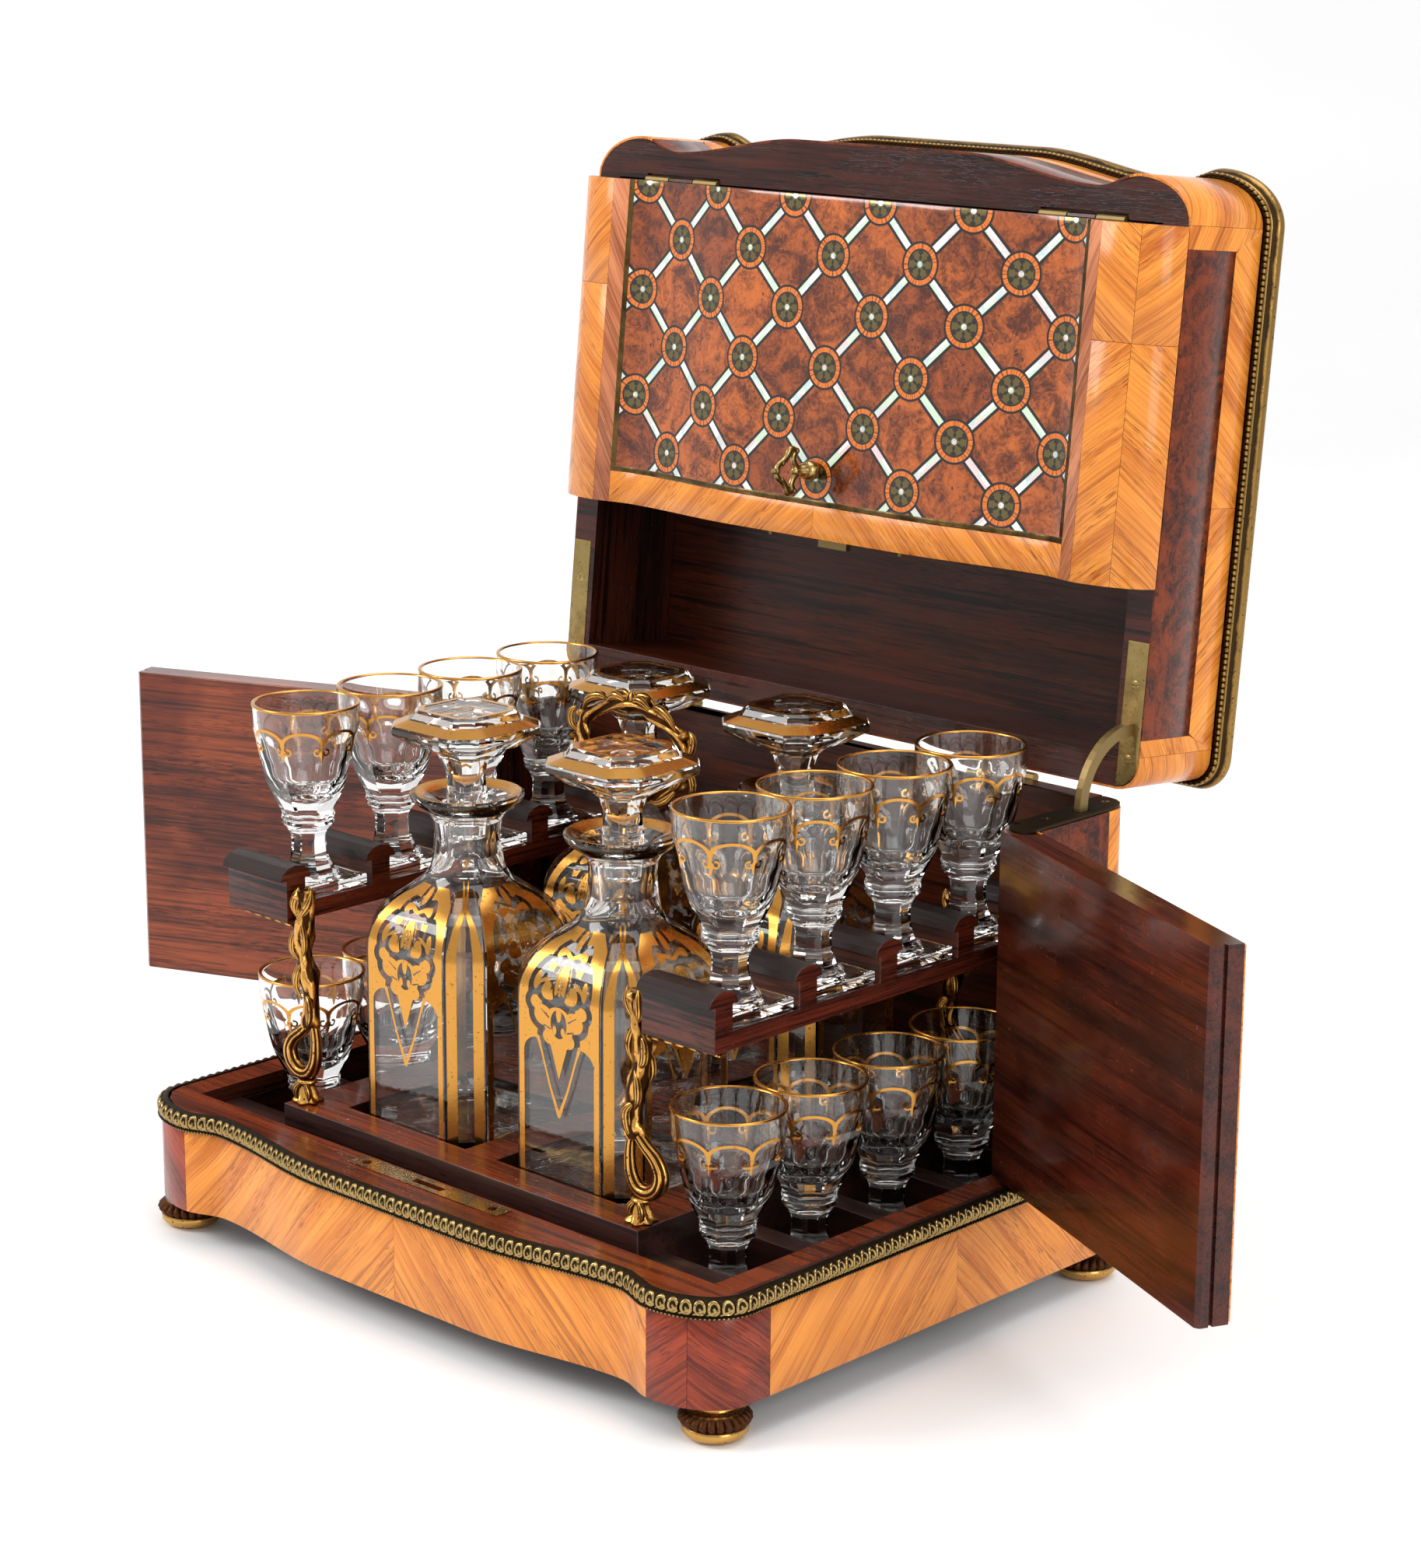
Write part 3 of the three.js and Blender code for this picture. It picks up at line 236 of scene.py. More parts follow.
def on_wall(run, out, height):
    """The outline at a run, drawn out by out, at a height. Negative runs are on the left."""
    run, out, height = np.broadcast_arrays(run, out, height)
    reach = np.abs(run)
    sign = np.where(run < 0, -1.0, 1.0)
    x, y, dx, dy = (np.interp(reach, RUN, column) for column in (*PLAN.T, *OUTWARD.T))
    return np.stack([sign * (x + dx * out), y + dy * out, height], -1)


def span(side, a, b):
    """A range of runs on the right, or its mirror image on the left."""
    return (a, b) if side > 0 else (-b, -a)


# Shapes


def around(reach, turn, height):
    """Points at a radius, a bearing and a height about the vertical."""
    return np.stack([reach * np.cos(turn), reach * np.sin(turn), height + 0 * turn], -1)


def film(skin, faces, points, shine):
    """An open skin over the kept points of a cutout, which are its UV in millimetres."""
    return skin, faces, points * MM, np.full(len(points), shine), False


def volume(points, faces):
    """Signed volume inside a closed skin of faces."""
    quads = faces[faces[:, 3] >= 0]
    thirds = np.concatenate([faces[:, :3], quads[:, [0, 2, 3]]])
    a, b, c = (points[thirds[:, i]] for i in range(3))
    return float(np.einsum("ij,ij->", a, np.cross(b, c)))


def flipped(faces):
    """Faces with their corners in the other order."""
    three = faces[:, 3] < 0
    out = faces[:, ::-1].copy()
    out[three] = np.concatenate([faces[three][:, 2::-1], faces[three][:, 3:]], 1)
    return out


def grid_faces(rows, columns):
    """Quads between neighbouring points of a grid."""
    index = np.arange(rows * columns).reshape(rows, columns)
    return np.stack([
        index[:-1, :-1], index[:-1, 1:], index[1:, 1:], index[1:, :-1],
    ], -1).reshape(-1, 4)


def lengths(points, axis):
    """Length gone along an axis of a grid of points, in metres."""
    steps = np.linalg.norm(np.diff(points, axis=axis), axis=-1)
    gone = np.cumsum(steps, axis=axis)
    first = np.zeros_like(np.take(gone, [0], axis=axis))
    return np.concatenate([first, gone], axis=axis) * MM


def sheet(points, uv=None, relief=None):
    """An open skin over a grid of points."""
    rows, columns = points.shape[:2]
    if uv is None:
        uv = np.stack([lengths(points, 0), lengths(points, 1)], -1)
    if relief is None:
        relief = np.full((rows, columns), 0.5)
    return points.reshape(-1, 3), grid_faces(rows, columns), uv.reshape(-1, 2), relief.reshape(-1), False


def loft(rings, uv=None, relief=None, ends=True):
    """A closed skin over rings of points. The last point of a ring repeats its first.

    With ends, the first and last rings are drawn in to their middles; without, they are one ring.
    """
    points, faces, uv, relief, _ = sheet(rings, uv, relief)
    if ends:
        rows, columns = rings.shape[:2]
        hubs = [rings[0, :-1].mean(0), rings[-1, :-1].mean(0)]
        index = np.arange(columns)
        last = (rows - 1) * columns
        count = len(points)
        fan = np.full((columns - 1, 4), -1)
        fan[:, 0], fan[:, 1], fan[:, 2] = count, index[1:], index[:-1]
        other = np.full((columns - 1, 4), -1)
        other[:, 0], other[:, 1], other[:, 2] = count + 1, last + index[:-1], last + index[1:]
        points = np.concatenate([points, hubs])
        faces = np.concatenate([faces, fan, other])
        uv = np.concatenate([uv, [uv[:columns].mean(0), uv[last:last + columns].mean(0)]])
        relief = np.concatenate([relief, [relief[0], relief[last]]])
    return points, faces, uv, relief, True


class Piece:
    """Skins gathered into one mesh that rides on one body."""

    def __init__(self, body):
        self.body = body
        self.parts = []
        self.count = 0

    def add(self, part, look=0):
        """Takes in a skin, turned out if it is closed, with its material's number."""
        points, faces, uv, relief, closed = part
        if closed and volume(points - points.mean(0), faces) < 0:
            faces = flipped(faces)
        moved = np.where(faces < 0, -1, faces + self.count)
        self.parts.append((points, moved, uv, relief, np.full(len(faces), look)))
        self.count += len(points)
        return self

    def finish(self, name, materials, nodes=(), slot="", sharp=40.0):
        """Makes the object: merges points that coincide, drops faces with no area, and sets UV and relief."""
        points, faces, uv, relief, look = (
            np.concatenate([part[i] for part in self.parts]) for i in range(5)
        )
        key = np.round(points * 2e3).astype(np.int64)
        _, first, merged = np.unique(key, axis=0, return_index=True, return_inverse=True)
        merged = merged.reshape(-1)
        used = np.where(faces < 0, -1, merged[faces])
        following = np.roll(used, -1, axis=1)
        three = faces[:, 3] < 0
        following[three, 2] = used[three, 0]
        used[(used == following)] = -1
        keep = (used >= 0).sum(1) >= 3
        faces, used, look = faces[keep], used[keep], look[keep]
        mask = used >= 0
        corners, old = used[mask], faces[mask]
        totals = mask.sum(1)
        mesh = bpy.data.meshes.new(name)
        mesh.vertices.add(len(first))
        mesh.vertices.foreach_set("co", settled(points[first], self.body).astype(np.float32).ravel())
        mesh.loops.add(len(corners))
        mesh.loops.foreach_set("vertex_index", corners.astype(np.int32))
        mesh.polygons.add(len(totals))
        starts = np.concatenate([[0], np.cumsum(totals)[:-1]])
        mesh.polygons.foreach_set("loop_start", starts.astype(np.int32))
        mesh.polygons.foreach_set("material_index", look.astype(np.int32))
        mesh.update(calc_edges=True)
        layer = mesh.uv_layers.new(name="UVMap")
        layer.uv.foreach_set("vector", uv[old].astype(np.float32).ravel())
        mark = mesh.attributes.new("relief", "FLOAT", "POINT")
        mark.data.foreach_set("value", relief[first].astype(np.float32))
        if mesh.validate():
            print("mended while validating:", name)
        mesh.shade_smooth()
        mesh.set_sharp_from_angle(angle=math.radians(sharp))
        for material in materials:
            mesh.materials.append(material)
        thing = bpy.data.objects.new(name, mesh)
        bpy.context.scene.collection.objects.link(thing)
        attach(thing, self.body)
        if nodes:
            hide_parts(*nodes)
        return thing


def leaf(runs, low, high, grain, seed, grow=0.0, proud=None):
    """A leaf of veneer on the outline between two runs.

    low and high are heights, or functions of the run. Its section is a flat face with eased edges, and
    its UV turns by the grain's angle, so that the figure runs along U.
    """
    proud = proud or sizes().veneer / MM
    gap = sizes().joint / MM / 2
    start, end = (runs[0] + gap, runs[1] - gap)
    count = max(3, int(abs(end - start) / 2.5))
    run = np.linspace(start, end, count)
    bottom = low(run) if callable(low) else np.full(count, low)
    top = high(run) if callable(high) else np.full(count, high)
    bottom, top = bottom + gap, np.maximum(top - gap, bottom + gap + 0.01)
    ease = np.minimum(EDGE_EASE, (top - bottom) / 4)
    heights = np.stack([bottom, bottom, bottom + ease, top - ease, top, top, bottom], 1)
    outs = np.array([BACK, proud - EDGE_DROP, proud, proud, proud - EDGE_DROP, BACK, BACK])
    rings = on_wall(run[:, None], grow + outs[None, :], heights)
    angle = math.radians(grain)
    along = run[:, None] * math.cos(angle) + heights * math.sin(angle)
    across = -run[:, None] * math.sin(angle) + heights * math.cos(angle)
    uv = np.stack([along + FIGURE_ALONG * seed, across + FIGURE_ACROSS * seed], -1) * MM
    return loft(rings, uv)


def board(origin, across, up, size, grain, seed, cut=(0.0, 0.0, 0.0, 0.0)):
    """A flat leaf of veneer: origin is its lower left corner and across and up are its directions.

    cut slants its corners for mitres: how far each of the lower left, lower right, upper right and
    upper left corners moves inwards along the width.
    """
    origin, across, up = (np.asarray(v, float) for v in (origin, across, up))
    outward = np.cross(across, up)
    wide, tall = size
    proud = sizes().veneer / MM
    gap = sizes().joint / MM / 2
    corners = np.array([
        [gap + cut[0], gap], [wide - gap - cut[1], gap], [wide - gap - cut[2], tall - gap],
        [gap + cut[3], tall - gap],
    ])
    middle = corners.mean(0)
    inner = corners + np.sign(middle - corners) * EDGE_EASE
    loops = [corners, corners, inner]
    outs = [BACK, proud - EDGE_DROP, proud]
    rings = []
    angle = math.radians(grain)
    uvs = []
    for loop, out in zip(loops, outs):
        closed = np.concatenate([loop, loop[:1]])
        rings.append(origin + closed[:, :1] * across + closed[:, 1:] * up + outward * out)
        along = closed[:, 0] * math.cos(angle) + closed[:, 1] * math.sin(angle)
        wideways = -closed[:, 0] * math.sin(angle) + closed[:, 1] * math.cos(angle)
        uvs.append(np.stack([along + FIGURE_ALONG * seed, wideways + FIGURE_ACROSS * seed], -1) * MM)
    return loft(np.array(rings), np.array(uvs))


def tube(path, normal, radius, section=None, count=16, relief=None):
    """A skin carried along a path. path is (n, 3); normal is the path plane's normal.

    radius is one number for each station, and section(turn, share) scales it round the path.
    """
    share = np.linspace(0, 1, len(path))
    tangent = np.gradient(path, axis=0)
    tangent /= np.linalg.norm(tangent, axis=1, keepdims=True)
    bind = np.broadcast_to(np.asarray(normal, float), path.shape)
    side = np.cross(bind, tangent)
    side /= np.linalg.norm(side, axis=1, keepdims=True)
    turn = np.linspace(0, TAU, count + 1)
    scale = np.ones((len(path), count + 1))
    if section is not None:
        scale = section(turn[None, :], share[:, None]) * scale
    reach = np.asarray(radius)[:, None] * scale
    rings = path[:, None] + reach[..., None] * (
        np.cos(turn)[None, :, None] * side[:, None] + np.sin(turn)[None, :, None] * bind[:, None]
    )
    shown = relief(turn[None, :], share[:, None]) * np.ones_like(scale) if relief else None
    return rings, shown


def lump(centre, size, tilt=0.0, ribs=0, depth=0.0, rows=12, count=20):
    """An ellipsoid at centre with ribs that run from pole to pole, tilted about Y."""
    rise = np.linspace(0, math.pi, rows)[:, None]
    turn = np.linspace(0, TAU, count + 1)[None, :]
    swell = 1 + depth * np.cos(ribs * turn) * np.sin(rise)
    local = np.stack([
        size[0] * np.sin(rise) * np.cos(turn) * swell, size[1] * np.sin(rise) * np.sin(turn) * swell,
        size[2] * np.cos(rise) * np.ones_like(turn),
    ], -1)
    c, s = math.cos(tilt), math.sin(tilt)
    spin = np.array([[c, 0, s], [0, 1, 0], [-s, 0, c]])
    relief = 0.5 + 0.5 * np.cos(ribs * turn) * np.ones_like(rise) if ribs else None
    return loft(local @ spin.T + np.asarray(centre, float), relief=relief)


def lathe(pairs, count=48, centre=(0, 0, 0), wave=None, relief=None):
    """A turned skin. pairs are [radius, height]; wave(turn, row) scales the radius of each row."""
    pairs = np.asarray(pairs, float)
    turn = np.linspace(0, TAU, count + 1)
    radius = pairs[:, :1] * np.ones_like(turn)
    if wave is not None:
        radius = radius * wave(turn[None, :], np.arange(len(pairs))[:, None])
    height = pairs[:, 1:] * np.ones_like(turn)
    rings = np.stack([radius * np.cos(turn), radius * np.sin(turn), height], -1) + np.asarray(centre, float)
    shown = None if relief is None else np.asarray(relief, float)[:, None] * np.ones_like(turn)
    return loft(rings, relief=shown)


def cutout(distance, us, vs, steps):
    """The part of a grid where distance(u, v) is below zero, with its border drawn onto the zero line.

    us and vs are the grid's ranges and steps its counts. It gives (u, v) of the kept points and quads.
    """
    u, v = np.meshgrid(np.linspace(*us, steps[0]), np.linspace(*vs, steps[1]), indexing="ij")
    cell = max((us[1] - us[0]) / (steps[0] - 1), (vs[1] - vs[0]) / (steps[1] - 1))
    middle = distance(
        (u[:-1, :-1] + u[1:, 1:]) / 2, (v[:-1, :-1] + v[1:, 1:]) / 2,
    ) < 0
    faces = grid_faces(*u.shape).reshape(steps[0] - 1, steps[1] - 1, 4)
    inside, outside = faces[middle], faces[~middle]
    border = np.intersect1d(inside, outside)
    flat = np.stack([u.ravel(), v.ravel()], 1)
    point = flat[border]
    small = cell * 0.05
    for _ in range(3):
        here = distance(point[:, 0], point[:, 1])
        slope = np.stack([
            distance(point[:, 0] + small, point[:, 1]) - here,
            distance(point[:, 0], point[:, 1] + small) - here,
        ], 1) / small
        step = -here[:, None] * slope / np.maximum((slope ** 2).sum(1, keepdims=True), 0.05)
        point = point + np.clip(step, -cell * 0.6, cell * 0.6)
    limit = cell * 0.7
    flat[border] = flat[border] + np.clip(point - flat[border], -limit, limit)
    kept, faces = np.unique(inside, return_inverse=True)
    return flat[kept], faces.reshape(-1, 4)


def stroke(u, v, points, widths):
    """Distance to a line through the points whose half width goes from one of widths to the next."""
    found = np.full(np.shape(u), 99.0)
    for (x0, y0), (x1, y1), w0, w1 in zip(points[:-1], points[1:], widths[:-1], widths[1:]):
        dx, dy = x1 - x0, y1 - y0
        t = np.clip(((u - x0) * dx + (v - y0) * dy) / (dx * dx + dy * dy), 0, 1)
        found = np.minimum(found, np.hypot(u - x0 - t * dx, v - y0 - t * dy) - mix(w0, w1, t))
    return found


def oval(u, v, x, y, wide, tall):
    """Distance to an ellipse about (x, y), exact at its axes."""
    return (np.hypot((u - x) / wide, (v - y) / tall) - 1) * min(wide, tall)


def curve_through(points, count):
    """A smooth path through the given points, by Catmull and Rom's rule on a whole array."""
    points = np.asarray(points, float)
    padded = np.concatenate([2 * points[:1] - points[1:2], points, 2 * points[-1:] - points[-2:-1]])
    place = np.linspace(0, len(points) - 1 - 1e-9, count)
    index = place.astype(int)
    t = (place - index)[:, None]
    a, b, c, d = (padded[index + k] for k in range(4))
    square = (2 * a - 5 * b + 4 * c - d) * t ** 2
    return 0.5 * (2 * b + (c - a) * t + square + (3 * b - a - 3 * c + d) * t ** 3)


def knobbly(turn, share):
    """A cast vine's radius: slow lobes that twist, crossed by quicker ones."""
    lobes = 0.11 * np.cos(3 * turn + 7 * share) + 0.08 * np.cos(5 * turn - 17 * share)
    return 1 + lobes + 0.07 * np.sin(2 * turn + 33 * share) + 0.05 * np.cos(9 * turn + 21 * share)


def knobbly_relief(turn, share):
    """How high the vine's lobes stand, from 0 to 1."""
    return np.clip(0.55 + 2.6 * (knobbly(turn, share) - 1), 0, 1)


def blade(points, wide, thick, bind=(0, 1, 0), count=28):
    """A cast leaf: a flattened tube, pointed at both ends, along a curve, with grooves along it."""
    path = curve_through(points, count)
    share = np.linspace(0, 1, count)
    radius = wide * np.maximum(np.sin(math.pi * share) ** 0.75, 0.06)

    def section(turn, along):
        flat = 1 / np.sqrt(np.cos(turn) ** 2 + (np.sin(turn) * wide / thick) ** 2)
        return flat * (1 + 0.1 * np.cos(8 * turn))

    def relief(turn, along):
        return np.clip(0.6 + 0.5 * np.cos(8 * turn) * np.abs(np.sin(turn)), 0, 1)

    rings, shown = tube(path, bind, radius, section, 18, relief)
    return loft(rings, relief=shown)


# Materials


def add(tree, kind, inputs=None, **settings):
    """A node of that kind with its settings, and its inputs linked or set."""
    node = tree.nodes.new(kind)
    for name, value in settings.items():
        setattr(node, name, value)
    for name, value in (inputs or {}).items():
        socket = node.inputs[name]
        if isinstance(value, bpy.types.NodeSocket):
            tree.links.new(value, socket)
        else:
            socket.default_value = value
    return node


def calc(tree, operation, *values, clamp=False):
    """Result of a Math node."""
    node = add(tree, "ShaderNodeMath", dict(enumerate(values)), operation=operation, use_clamp=clamp)
    return node.outputs[0]


def vector(tree, operation, *values):
    """Result of a Vector Math node that gives a vector."""
    return add(tree, "ShaderNodeVectorMath", dict(enumerate(values)), operation=operation).outputs[0]


def blend(tree, share, a, b, kind="MIX"):
    """Colour between a and b."""
    node = add(
        tree, "ShaderNodeMix", {0: share, 6: a, 7: b}, data_type="RGBA", blend_type=kind,
    )
    return node.outputs[2]


def between(tree, value, low, high):
    """0 where value is below low, 1 above high, smooth between them."""
    node = add(
        tree, "ShaderNodeMapRange", {0: value, 1: low, 2: high, 3: 0.0, 4: 1.0},
        interpolation_type="SMOOTHSTEP",
    )
    return node.outputs[0]


def noise(tree, where, scale, detail=2.0, roughness=0.5, distortion=0.0):
    """Value of a Noise texture."""
    node = add(tree, "ShaderNodeTexNoise", {
        "Vector": where, "Scale": scale, "Detail": detail, "Roughness": roughness,
        "Distortion": distortion,
    })
    return node.outputs[0]


def scaled(tree, where, scale, location=(0, 0, 0), rotation=(0, 0, 0)):
    """Where, turned, scaled and moved by a Mapping node."""
    return add(tree, "ShaderNodeMapping", {
        "Vector": where, "Scale": scale, "Location": location, "Rotation": rotation,
    }).outputs[0]


def rgb(red, green, blue):
    """Linear colour of an sRGB colour of 0 to 255."""
    parts = np.array([red, green, blue]) / 255
    linear = np.where(parts <= 0.04045, parts / 12.92, ((parts + 0.055) / 1.055) ** 2.4)
    return (*linear.tolist(), 1.0)


def new_group(name, inputs, outputs):
    """An empty node group. inputs and outputs are {name: socket type or default value}."""
    tree = bpy.data.node_groups.new(name, "ShaderNodeTree")
    kinds = {float: "NodeSocketFloat", tuple: "NodeSocketColor", str: "NodeSocketVector"}
    for label, value in inputs.items():
        socket = tree.interface.new_socket(label, in_out="INPUT", socket_type=kinds[type(value)])
        if not isinstance(value, str):
            socket.default_value = value
    for label, value in outputs.items():
        tree.interface.new_socket(label, in_out="OUTPUT", socket_type=kinds[type(value)])
    return tree, tree.nodes.new("NodeGroupInput").outputs, tree.nodes.new("NodeGroupOutput").inputs


def wood_group():
    """Straight-grained wood: broad bands, fine streaks, dark lines and short pores along X."""
    tree, given, out = new_group(
        "Wood figure", {"Vector": "", "Light": (1.0,) * 4, "Dark": (0.0, 0.0, 0.0, 1.0), "Lines": 0.5},
        {"Color": (0.0,), "Height": 0.0},
    )
    bend = noise(tree, scaled(tree, given["Vector"], (14, 30, 30)), 1.0, 3.0)
    shift = add(tree, "ShaderNodeCombineXYZ", {1: calc(tree, "MULTIPLY", bend, 0.006)}).outputs[0]
    where = vector(tree, "ADD", given["Vector"], shift)
    bands = noise(tree, scaled(tree, where, (6, 110, 110)), 1.0, 2.0)
    streaks = noise(tree, scaled(tree, where, (22, 900, 900)), 1.0, 3.0, 0.6)
    lines = noise(tree, scaled(tree, where, (7, 420, 420), (3, 1, 7)), 1.0, 2.0)
    share = calc(tree, "ADD", calc(tree, "MULTIPLY", bands, 0.62), calc(tree, "MULTIPLY", streaks, 0.66))
    color = blend(tree, between(tree, share, 0.42, 0.8), given["Dark"], given["Light"])
    dark = blend(tree, 1.0, given["Dark"], (0.4, 0.33, 0.3, 1), "MULTIPLY")
    mask = calc(tree, "MULTIPLY", between(tree, lines, 0.56, 0.66), given["Lines"])
    color = blend(tree, mask, color, dark)
    pores = noise(tree, scaled(tree, where, (130, 2200, 2200)), 1.0, 1.0)
    clusters = between(tree, noise(tree, scaled(tree, where, (12, 60, 60)), 1.0, 2.0), 0.42, 0.62)
    pits = calc(tree, "MULTIPLY", between(tree, pores, 0.55, 0.66), clusters)
    color = blend(tree, calc(tree, "MULTIPLY", pits, 0.75), color, dark)
    tree.links.new(color, out["Color"])
    tree.links.new(calc(tree, "SUBTRACT", calc(tree, "MULTIPLY", streaks, 0.25), pits), out["Height"])
    return tree


def burl_group():
    """Burl: cloudy patches, swirling streaks and small dark eyes that gather in clusters."""
    tree, given, out = new_group(
        "Burl figure", {"Vector": "", "Light": (1.0,) * 4, "Dark": (0.0, 0.0, 0.0, 1.0)},
        {"Color": (0.0,), "Height": 0.0},
    )
    where = given["Vector"]
    clouds = noise(tree, where, 55.0, 3.0, 0.6, 1.5)
    swirl = noise(tree, where, 190.0, 4.0, 0.62, 3.0)
    fine = noise(tree, where, 1100.0, 2.0, 0.6)
    share = calc(tree, "ADD", calc(tree, "MULTIPLY", clouds, 0.72), calc(tree, "MULTIPLY", swirl, 0.5))
    share = calc(tree, "ADD", share, calc(tree, "MULTIPLY", fine, 0.12))
    color = blend(tree, between(tree, share, 0.5, 0.84), given["Dark"], given["Light"])
    warp = add(tree, "ShaderNodeTexNoise", {"Vector": where, "Scale": 150.0, "Detail": 2.0}).outputs[1]
    warp = add(tree, "ShaderNodeVectorMath", {0: warp, 3: 0.006}, operation="SCALE").outputs[0]
    eyes = add(tree, "ShaderNodeTexVoronoi", {"Vector": vector(tree, "ADD", where, warp), "Scale": 330.0})
    some = between(tree, noise(tree, where, 75.0, 2.0), 0.5, 0.62)
    pupil = calc(tree, "SUBTRACT", 1.0, between(tree, eyes.outputs[0], 0.1, 0.26))
    pupil = calc(tree, "MULTIPLY", pupil, some)
    dark = blend(tree, 1.0, given["Dark"], (0.3, 0.22, 0.2, 1), "MULTIPLY")
    color = blend(tree, calc(tree, "MULTIPLY", pupil, 0.9), color, dark)
    tree.links.new(color, out["Color"])
    tree.links.new(calc(tree, "SUBTRACT", calc(tree, "MULTIPLY", swirl, 0.3), pupil), out["Height"])
    return tree


def polish_group():
    """Old polish: roughness with faint smears, small dull spots and hairline scratches."""
    tree, given, out = new_group(
        "Old polish", {"Vector": "", "Roughness": 0.2, "Wear": 0.5}, {"Roughness": 0.0, "Height": 0.0},
    )
    smears = noise(tree, given["Vector"], 22.0, 4.0, 0.6)
    spots = noise(tree, given["Vector"], 420.0, 2.0)
    scratch = noise(tree, scaled(tree, given["Vector"], (1400, 26, 400), rotation=(0.3, 0.5, 0.7)), 1.0, 1.0)
    worn = calc(
        tree, "MULTIPLY", between(tree, smears, 0.4, 0.75), calc(tree, "MULTIPLY", given["Wear"], 0.22))
    dull = calc(
        tree, "MULTIPLY", between(tree, spots, 0.66, 0.74), calc(tree, "MULTIPLY", given["Wear"], 0.2))
    total = calc(tree, "ADD", given["Roughness"], calc(tree, "ADD", worn, dull))
    tree.links.new(total, out["Roughness"])
    lines = between(tree, scratch, 0.7, 0.76)
    waves = noise(tree, given["Vector"], 70.0, 2.0)
    tree.links.new(calc(tree, "SUBTRACT", waves, calc(tree, "MULTIPLY", lines, 0.1)), out["Height"])
    return tree


def patina_group():
    """Old metal: bright on the relief's highs, brown in its lows, with clouds and dark specks."""
    tree, given, out = new_group(
        "Patina", {
            "Vector": "", "Relief": 0.5, "Bright": (1.0,) * 4, "Dull": (0.0, 0.0, 0.0, 1.0), "Dirt": 0.5,
        }, {"Color": (0.0,), "Roughness": 0.0, "Height": 0.0},
    )
    clouds = noise(tree, given["Vector"], 130.0, 4.0, 0.6)
    specks = noise(tree, given["Vector"], 700.0, 2.0, 0.6)
    low = calc(tree, "SUBTRACT", 1.0, given["Relief"])
    share = calc(tree, "ADD", calc(tree, "MULTIPLY", low, 0.9), calc(tree, "MULTIPLY", clouds, 0.55))
    mask = between(tree, share, 0.5, 0.95)
    mask = calc(tree, "MAXIMUM", mask, calc(tree, "MULTIPLY", between(tree, specks, 0.62, 0.72), 0.85))
    mask = calc(tree, "MULTIPLY", mask, calc(tree, "MULTIPLY", given["Dirt"], 2.0), clamp=True)
    tree.links.new(blend(tree, mask, given["Bright"], given["Dull"]), out["Color"])
    dull = calc(tree, "ADD", calc(tree, "MULTIPLY", mask, 0.3), calc(tree, "MULTIPLY", clouds, 0.12))
    tree.links.new(calc(tree, "ADD", 0.16, dull), out["Roughness"])
    tree.links.new(calc(tree, "ADD", clouds, calc(tree, "MULTIPLY", specks, 0.5)), out["Height"])
    return tree


GROUPS = {}


def group(tree, name, inputs):
    """Outputs of a node that uses one of the shared groups, built when first asked for."""
    if name not in GROUPS:
        builders = {
            "Wood figure": wood_group, "Burl figure": burl_group, "Old polish": polish_group,
            "Patina": patina_group,
        }
        GROUPS[name] = builders[name]()
    return add(tree, "ShaderNodeGroup", inputs, node_tree=GROUPS[name]).outputs


def new_material(name, color, **constants):
    """An empty material: its tree and its Principled shader with constant sockets set."""
    material = bpy.data.materials.new(name)
    material.use_nodes = True
    material.diffuse_color = color
    tree = material.node_tree
    shader = tree.nodes["Principled BSDF"]
    for label, value in constants.items():
        shader.inputs[label.replace("_", " ")].default_value = value
    return material, tree, shader


def bump(tree, height, strength, distance, normal=None):
    """Normal of a Bump node."""
    inputs = {"Height": height, "Strength": strength, "Distance": distance}
    if normal is not None:
        inputs["Normal"] = normal
    return add(tree, "ShaderNodeBump", inputs).outputs[0]


def position(tree):
    """Object coordinates."""
    return tree.nodes.new("ShaderNodeTexCoord").outputs["Object"]


def flat_uv(tree):
    """The piece's own UV, in metres."""
    return tree.nodes.new("ShaderNodeTexCoord").outputs["UV"]


def wood(
    name, light, dark, where=position, turn=(0, 0, 0), lines=0.5, rough=0.2, wear=0.5, coat=0.12, age=0.35,
):
    """Polished straight-grained wood whose grain runs along X of where, once turned.

    age is how far it clouds.
    """
    material, tree, shader = new_material(
        name, light, Coat_Weight=coat, Coat_Roughness=0.08, Specular_IOR_Level=0.3)
    place = scaled(tree, where(tree), (1, 1, 1), rotation=turn)
    figure = group(tree, "Wood figure", {"Vector": place, "Light": light, "Dark": dark, "Lines": lines})
    polish = group(tree, "Old polish", {"Vector": position(tree), "Roughness": rough, "Wear": wear})
    clouds = noise(tree, position(tree), 16.0, 3.0, 0.6)
    veil = calc(tree, "MULTIPLY", between(tree, clouds, 0.45, 0.65), age)
    dimmed = blend(tree, 1.0, figure["Color"], (0.5, 0.36, 0.3, 1), "MULTIPLY")
    color = blend(tree, veil, figure["Color"], dimmed)
    tree.links.new(color, shader.inputs["Base Color"])
    tree.links.new(polish["Roughness"], shader.inputs["Roughness"])
    pores = bump(tree, figure["Height"], 0.25, 0.00012)
    tree.links.new(bump(tree, polish["Height"], 0.12, 0.0005, pores), shader.inputs["Normal"])
    return material


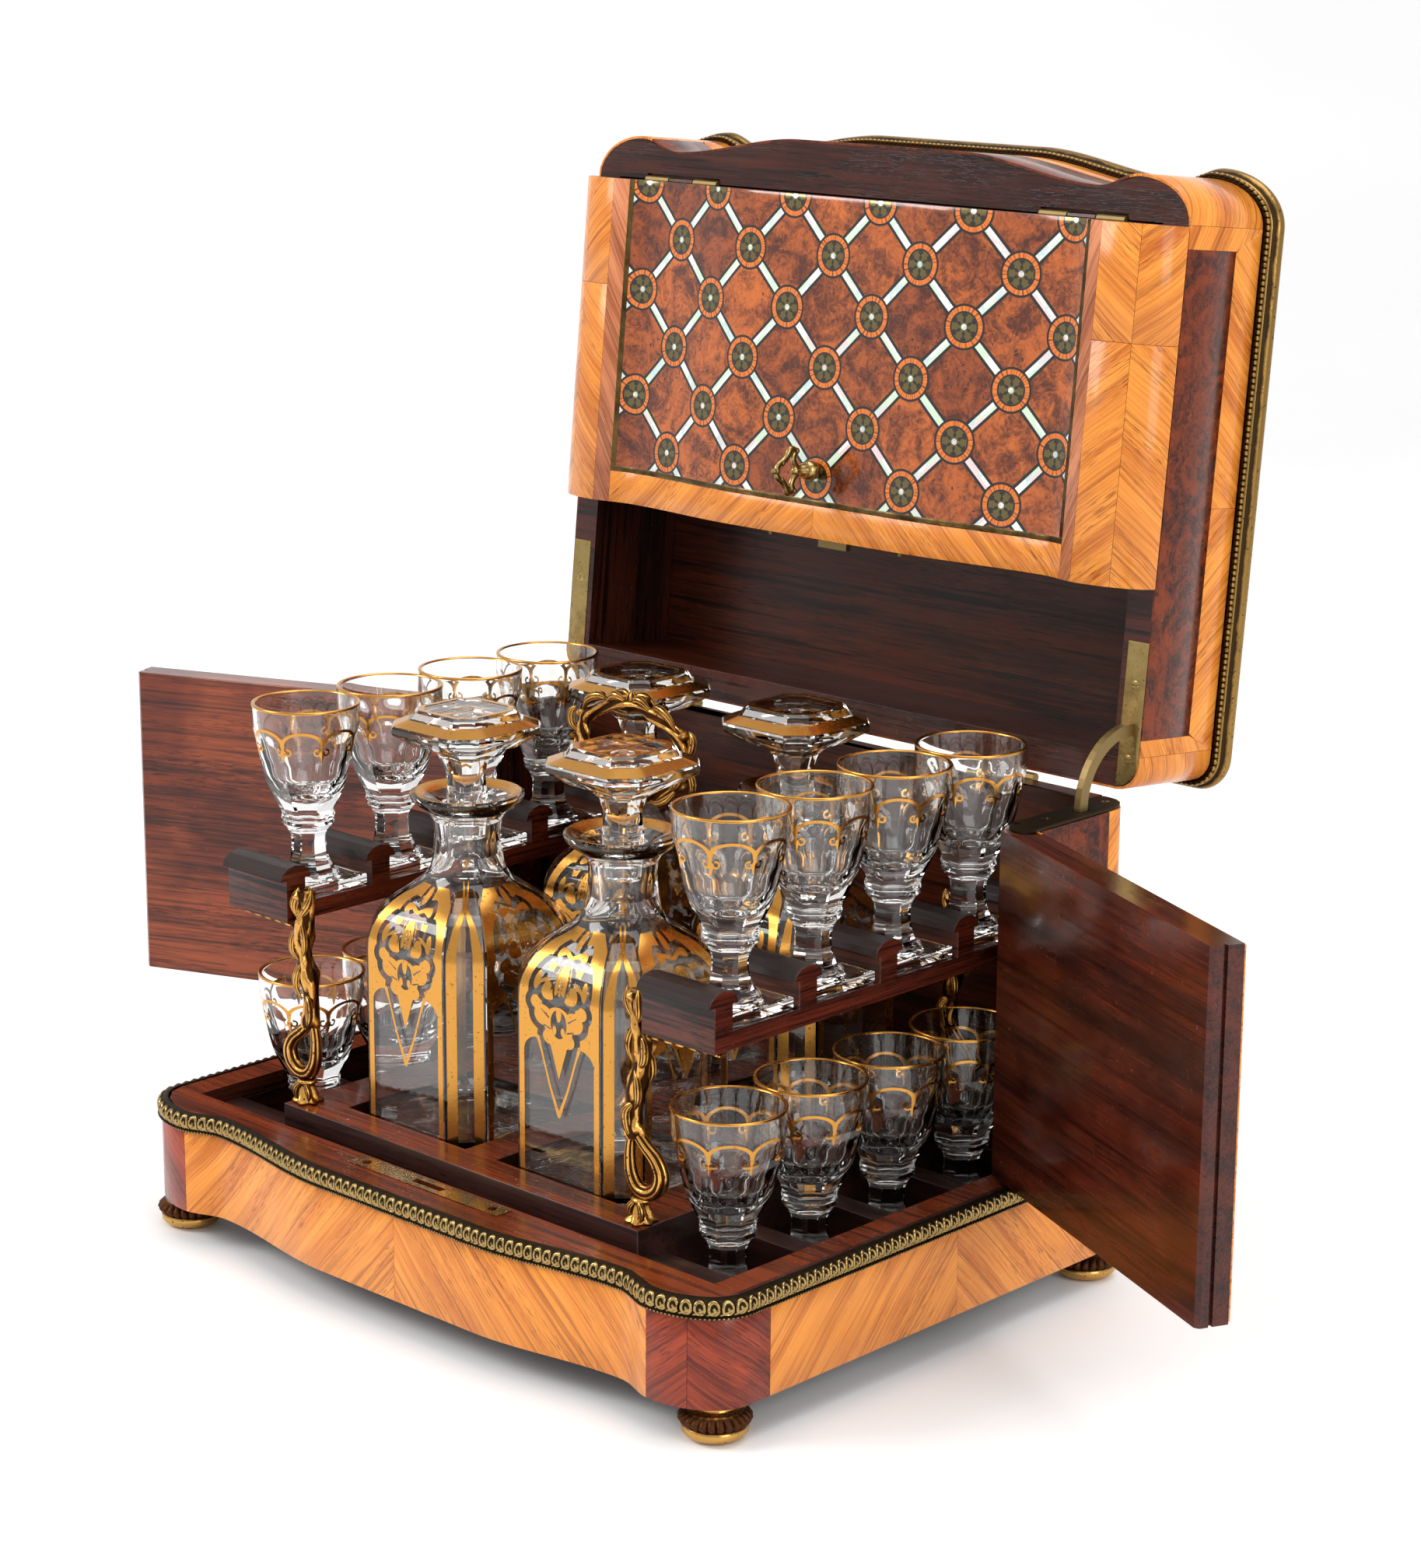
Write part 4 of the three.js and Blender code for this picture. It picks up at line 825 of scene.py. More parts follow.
def burl(name, light, dark, where=position, rough=0.18):
    """Polished burl."""
    material, tree, shader = new_material(
        name, light, Coat_Weight=0.15, Coat_Roughness=0.06, Specular_IOR_Level=0.3)
    figure = group(tree, "Burl figure", {"Vector": where(tree), "Light": light, "Dark": dark})
    polish = group(tree, "Old polish", {"Vector": position(tree), "Roughness": rough, "Wear": 0.4})
    tree.links.new(figure["Color"], shader.inputs["Base Color"])
    tree.links.new(polish["Roughness"], shader.inputs["Roughness"])
    pores = bump(tree, figure["Height"], 0.15, 0.0001)
    tree.links.new(bump(tree, polish["Height"], 0.12, 0.0005, pores), shader.inputs["Normal"])
    return material


def metal(name, bright, dull, dirt=0.5, depth=0.0002):
    """Old metal whose relief attribute says where it is rubbed bright."""
    material, tree, shader = new_material(name, bright, Metallic=1.0)
    relief = add(tree, "ShaderNodeAttribute", attribute_name="relief").outputs["Fac"]
    skin = group(tree, "Patina", {
        "Vector": position(tree), "Relief": relief, "Bright": bright, "Dull": dull, "Dirt": dirt,
    })
    tree.links.new(skin["Color"], shader.inputs["Base Color"])
    tree.links.new(skin["Roughness"], shader.inputs["Roughness"])
    tree.links.new(bump(tree, skin["Height"], 0.35, depth), shader.inputs["Normal"])
    return material


def clear_glass():
    """Clear lead glass with faint waves."""
    material, tree, shader = new_material(
        "Cut glass", (0.9, 0.92, 0.92, 0.3), Transmission_Weight=1.0, IOR=1.5, Roughness=0.0,
    )
    shader.inputs["Base Color"].default_value = (0.985, 0.985, 0.975, 1)
    waves = noise(tree, position(tree), 60.0, 1.0)
    tree.links.new(bump(tree, waves, 0.05, 0.0004), shader.inputs["Normal"])
    return material


def lattice_material():
    """Marquetry: burl diamonds between pearl strips edged with ebony, and a rosette at each crossing.

    UV is x and height in metres. a and b count the two families of slanting lines, so that a rosette
    lies wherever both are whole numbers; the nearest rosette and strip follow from their fractions.
    """
    material, tree, shader = new_material("Marquetry", rgb(150, 75, 30), Coat_Weight=0.4, Coat_Roughness=0.05)
    pitch, row, top = sizes().lattice_pitch / MM, sizes().lattice_row / MM, 202.4
    uv = add(tree, "ShaderNodeSeparateXYZ", {0: flat_uv(tree)}).outputs
    x = calc(tree, "MULTIPLY", uv[0], 1000.0)
    z = calc(tree, "SUBTRACT", calc(tree, "MULTIPLY", uv[1], 1000.0), top)
    across = calc(tree, "DIVIDE", x, pitch)
    up = calc(tree, "DIVIDE", z, 2 * row)
    spans = []
    cells = []
    lines = []
    for operation in ("ADD", "SUBTRACT"):
        value = calc(tree, "SUBTRACT", calc(tree, operation, across, up), 0.5)
        whole = calc(tree, "ROUND", value)
        spans.append(calc(tree, "SUBTRACT", value, whole))
        cells.append(calc(tree, "FLOOR", value))
        lines.append(whole)
    unit = 1 / math.hypot(1 / pitch, 1 / (2 * row))
    apart = [calc(tree, "ABSOLUTE", span) for span in spans]
    strip = calc(tree, "MULTIPLY", calc(tree, "MINIMUM", *apart), unit)
    dx = calc(tree, "MULTIPLY", calc(tree, "ADD", *spans), pitch / 2)
    dz = calc(tree, "MULTIPLY", calc(tree, "SUBTRACT", *spans), row)
    squares = calc(tree, "ADD", calc(tree, "MULTIPLY", dx, dx), calc(tree, "MULTIPLY", dz, dz))
    away = calc(tree, "SQRT", squares)
    bearing = calc(tree, "ARCTAN2", dz, dx)
    cell = add(tree, "ShaderNodeCombineXYZ", {0: cells[0], 1: cells[1]}).outputs[0]
    luck = add(tree, "ShaderNodeTexWhiteNoise", {0: cell}, noise_dimensions="3D").outputs
    place = position(tree)
    figure = group(tree, "Burl figure", {
        "Vector": vector(tree, "ADD", place, luck[1]), "Light": rgb(188, 98, 38), "Dark": rgb(82, 33, 12),
    })
    tone = blend(tree, luck[0], (1.15, 1.1, 1.0, 1), (0.6, 0.48, 0.42, 1))
    color = blend(tree, 1.0, figure["Color"], tone, "MULTIPLY")
    ebony = rgb(26, 22, 20)
    rank = calc(tree, "ADD", calc(tree, "MULTIPLY", lines[0], 3.7), calc(tree, "MULTIPLY", lines[1], 7.3))
    seat = add(tree, "ShaderNodeCombineXYZ", {0: rank, 1: cells[0], 2: cells[1]}).outputs[0]
    hue = add(tree, "ShaderNodeTexWhiteNoise", {0: seat}, noise_dimensions="3D").outputs[0]
    sheen = noise(tree, place, 190.0, 2.0)
    pearl = blend(tree, between(tree, hue, 0.25, 0.45), rgb(206, 226, 200), rgb(244, 244, 236))
    pearl = blend(tree, between(tree, hue, 0.66, 0.8), pearl, rgb(240, 206, 206))
    pearl = blend(tree, between(tree, sheen, 0.5, 0.66), pearl, rgb(196, 216, 214))
    edge = 0.08
    in_line = calc(tree, "SUBTRACT", 1.0, between(tree, strip, 2.75 - edge, 2.75 + edge))
    in_pearl = calc(tree, "SUBTRACT", 1.0, between(tree, strip, 1.45 - edge, 1.45 + edge))
    color = blend(tree, in_line, color, ebony)
    color = blend(tree, in_pearl, color, pearl)

    def within(radius):
        return calc(tree, "SUBTRACT", 1.0, between(tree, away, radius - edge, radius + edge))

    spokes = add(tree, "ShaderNodeCombineXYZ", {
        0: calc(tree, "MULTIPLY", bearing, 7.0), 1: cells[0], 2: cells[1],
    }).outputs[0]
    grain = noise(tree, spokes, 1.0, 3.0, 0.7)
    ring = blend(tree, between(tree, grain, 0.36, 0.56), rgb(96, 36, 12), rgb(232, 122, 40))
    petal = calc(tree, "ABSOLUTE", calc(tree, "COSINE", calc(tree, "MULTIPLY", bearing, 3.0)))
    waist = calc(tree, "COSINE", calc(tree, "MULTIPLY", calc(tree, "SUBTRACT", away, 1.3), 2.5))
    bound = calc(tree, "SUBTRACT", 0.5, calc(tree, "MULTIPLY", waist, 0.24))
    in_petal = between(tree, calc(tree, "SUBTRACT", petal, bound), -0.06, 0.06)
    in_petal = calc(tree, "MULTIPLY", in_petal, within(5.7))
    rosette = blend(tree, in_petal, rgb(34, 30, 24), rgb(116, 102, 62))
    color = blend(tree, within(9.5), color, ebony)
    color = blend(tree, within(8.5), color, ring)
    color = blend(tree, within(6.5), color, rosette)
    color = blend(tree, within(1.3), color, pearl)
    tree.links.new(color, shader.inputs["Base Color"])
    polish = group(tree, "Old polish", {"Vector": place, "Roughness": 0.15, "Wear": 0.35})
    tree.links.new(polish["Roughness"], shader.inputs["Roughness"])
    tree.links.new(calc(tree, "MULTIPLY", in_petal, 0.75), shader.inputs["Metallic"])
    inlay = calc(tree, "ADD", in_line, within(9.5), clamp=True)
    height = calc(tree, "ADD", calc(tree, "MULTIPLY", inlay, 0.4), polish["Height"])
    tree.links.new(bump(tree, height, 0.2, 0.0003), shader.inputs["Normal"])
    return material


MATERIALS = {}


def make_materials():
    """Builds every finish once."""
    looks = MATERIALS
    tints = colours()
    quarter = math.pi / 2
    tilt = math.radians(LID_OPEN)
    king, king_dark = tuple(tints.kingwood), tuple(tints.kingwood_streak)
    rose, rose_dark = tuple(tints.rosewood), tuple(tints.rosewood_streak)
    burl_light, burl_dark = tuple(tints.burl), tuple(tints.burl_shadow)
    # Grain tones of the right door's lining, darkened as painted shade. The left door's lining is the same
    # wood in lighter, lit colours.
    shaded_door_light, shaded_door_dark = rgb(86, 33, 17), rgb(38, 13, 9)
    looks["kingwood"] = wood("Kingwood veneer", king, king_dark, flat_uv, lines=0.45, age=0.15)
    # The strip between the marquetry and the corner's crest is kingwood painted paler and pinker: painted
    # sheen where it faces the light.
    looks["kingwood pink"] = wood("Kingwood strip, painted pale sheen", rgb(214, 136, 92), rgb(156, 84, 46), flat_uv)
    looks["corner"] = wood(
        "Reddish corner veneer", rgb(166, 66, 34), rgb(96, 28, 12), flat_uv, lines=0.4, age=0.6)
    looks["rosewood x"] = wood("Rosewood along X", rose, rose_dark, lines=0.9)
    looks["rosewood y"] = wood("Rosewood along Y", rose, rose_dark, turn=(0, 0, quarter), lines=0.9)
    looks["rosewood z"] = wood("Rosewood upright", rose, rose_dark, turn=(0, quarter, 0), lines=0.9)
    looks["lid side wood"] = wood(
        "Rosewood on the lid's sides", rose, rose_dark, turn=(tilt, 0, quarter), lines=0.9)
    looks["lining"] = wood(
        "Warm rosewood lining", rgb(86, 36, 16), rgb(30, 11, 6), lines=0.8, age=0.6, rough=0.28, coat=0.0)
    looks["strip"] = wood("Reddish tray strip along X", rgb(128, 54, 24), rgb(66, 24, 11), lines=0.6)
    looks["strip y"] = wood(
        "Reddish tray strip along Y", rgb(128, 54, 24), rgb(66, 24, 11), turn=(0, 0, quarter), lines=0.6)
    looks["rail"] = wood("Shelf rail", rgb(96, 38, 22), rgb(40, 15, 11), turn=(0, 0, quarter), lines=0.7)
    looks["cap"] = wood("Dark cap", rgb(46, 25, 20), rgb(15, 9, 9), lines=0.8, rough=0.38, coat=0.0)
    looks["block"] = wood(
        "Striped rosewood block", rgb(98, 48, 34), rgb(20, 11, 10), lines=1.0, rough=0.4, coat=0.0)
    looks["well wood"] = wood("Dark well wood", rgb(58, 31, 25), rgb(22, 12, 10), lines=0.7, rough=0.34)
    # The two door linings are lit and shaded copies of one wood: the right is painted in shade and the left
    # is painted lit.
    looks["door right"] = wood(
        "Right door's lining, painted shaded", shaded_door_light, shaded_door_dark, turn=(0, 0, -math.radians(90 + DOOR_RIGHT_OPEN)),
        lines=0.5, rough=0.16, age=0.9)
    looks["door left"] = wood(
        "Left door's lining, painted lit", rgb(150, 70, 36), rgb(62, 24, 14),
        turn=(0, 0, -math.radians(90 - DOOR_LEFT_OPEN)), lines=0.5, rough=0.16, age=0.9)
    looks["burl"] = burl("Burl veneer", burl_light, burl_dark)
    # Burl of the walls, lid, doors and case sides: the same burl as the lid's top, painted darker as painted
    # shade.
    looks["burl side"] = burl("Burl on the sides, painted in shade", rgb(122, 48, 10), rgb(44, 13, 5))
    looks["marquetry"] = lattice_material()
    looks["ormolu"] = metal("Ormolu", tuple(tints.ormolu), rgb(60, 34, 14), 1.0, 0.0004)
    looks["gilding"] = metal("Gilding on glass", tuple(tints.gilding), rgb(132, 80, 30), 0.35, 0.00008)
    looks["brass"] = metal("Worn brass", tuple(tints.brass), rgb(84, 68, 40), 0.5)
    looks["fitting"] = metal("Brass of the hinges and the stay", rgb(196, 172, 120), rgb(142, 120, 78), 0.6)
    looks["dark brass"] = metal("Patinated brass", rgb(120, 98, 58), rgb(50, 40, 24), 0.6)
    looks["moulding"] = metal("Lid moulding brass", rgb(150, 116, 62), rgb(56, 42, 26), 0.7)
    looks["scrolls"] = metal("Scrolled moulding", rgb(168, 140, 88), rgb(44, 36, 25), 0.8)
    looks["foot gilt"] = metal("Foot gilding", rgb(200, 154, 84), rgb(78, 46, 26), 0.6)
    looks["glass"] = clear_glass()


# Boards and fittings


def dress(names, look):
    """Gives CAD nodes that stay a finish."""
    for name in names:
        node = frame["nodes"][name]
        if not node.material_slots:
            node.data.materials.append(None)
        for slot in node.material_slots:
            slot.link = "OBJECT"
            slot.material = MATERIALS[look]


def by_side(centre, normal):
    """0 where the grain runs along X, 1 on the faces that look to the sides."""
    return (np.abs(normal[:, 0]) > 0.7).astype(int)


def eased(name, looks, choose, ease=0.4, grow=None):
    """A copy of a CAD node, welded, with its edges eased and each face given a look.

    choose(centre, normal) takes arrays in the shut cabinet's millimetres and gives each face the number
    of its look. With grow, the points on the outline drawn out by grow move in by the veneer's bed.
    """
    body = frame["nodes"][name]["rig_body"]
    skin = bmesh.new()
    skin.from_mesh(frame["nodes"][name].data)
    bmesh.ops.remove_doubles(skin, verts=skin.verts, dist=2e-6)
    bmesh.ops.dissolve_limit(skin, angle_limit=math.radians(0.5), verts=skin.verts, edges=skin.edges)
    mesh = bpy.data.meshes.new(name + "_eased")
    skin.to_mesh(mesh)
    skin.free()
    place = np.array(PLACES.get(body, PLACES["root"]))
    back = np.linalg.inv(place[:3, :3]).T
    points = np.empty(len(mesh.vertices) * 3)
    mesh.vertices.foreach_get("co", points)
    bench = (points.reshape(-1, 3) - place[:3, 3]) @ back
    if grow is not None:
        share = np.linspace(0, len(PLAN) - 1, 10 * len(PLAN))
        index = np.arange(len(PLAN))
        line = np.stack([np.interp(share, index, column) for column in (PLAN + OUTWARD * grow).T], 1)
        inward = -BED * np.stack([np.interp(share, index, column) for column in OUTWARD.T], 1)
        gap = np.linalg.norm(np.stack([np.abs(bench[:, 0]), bench[:, 1]], 1)[:, None] - line[None], axis=2)
        step = inward[gap.argmin(1)]
        step[:, 0] *= np.sign(bench[:, 0])
        bench[:, :2] += np.where(gap.min(1) < 0.6, 1, 0)[:, None] * step
    if name == "back_panel":
        bench[:, 2] = np.where(bench[:, 2] > BODY_HIGH - 1, BODY_HIGH + 0.3, bench[:, 2])
    mesh.vertices.foreach_set("co", settled(bench, body).ravel())
    mesh.update()
    mesh.materials.clear()
    for look in looks:
        mesh.materials.append(MATERIALS[look])
    centres = np.empty(len(mesh.polygons) * 3)
    normals = np.empty(len(mesh.polygons) * 3)
    mesh.polygons.foreach_get("center", centres)
    mesh.polygons.foreach_get("normal", normals)
    middles = (centres.reshape(-1, 3) - place[:3, 3]) @ back
    number = choose(middles, normals.reshape(-1, 3) @ place[:3, :3] / MM)
    mesh.polygons.foreach_set("material_index", np.asarray(number, np.int32))
    mesh.shade_smooth()
    mesh.set_sharp_from_angle(angle=math.radians(24))
    thing = bpy.data.objects.new(name + "_eased", mesh)
    bpy.context.scene.collection.objects.link(thing)
    if ease:
        bevel = thing.modifiers.new("Ease", "BEVEL")
        bevel.width = ease * MM
        bevel.segments = 2
        bevel.limit_method = "ANGLE"
        bevel.angle_limit = math.radians(50)
    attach(thing, body)
    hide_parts(name)
    return thing


def carcass_looks():
    """The case's boards, with the wood of each face, and brass for the hinges, plates, lock and stay."""

    def lid_faces(centre, normal):
        rim = normal[:, 2] < -0.7
        side = np.abs(normal[:, 0]) > 0.7
        end = rim & (np.abs(centre[:, 0]) > 149) & (centre[:, 1] > -225)
        return np.where(end | side, 1, np.where(rim, 0, 2))

    def shelf_faces(centre, normal):
        side = np.abs(normal[:, 0]) > 0.7
        high = centre[:, 2]
        return np.where(high > 160.2, 1, np.where(side | (high < 149.7), 2, 0))

    def tray_faces(centre, normal):
        rim = centre[:, 2] > 54.0
        top = rim & (normal[:, 2] > 0.5)
        front = rim & (np.abs(normal[:, 1]) > 0.5) & (np.abs(centre[:, 1] + 122.1) > 98)
        end = rim & (np.abs(normal[:, 0]) > 0.7) & (np.abs(centre[:, 0]) > 100)
        beside = top & (np.abs(centre[:, 0]) > 97)
        return np.where(beside | end, 1, np.where(top | front, 0, 2))

    def always(centre, normal):
        return np.zeros(len(centre), int)

    def top_faces(centre, normal):
        flank = (np.abs(centre[:, 0]) > 151) & (centre[:, 1] > -232)
        return np.where(flank, 1, 0)

    eased("plinth_frame", ("rosewood x", "rosewood y"), by_side, grow=PLINTH_GROW)
    eased("plinth_top", ("strip", "rosewood y"), top_faces)
    eased("well_floor", ("well wood",), always)
    eased("lid_frame", ("rosewood x", "lid side wood", "lining"), lid_faces, grow=0.0)
    eased("lid_top", ("rosewood x", "lining"), lambda centre, normal: (normal[:, 2] < -0.5).astype(int))
    eased("flap_board", ("rosewood x", "lid side wood"), by_side, grow=0.0)
    eased("back_panel", ("lining",), always)
    for name in ("right", "left"):
        eased("post_" + name, ("rosewood z",), always, grow=0.0)
        eased("door_" + name, ("door " + name,), always, grow=0.0)
        eased("shelf_" + name, ("block", "cap", "rail"), shelf_faces)
    eased("caddy_tray", ("strip", "strip y", "well wood"), tray_faces)
    dress(["case_hinge_right", "case_hinge_left", "flap_hinge_right", "flap_hinge_left"], "fitting")
    dress(["lock_case", "lock_bolt", "stay_arm"], "fitting")
    dress(["post_plate_left", "post_plate_right"], "dark brass")


# Veneer


def skirt_walls():
    """Veneer leaves on the plinth: two on the front, corner blocks, two on each side, and the back."""
    piece = Piece("root")
    edge = run_at_x(CREST_AT - 1.5)
    block_middle = run_at_x(152.5)
    block_end = run_at_depth(218)
    joint = run_at_depth(110)
    rear = run_at_depth(15)
    low, high = WALL_LOW, WALL_HIGH

    def put(runs, grain, seed, look=0):
        piece.add(leaf(runs, low, high, grain, seed, PLINTH_GROW), look)

    put((0, edge), -47, 1)
    put((-edge, 0), 47, 2)
    for side in (1, -1):
        put(span(side, edge, block_middle), side * 42, 3 + side, 1)
        put(span(side, block_middle, block_end), -side * 40, 6 + side, 1)
        put(span(side, block_end, joint), side * 46, 9 + side)
        put(span(side, joint, rear), -side * 46, 12 + side)
        put(span(side, rear, GIRTH), side * 0.0, 15 + side)
    piece.finish("plinth_veneer", [MATERIALS["kingwood"], MATERIALS["corner"]], slot="kingwood")


def flap_walls():
    """Veneer on the flap: a band below the marquetry, and three strips at each corner."""
    piece = Piece("flap")
    joint = 156.4
    edge = run_at_x(FIELD_HALF)
    strip_a = run_at_x(136)
    strip_b = run_at_x(153.4)
    end = RUN[FRONT_COUNT - 1]
    piece.add(leaf((0, edge), FLAP_LOW, FIELD_LOW, -42, 21))
    piece.add(leaf((-edge, 0), FLAP_LOW, FIELD_LOW, 42, 22))
    for side in (1, -1):
        # This strip is the kingwood with painted sheen.
        piece.add(leaf(span(side, edge, strip_a), FLAP_LOW, BODY_HIGH, side * 62, 23 + side), 1)
        for low, high, way, seed in ((FLAP_LOW, joint, 1, 26), (joint, BODY_HIGH, -1, 30)):
            piece.add(leaf(span(side, strip_a, strip_b), low, high, way * side * 40, seed + side))
            piece.add(leaf(span(side, strip_b, end), low, high, -way * side * 38, seed + 2 + side))
    piece.finish("flap_veneer", [MATERIALS["kingwood"], MATERIALS["kingwood pink"]], slot="kingwood")


def marquetry_panel():
    """The marquetry field as a smooth sheet with eased edges, and the thin brass strip along its border."""
    piece = Piece("flap")
    x = np.linspace(-FIELD_HALF, FIELD_HALF, 180)
    run = np.sign(x) * np.interp(np.abs(x), PLAN[:FRONT_COUNT, 0], RUN[:FRONT_COUNT])
    heights = np.concatenate([[FIELD_LOW, FIELD_LOW], np.linspace(FIELD_LOW + 0.2, BODY_HIGH - 0.2, 40),
                              [BODY_HIGH, BODY_HIGH, FIELD_LOW]])
    proud = sizes().veneer / MM
    outs = np.concatenate([[BACK, proud - 0.1], np.full(40, proud), [proud - 0.1, BACK, BACK]])
    rings = on_wall(run[:, None], outs[None, :], heights[None, :])
    uv = np.stack([x[:, None] + 0 * heights, heights[None, :] + 0 * x[:, None]], -1) * MM
    piece.add(loft(rings, uv))
    piece.finish("marquetry_face", [MATERIALS["marquetry"]], ["flap_field"], "marquetry")
    strip = Piece("flap")
    wide = 2.4
    side = run_at_x(FIELD_HALF)
    for low, high, runs in (
        (FIELD_LOW, FIELD_LOW + wide, (-side, side)),
        (FIELD_LOW + wide, BODY_HIGH, (side - wide, side)),
        (FIELD_LOW + wide, BODY_HIGH, (-side, wide - side)),
    ):
        strip.add(leaf(runs, low, high, 0, 1, proud=proud + 0.12))
    strip.finish("marquetry_border", [MATERIALS["dark brass"]], slot="dark_brass")


def lid_walls():
    """Veneer on the lid's walls: burl panels inside kingwood bands, mitred at the corners."""
    piece = Piece("lid")
    band, top = 236.1, 252.9
    corner_in = run_at_x(133)
    corner = run_at_x(CREST_AT + 1)
    seam = run_at_depth(229.4)
    front_in = run_at_depth(220)
    rear_in = run_at_depth(24)
    rear = run_at_depth(17)
    joint = run_at_depth(117)
    back_in = GIRTH - 140
    for side in (1, -1):

        def slope(near, far, low, high):
            return lambda run: mix(low, high, np.clip((np.abs(run) - near) / (far - near), 0, 1))

        def dip(run):
            reach = np.abs(run)
            front = np.clip((front_in - reach) / (front_in - seam), 0, 1)
            back = np.clip((reach - rear_in) / (rear - rear_in), 0, 1)
            return mix(band, top - 0.4, np.maximum(front, back))

        def front_dip(run):
            return mix(band, top - 0.4, np.clip((np.abs(run) - corner_in) / (corner - corner_in), 0, 1))

        piece.add(leaf(span(side, 0, corner_in), RIM, band, 0, 41 + side), 1)
        piece.add(leaf(span(side, 0, corner), front_dip, top, 90 - side * 24, 44 + side))
        bevel = slope(corner_in, corner, band, top)
        piece.add(leaf(span(side, corner_in, corner), RIM, bevel, side * 55, 47 + side))
        piece.add(leaf(span(side, corner, seam), RIM, top, -side * 20, 50 + side))
        piece.add(leaf(span(side, front_in, rear_in), RIM, band, 0, 53 + side), 1)
        piece.add(leaf(span(side, seam, joint), dip, top, side * 52, 56 + side))
        piece.add(leaf(span(side, joint, rear), dip, top, -side * 52, 59 + side))
        bevel = slope(seam, front_in, top, band)
        piece.add(leaf(span(side, seam, front_in), RIM, bevel, -side * 28, 62 + side))
        piece.add(leaf(span(side, rear_in, rear), RIM, slope(rear_in, rear, band, top), side * 30, 65 + side))
        piece.add(leaf(span(side, rear, back_in), RIM, top, side * 18, 68 + side))
        piece.add(leaf(span(side, back_in, GIRTH), RIM, top, 4, 71 + side), 1)
    piece.finish("lid_veneer", [MATERIALS["kingwood"], MATERIALS["burl side"]], slot="burl")


def panelled(piece, origin, across, up, size, border, seed):
    """A burl panel inside a kingwood band whose corners are mitred, on a flat face."""
    origin, across, up = (np.asarray(v, float) for v in (origin, across, up))
    wide, tall = size
    inner = (wide - 2 * border, tall - 2 * border)
    piece.add(board(origin + border * (across + up), across, up, inner, 0, seed), 1)
    outer = [
        (origin, across, up, wide), (origin + wide * across, up, -across, tall),
        (origin + wide * across + tall * up, -across, -up, wide), (origin + tall * up, -up, across, tall),
    ]
    for k, (corner, along, inward, long) in enumerate(outer):
        cut = (0, 0, border, border)
        piece.add(board(corner, along, inward, (long, border), 90, seed + 3 * k + 1, cut=cut))


def door_walls():
    """Veneer on the doors' outer faces and on the posts."""
    low, high = 60.6, 202.2
    for side, name in ((1, "right"), (-1, "left")):
        piece = Piece("door_" + name)
        x = side * CASE_HALF
        near, seed = (DOOR_LEAF_FRONT, 81) if side > 0 else (DOOR_LEAF_REAR, 97)
        size = (DOOR_LEAF_FRONT - DOOR_LEAF_REAR, high - low)
        panelled(piece, (x, -near, low), (0, side, 0), (0, 0, 1), size, DOOR_BAND, seed)
        piece.finish(f"door_veneer_{name}", [MATERIALS["kingwood"], MATERIALS["burl side"]], slot="kingwood")
    piece = Piece("root")
    rear = run_at_depth(17)
    for side in (1, -1):
        front = run_at_depth(60.4)
        piece.add(leaf(span(side, front, rear), BODY_LOW, BODY_HIGH - 1.5, 0, 111 + side), 1)
        piece.add(leaf(span(side, rear, GIRTH - 152), BODY_LOW, BODY_HIGH - 1.5, side * 40, 114 + side))
        piece.add(leaf(span(side, GIRTH - 150.4, GIRTH), BODY_LOW, BODY_HIGH - 0.4, 90, 117 + side), 2)
    piece.finish(
        "case_veneer", [MATERIALS["kingwood"], MATERIALS["burl side"], MATERIALS["lining"]], slot="burl")


def lid_crown_panel():
    """Burl on the lid's top inside a kingwood band that follows the outline."""
    piece = Piece("lid")
    high = 263.5
    run = np.linspace(-GIRTH, GIRTH, 400)
    outer = on_wall(run, -1.5, high)
    middle = np.array([0, -126.0, high])
    inner = (outer - middle) * np.array([0.865, 0.83, 1]) + middle
    half = [0, 0, 0.3]
    rows = [outer - half, outer + half, inner + half, inner - half, outer - half]
    rings = np.array(rows).transpose(1, 0, 2)
    across = lengths(rings, 1)
    along = lengths(rings, 0)
    piece.add(loft(rings, np.stack([across, along], -1), ends=False))
    within = inner + (middle - inner) * 0.004
    shares = np.concatenate([[0.0], np.linspace(0, 1, 12)])
    lift = np.where(np.arange(13) == 0, -0.3, 0.3)
    disc = within[None] + (middle - within)[None] * shares[:, None, None]
    disc[..., 2] = high + lift[:, None]
    piece.add(loft(disc, disc[..., :2] * MM), 1)
    piece.finish("lid_top_veneer", [MATERIALS["kingwood"], MATERIALS["burl"]], slot="burl")


# Mouldings and feet


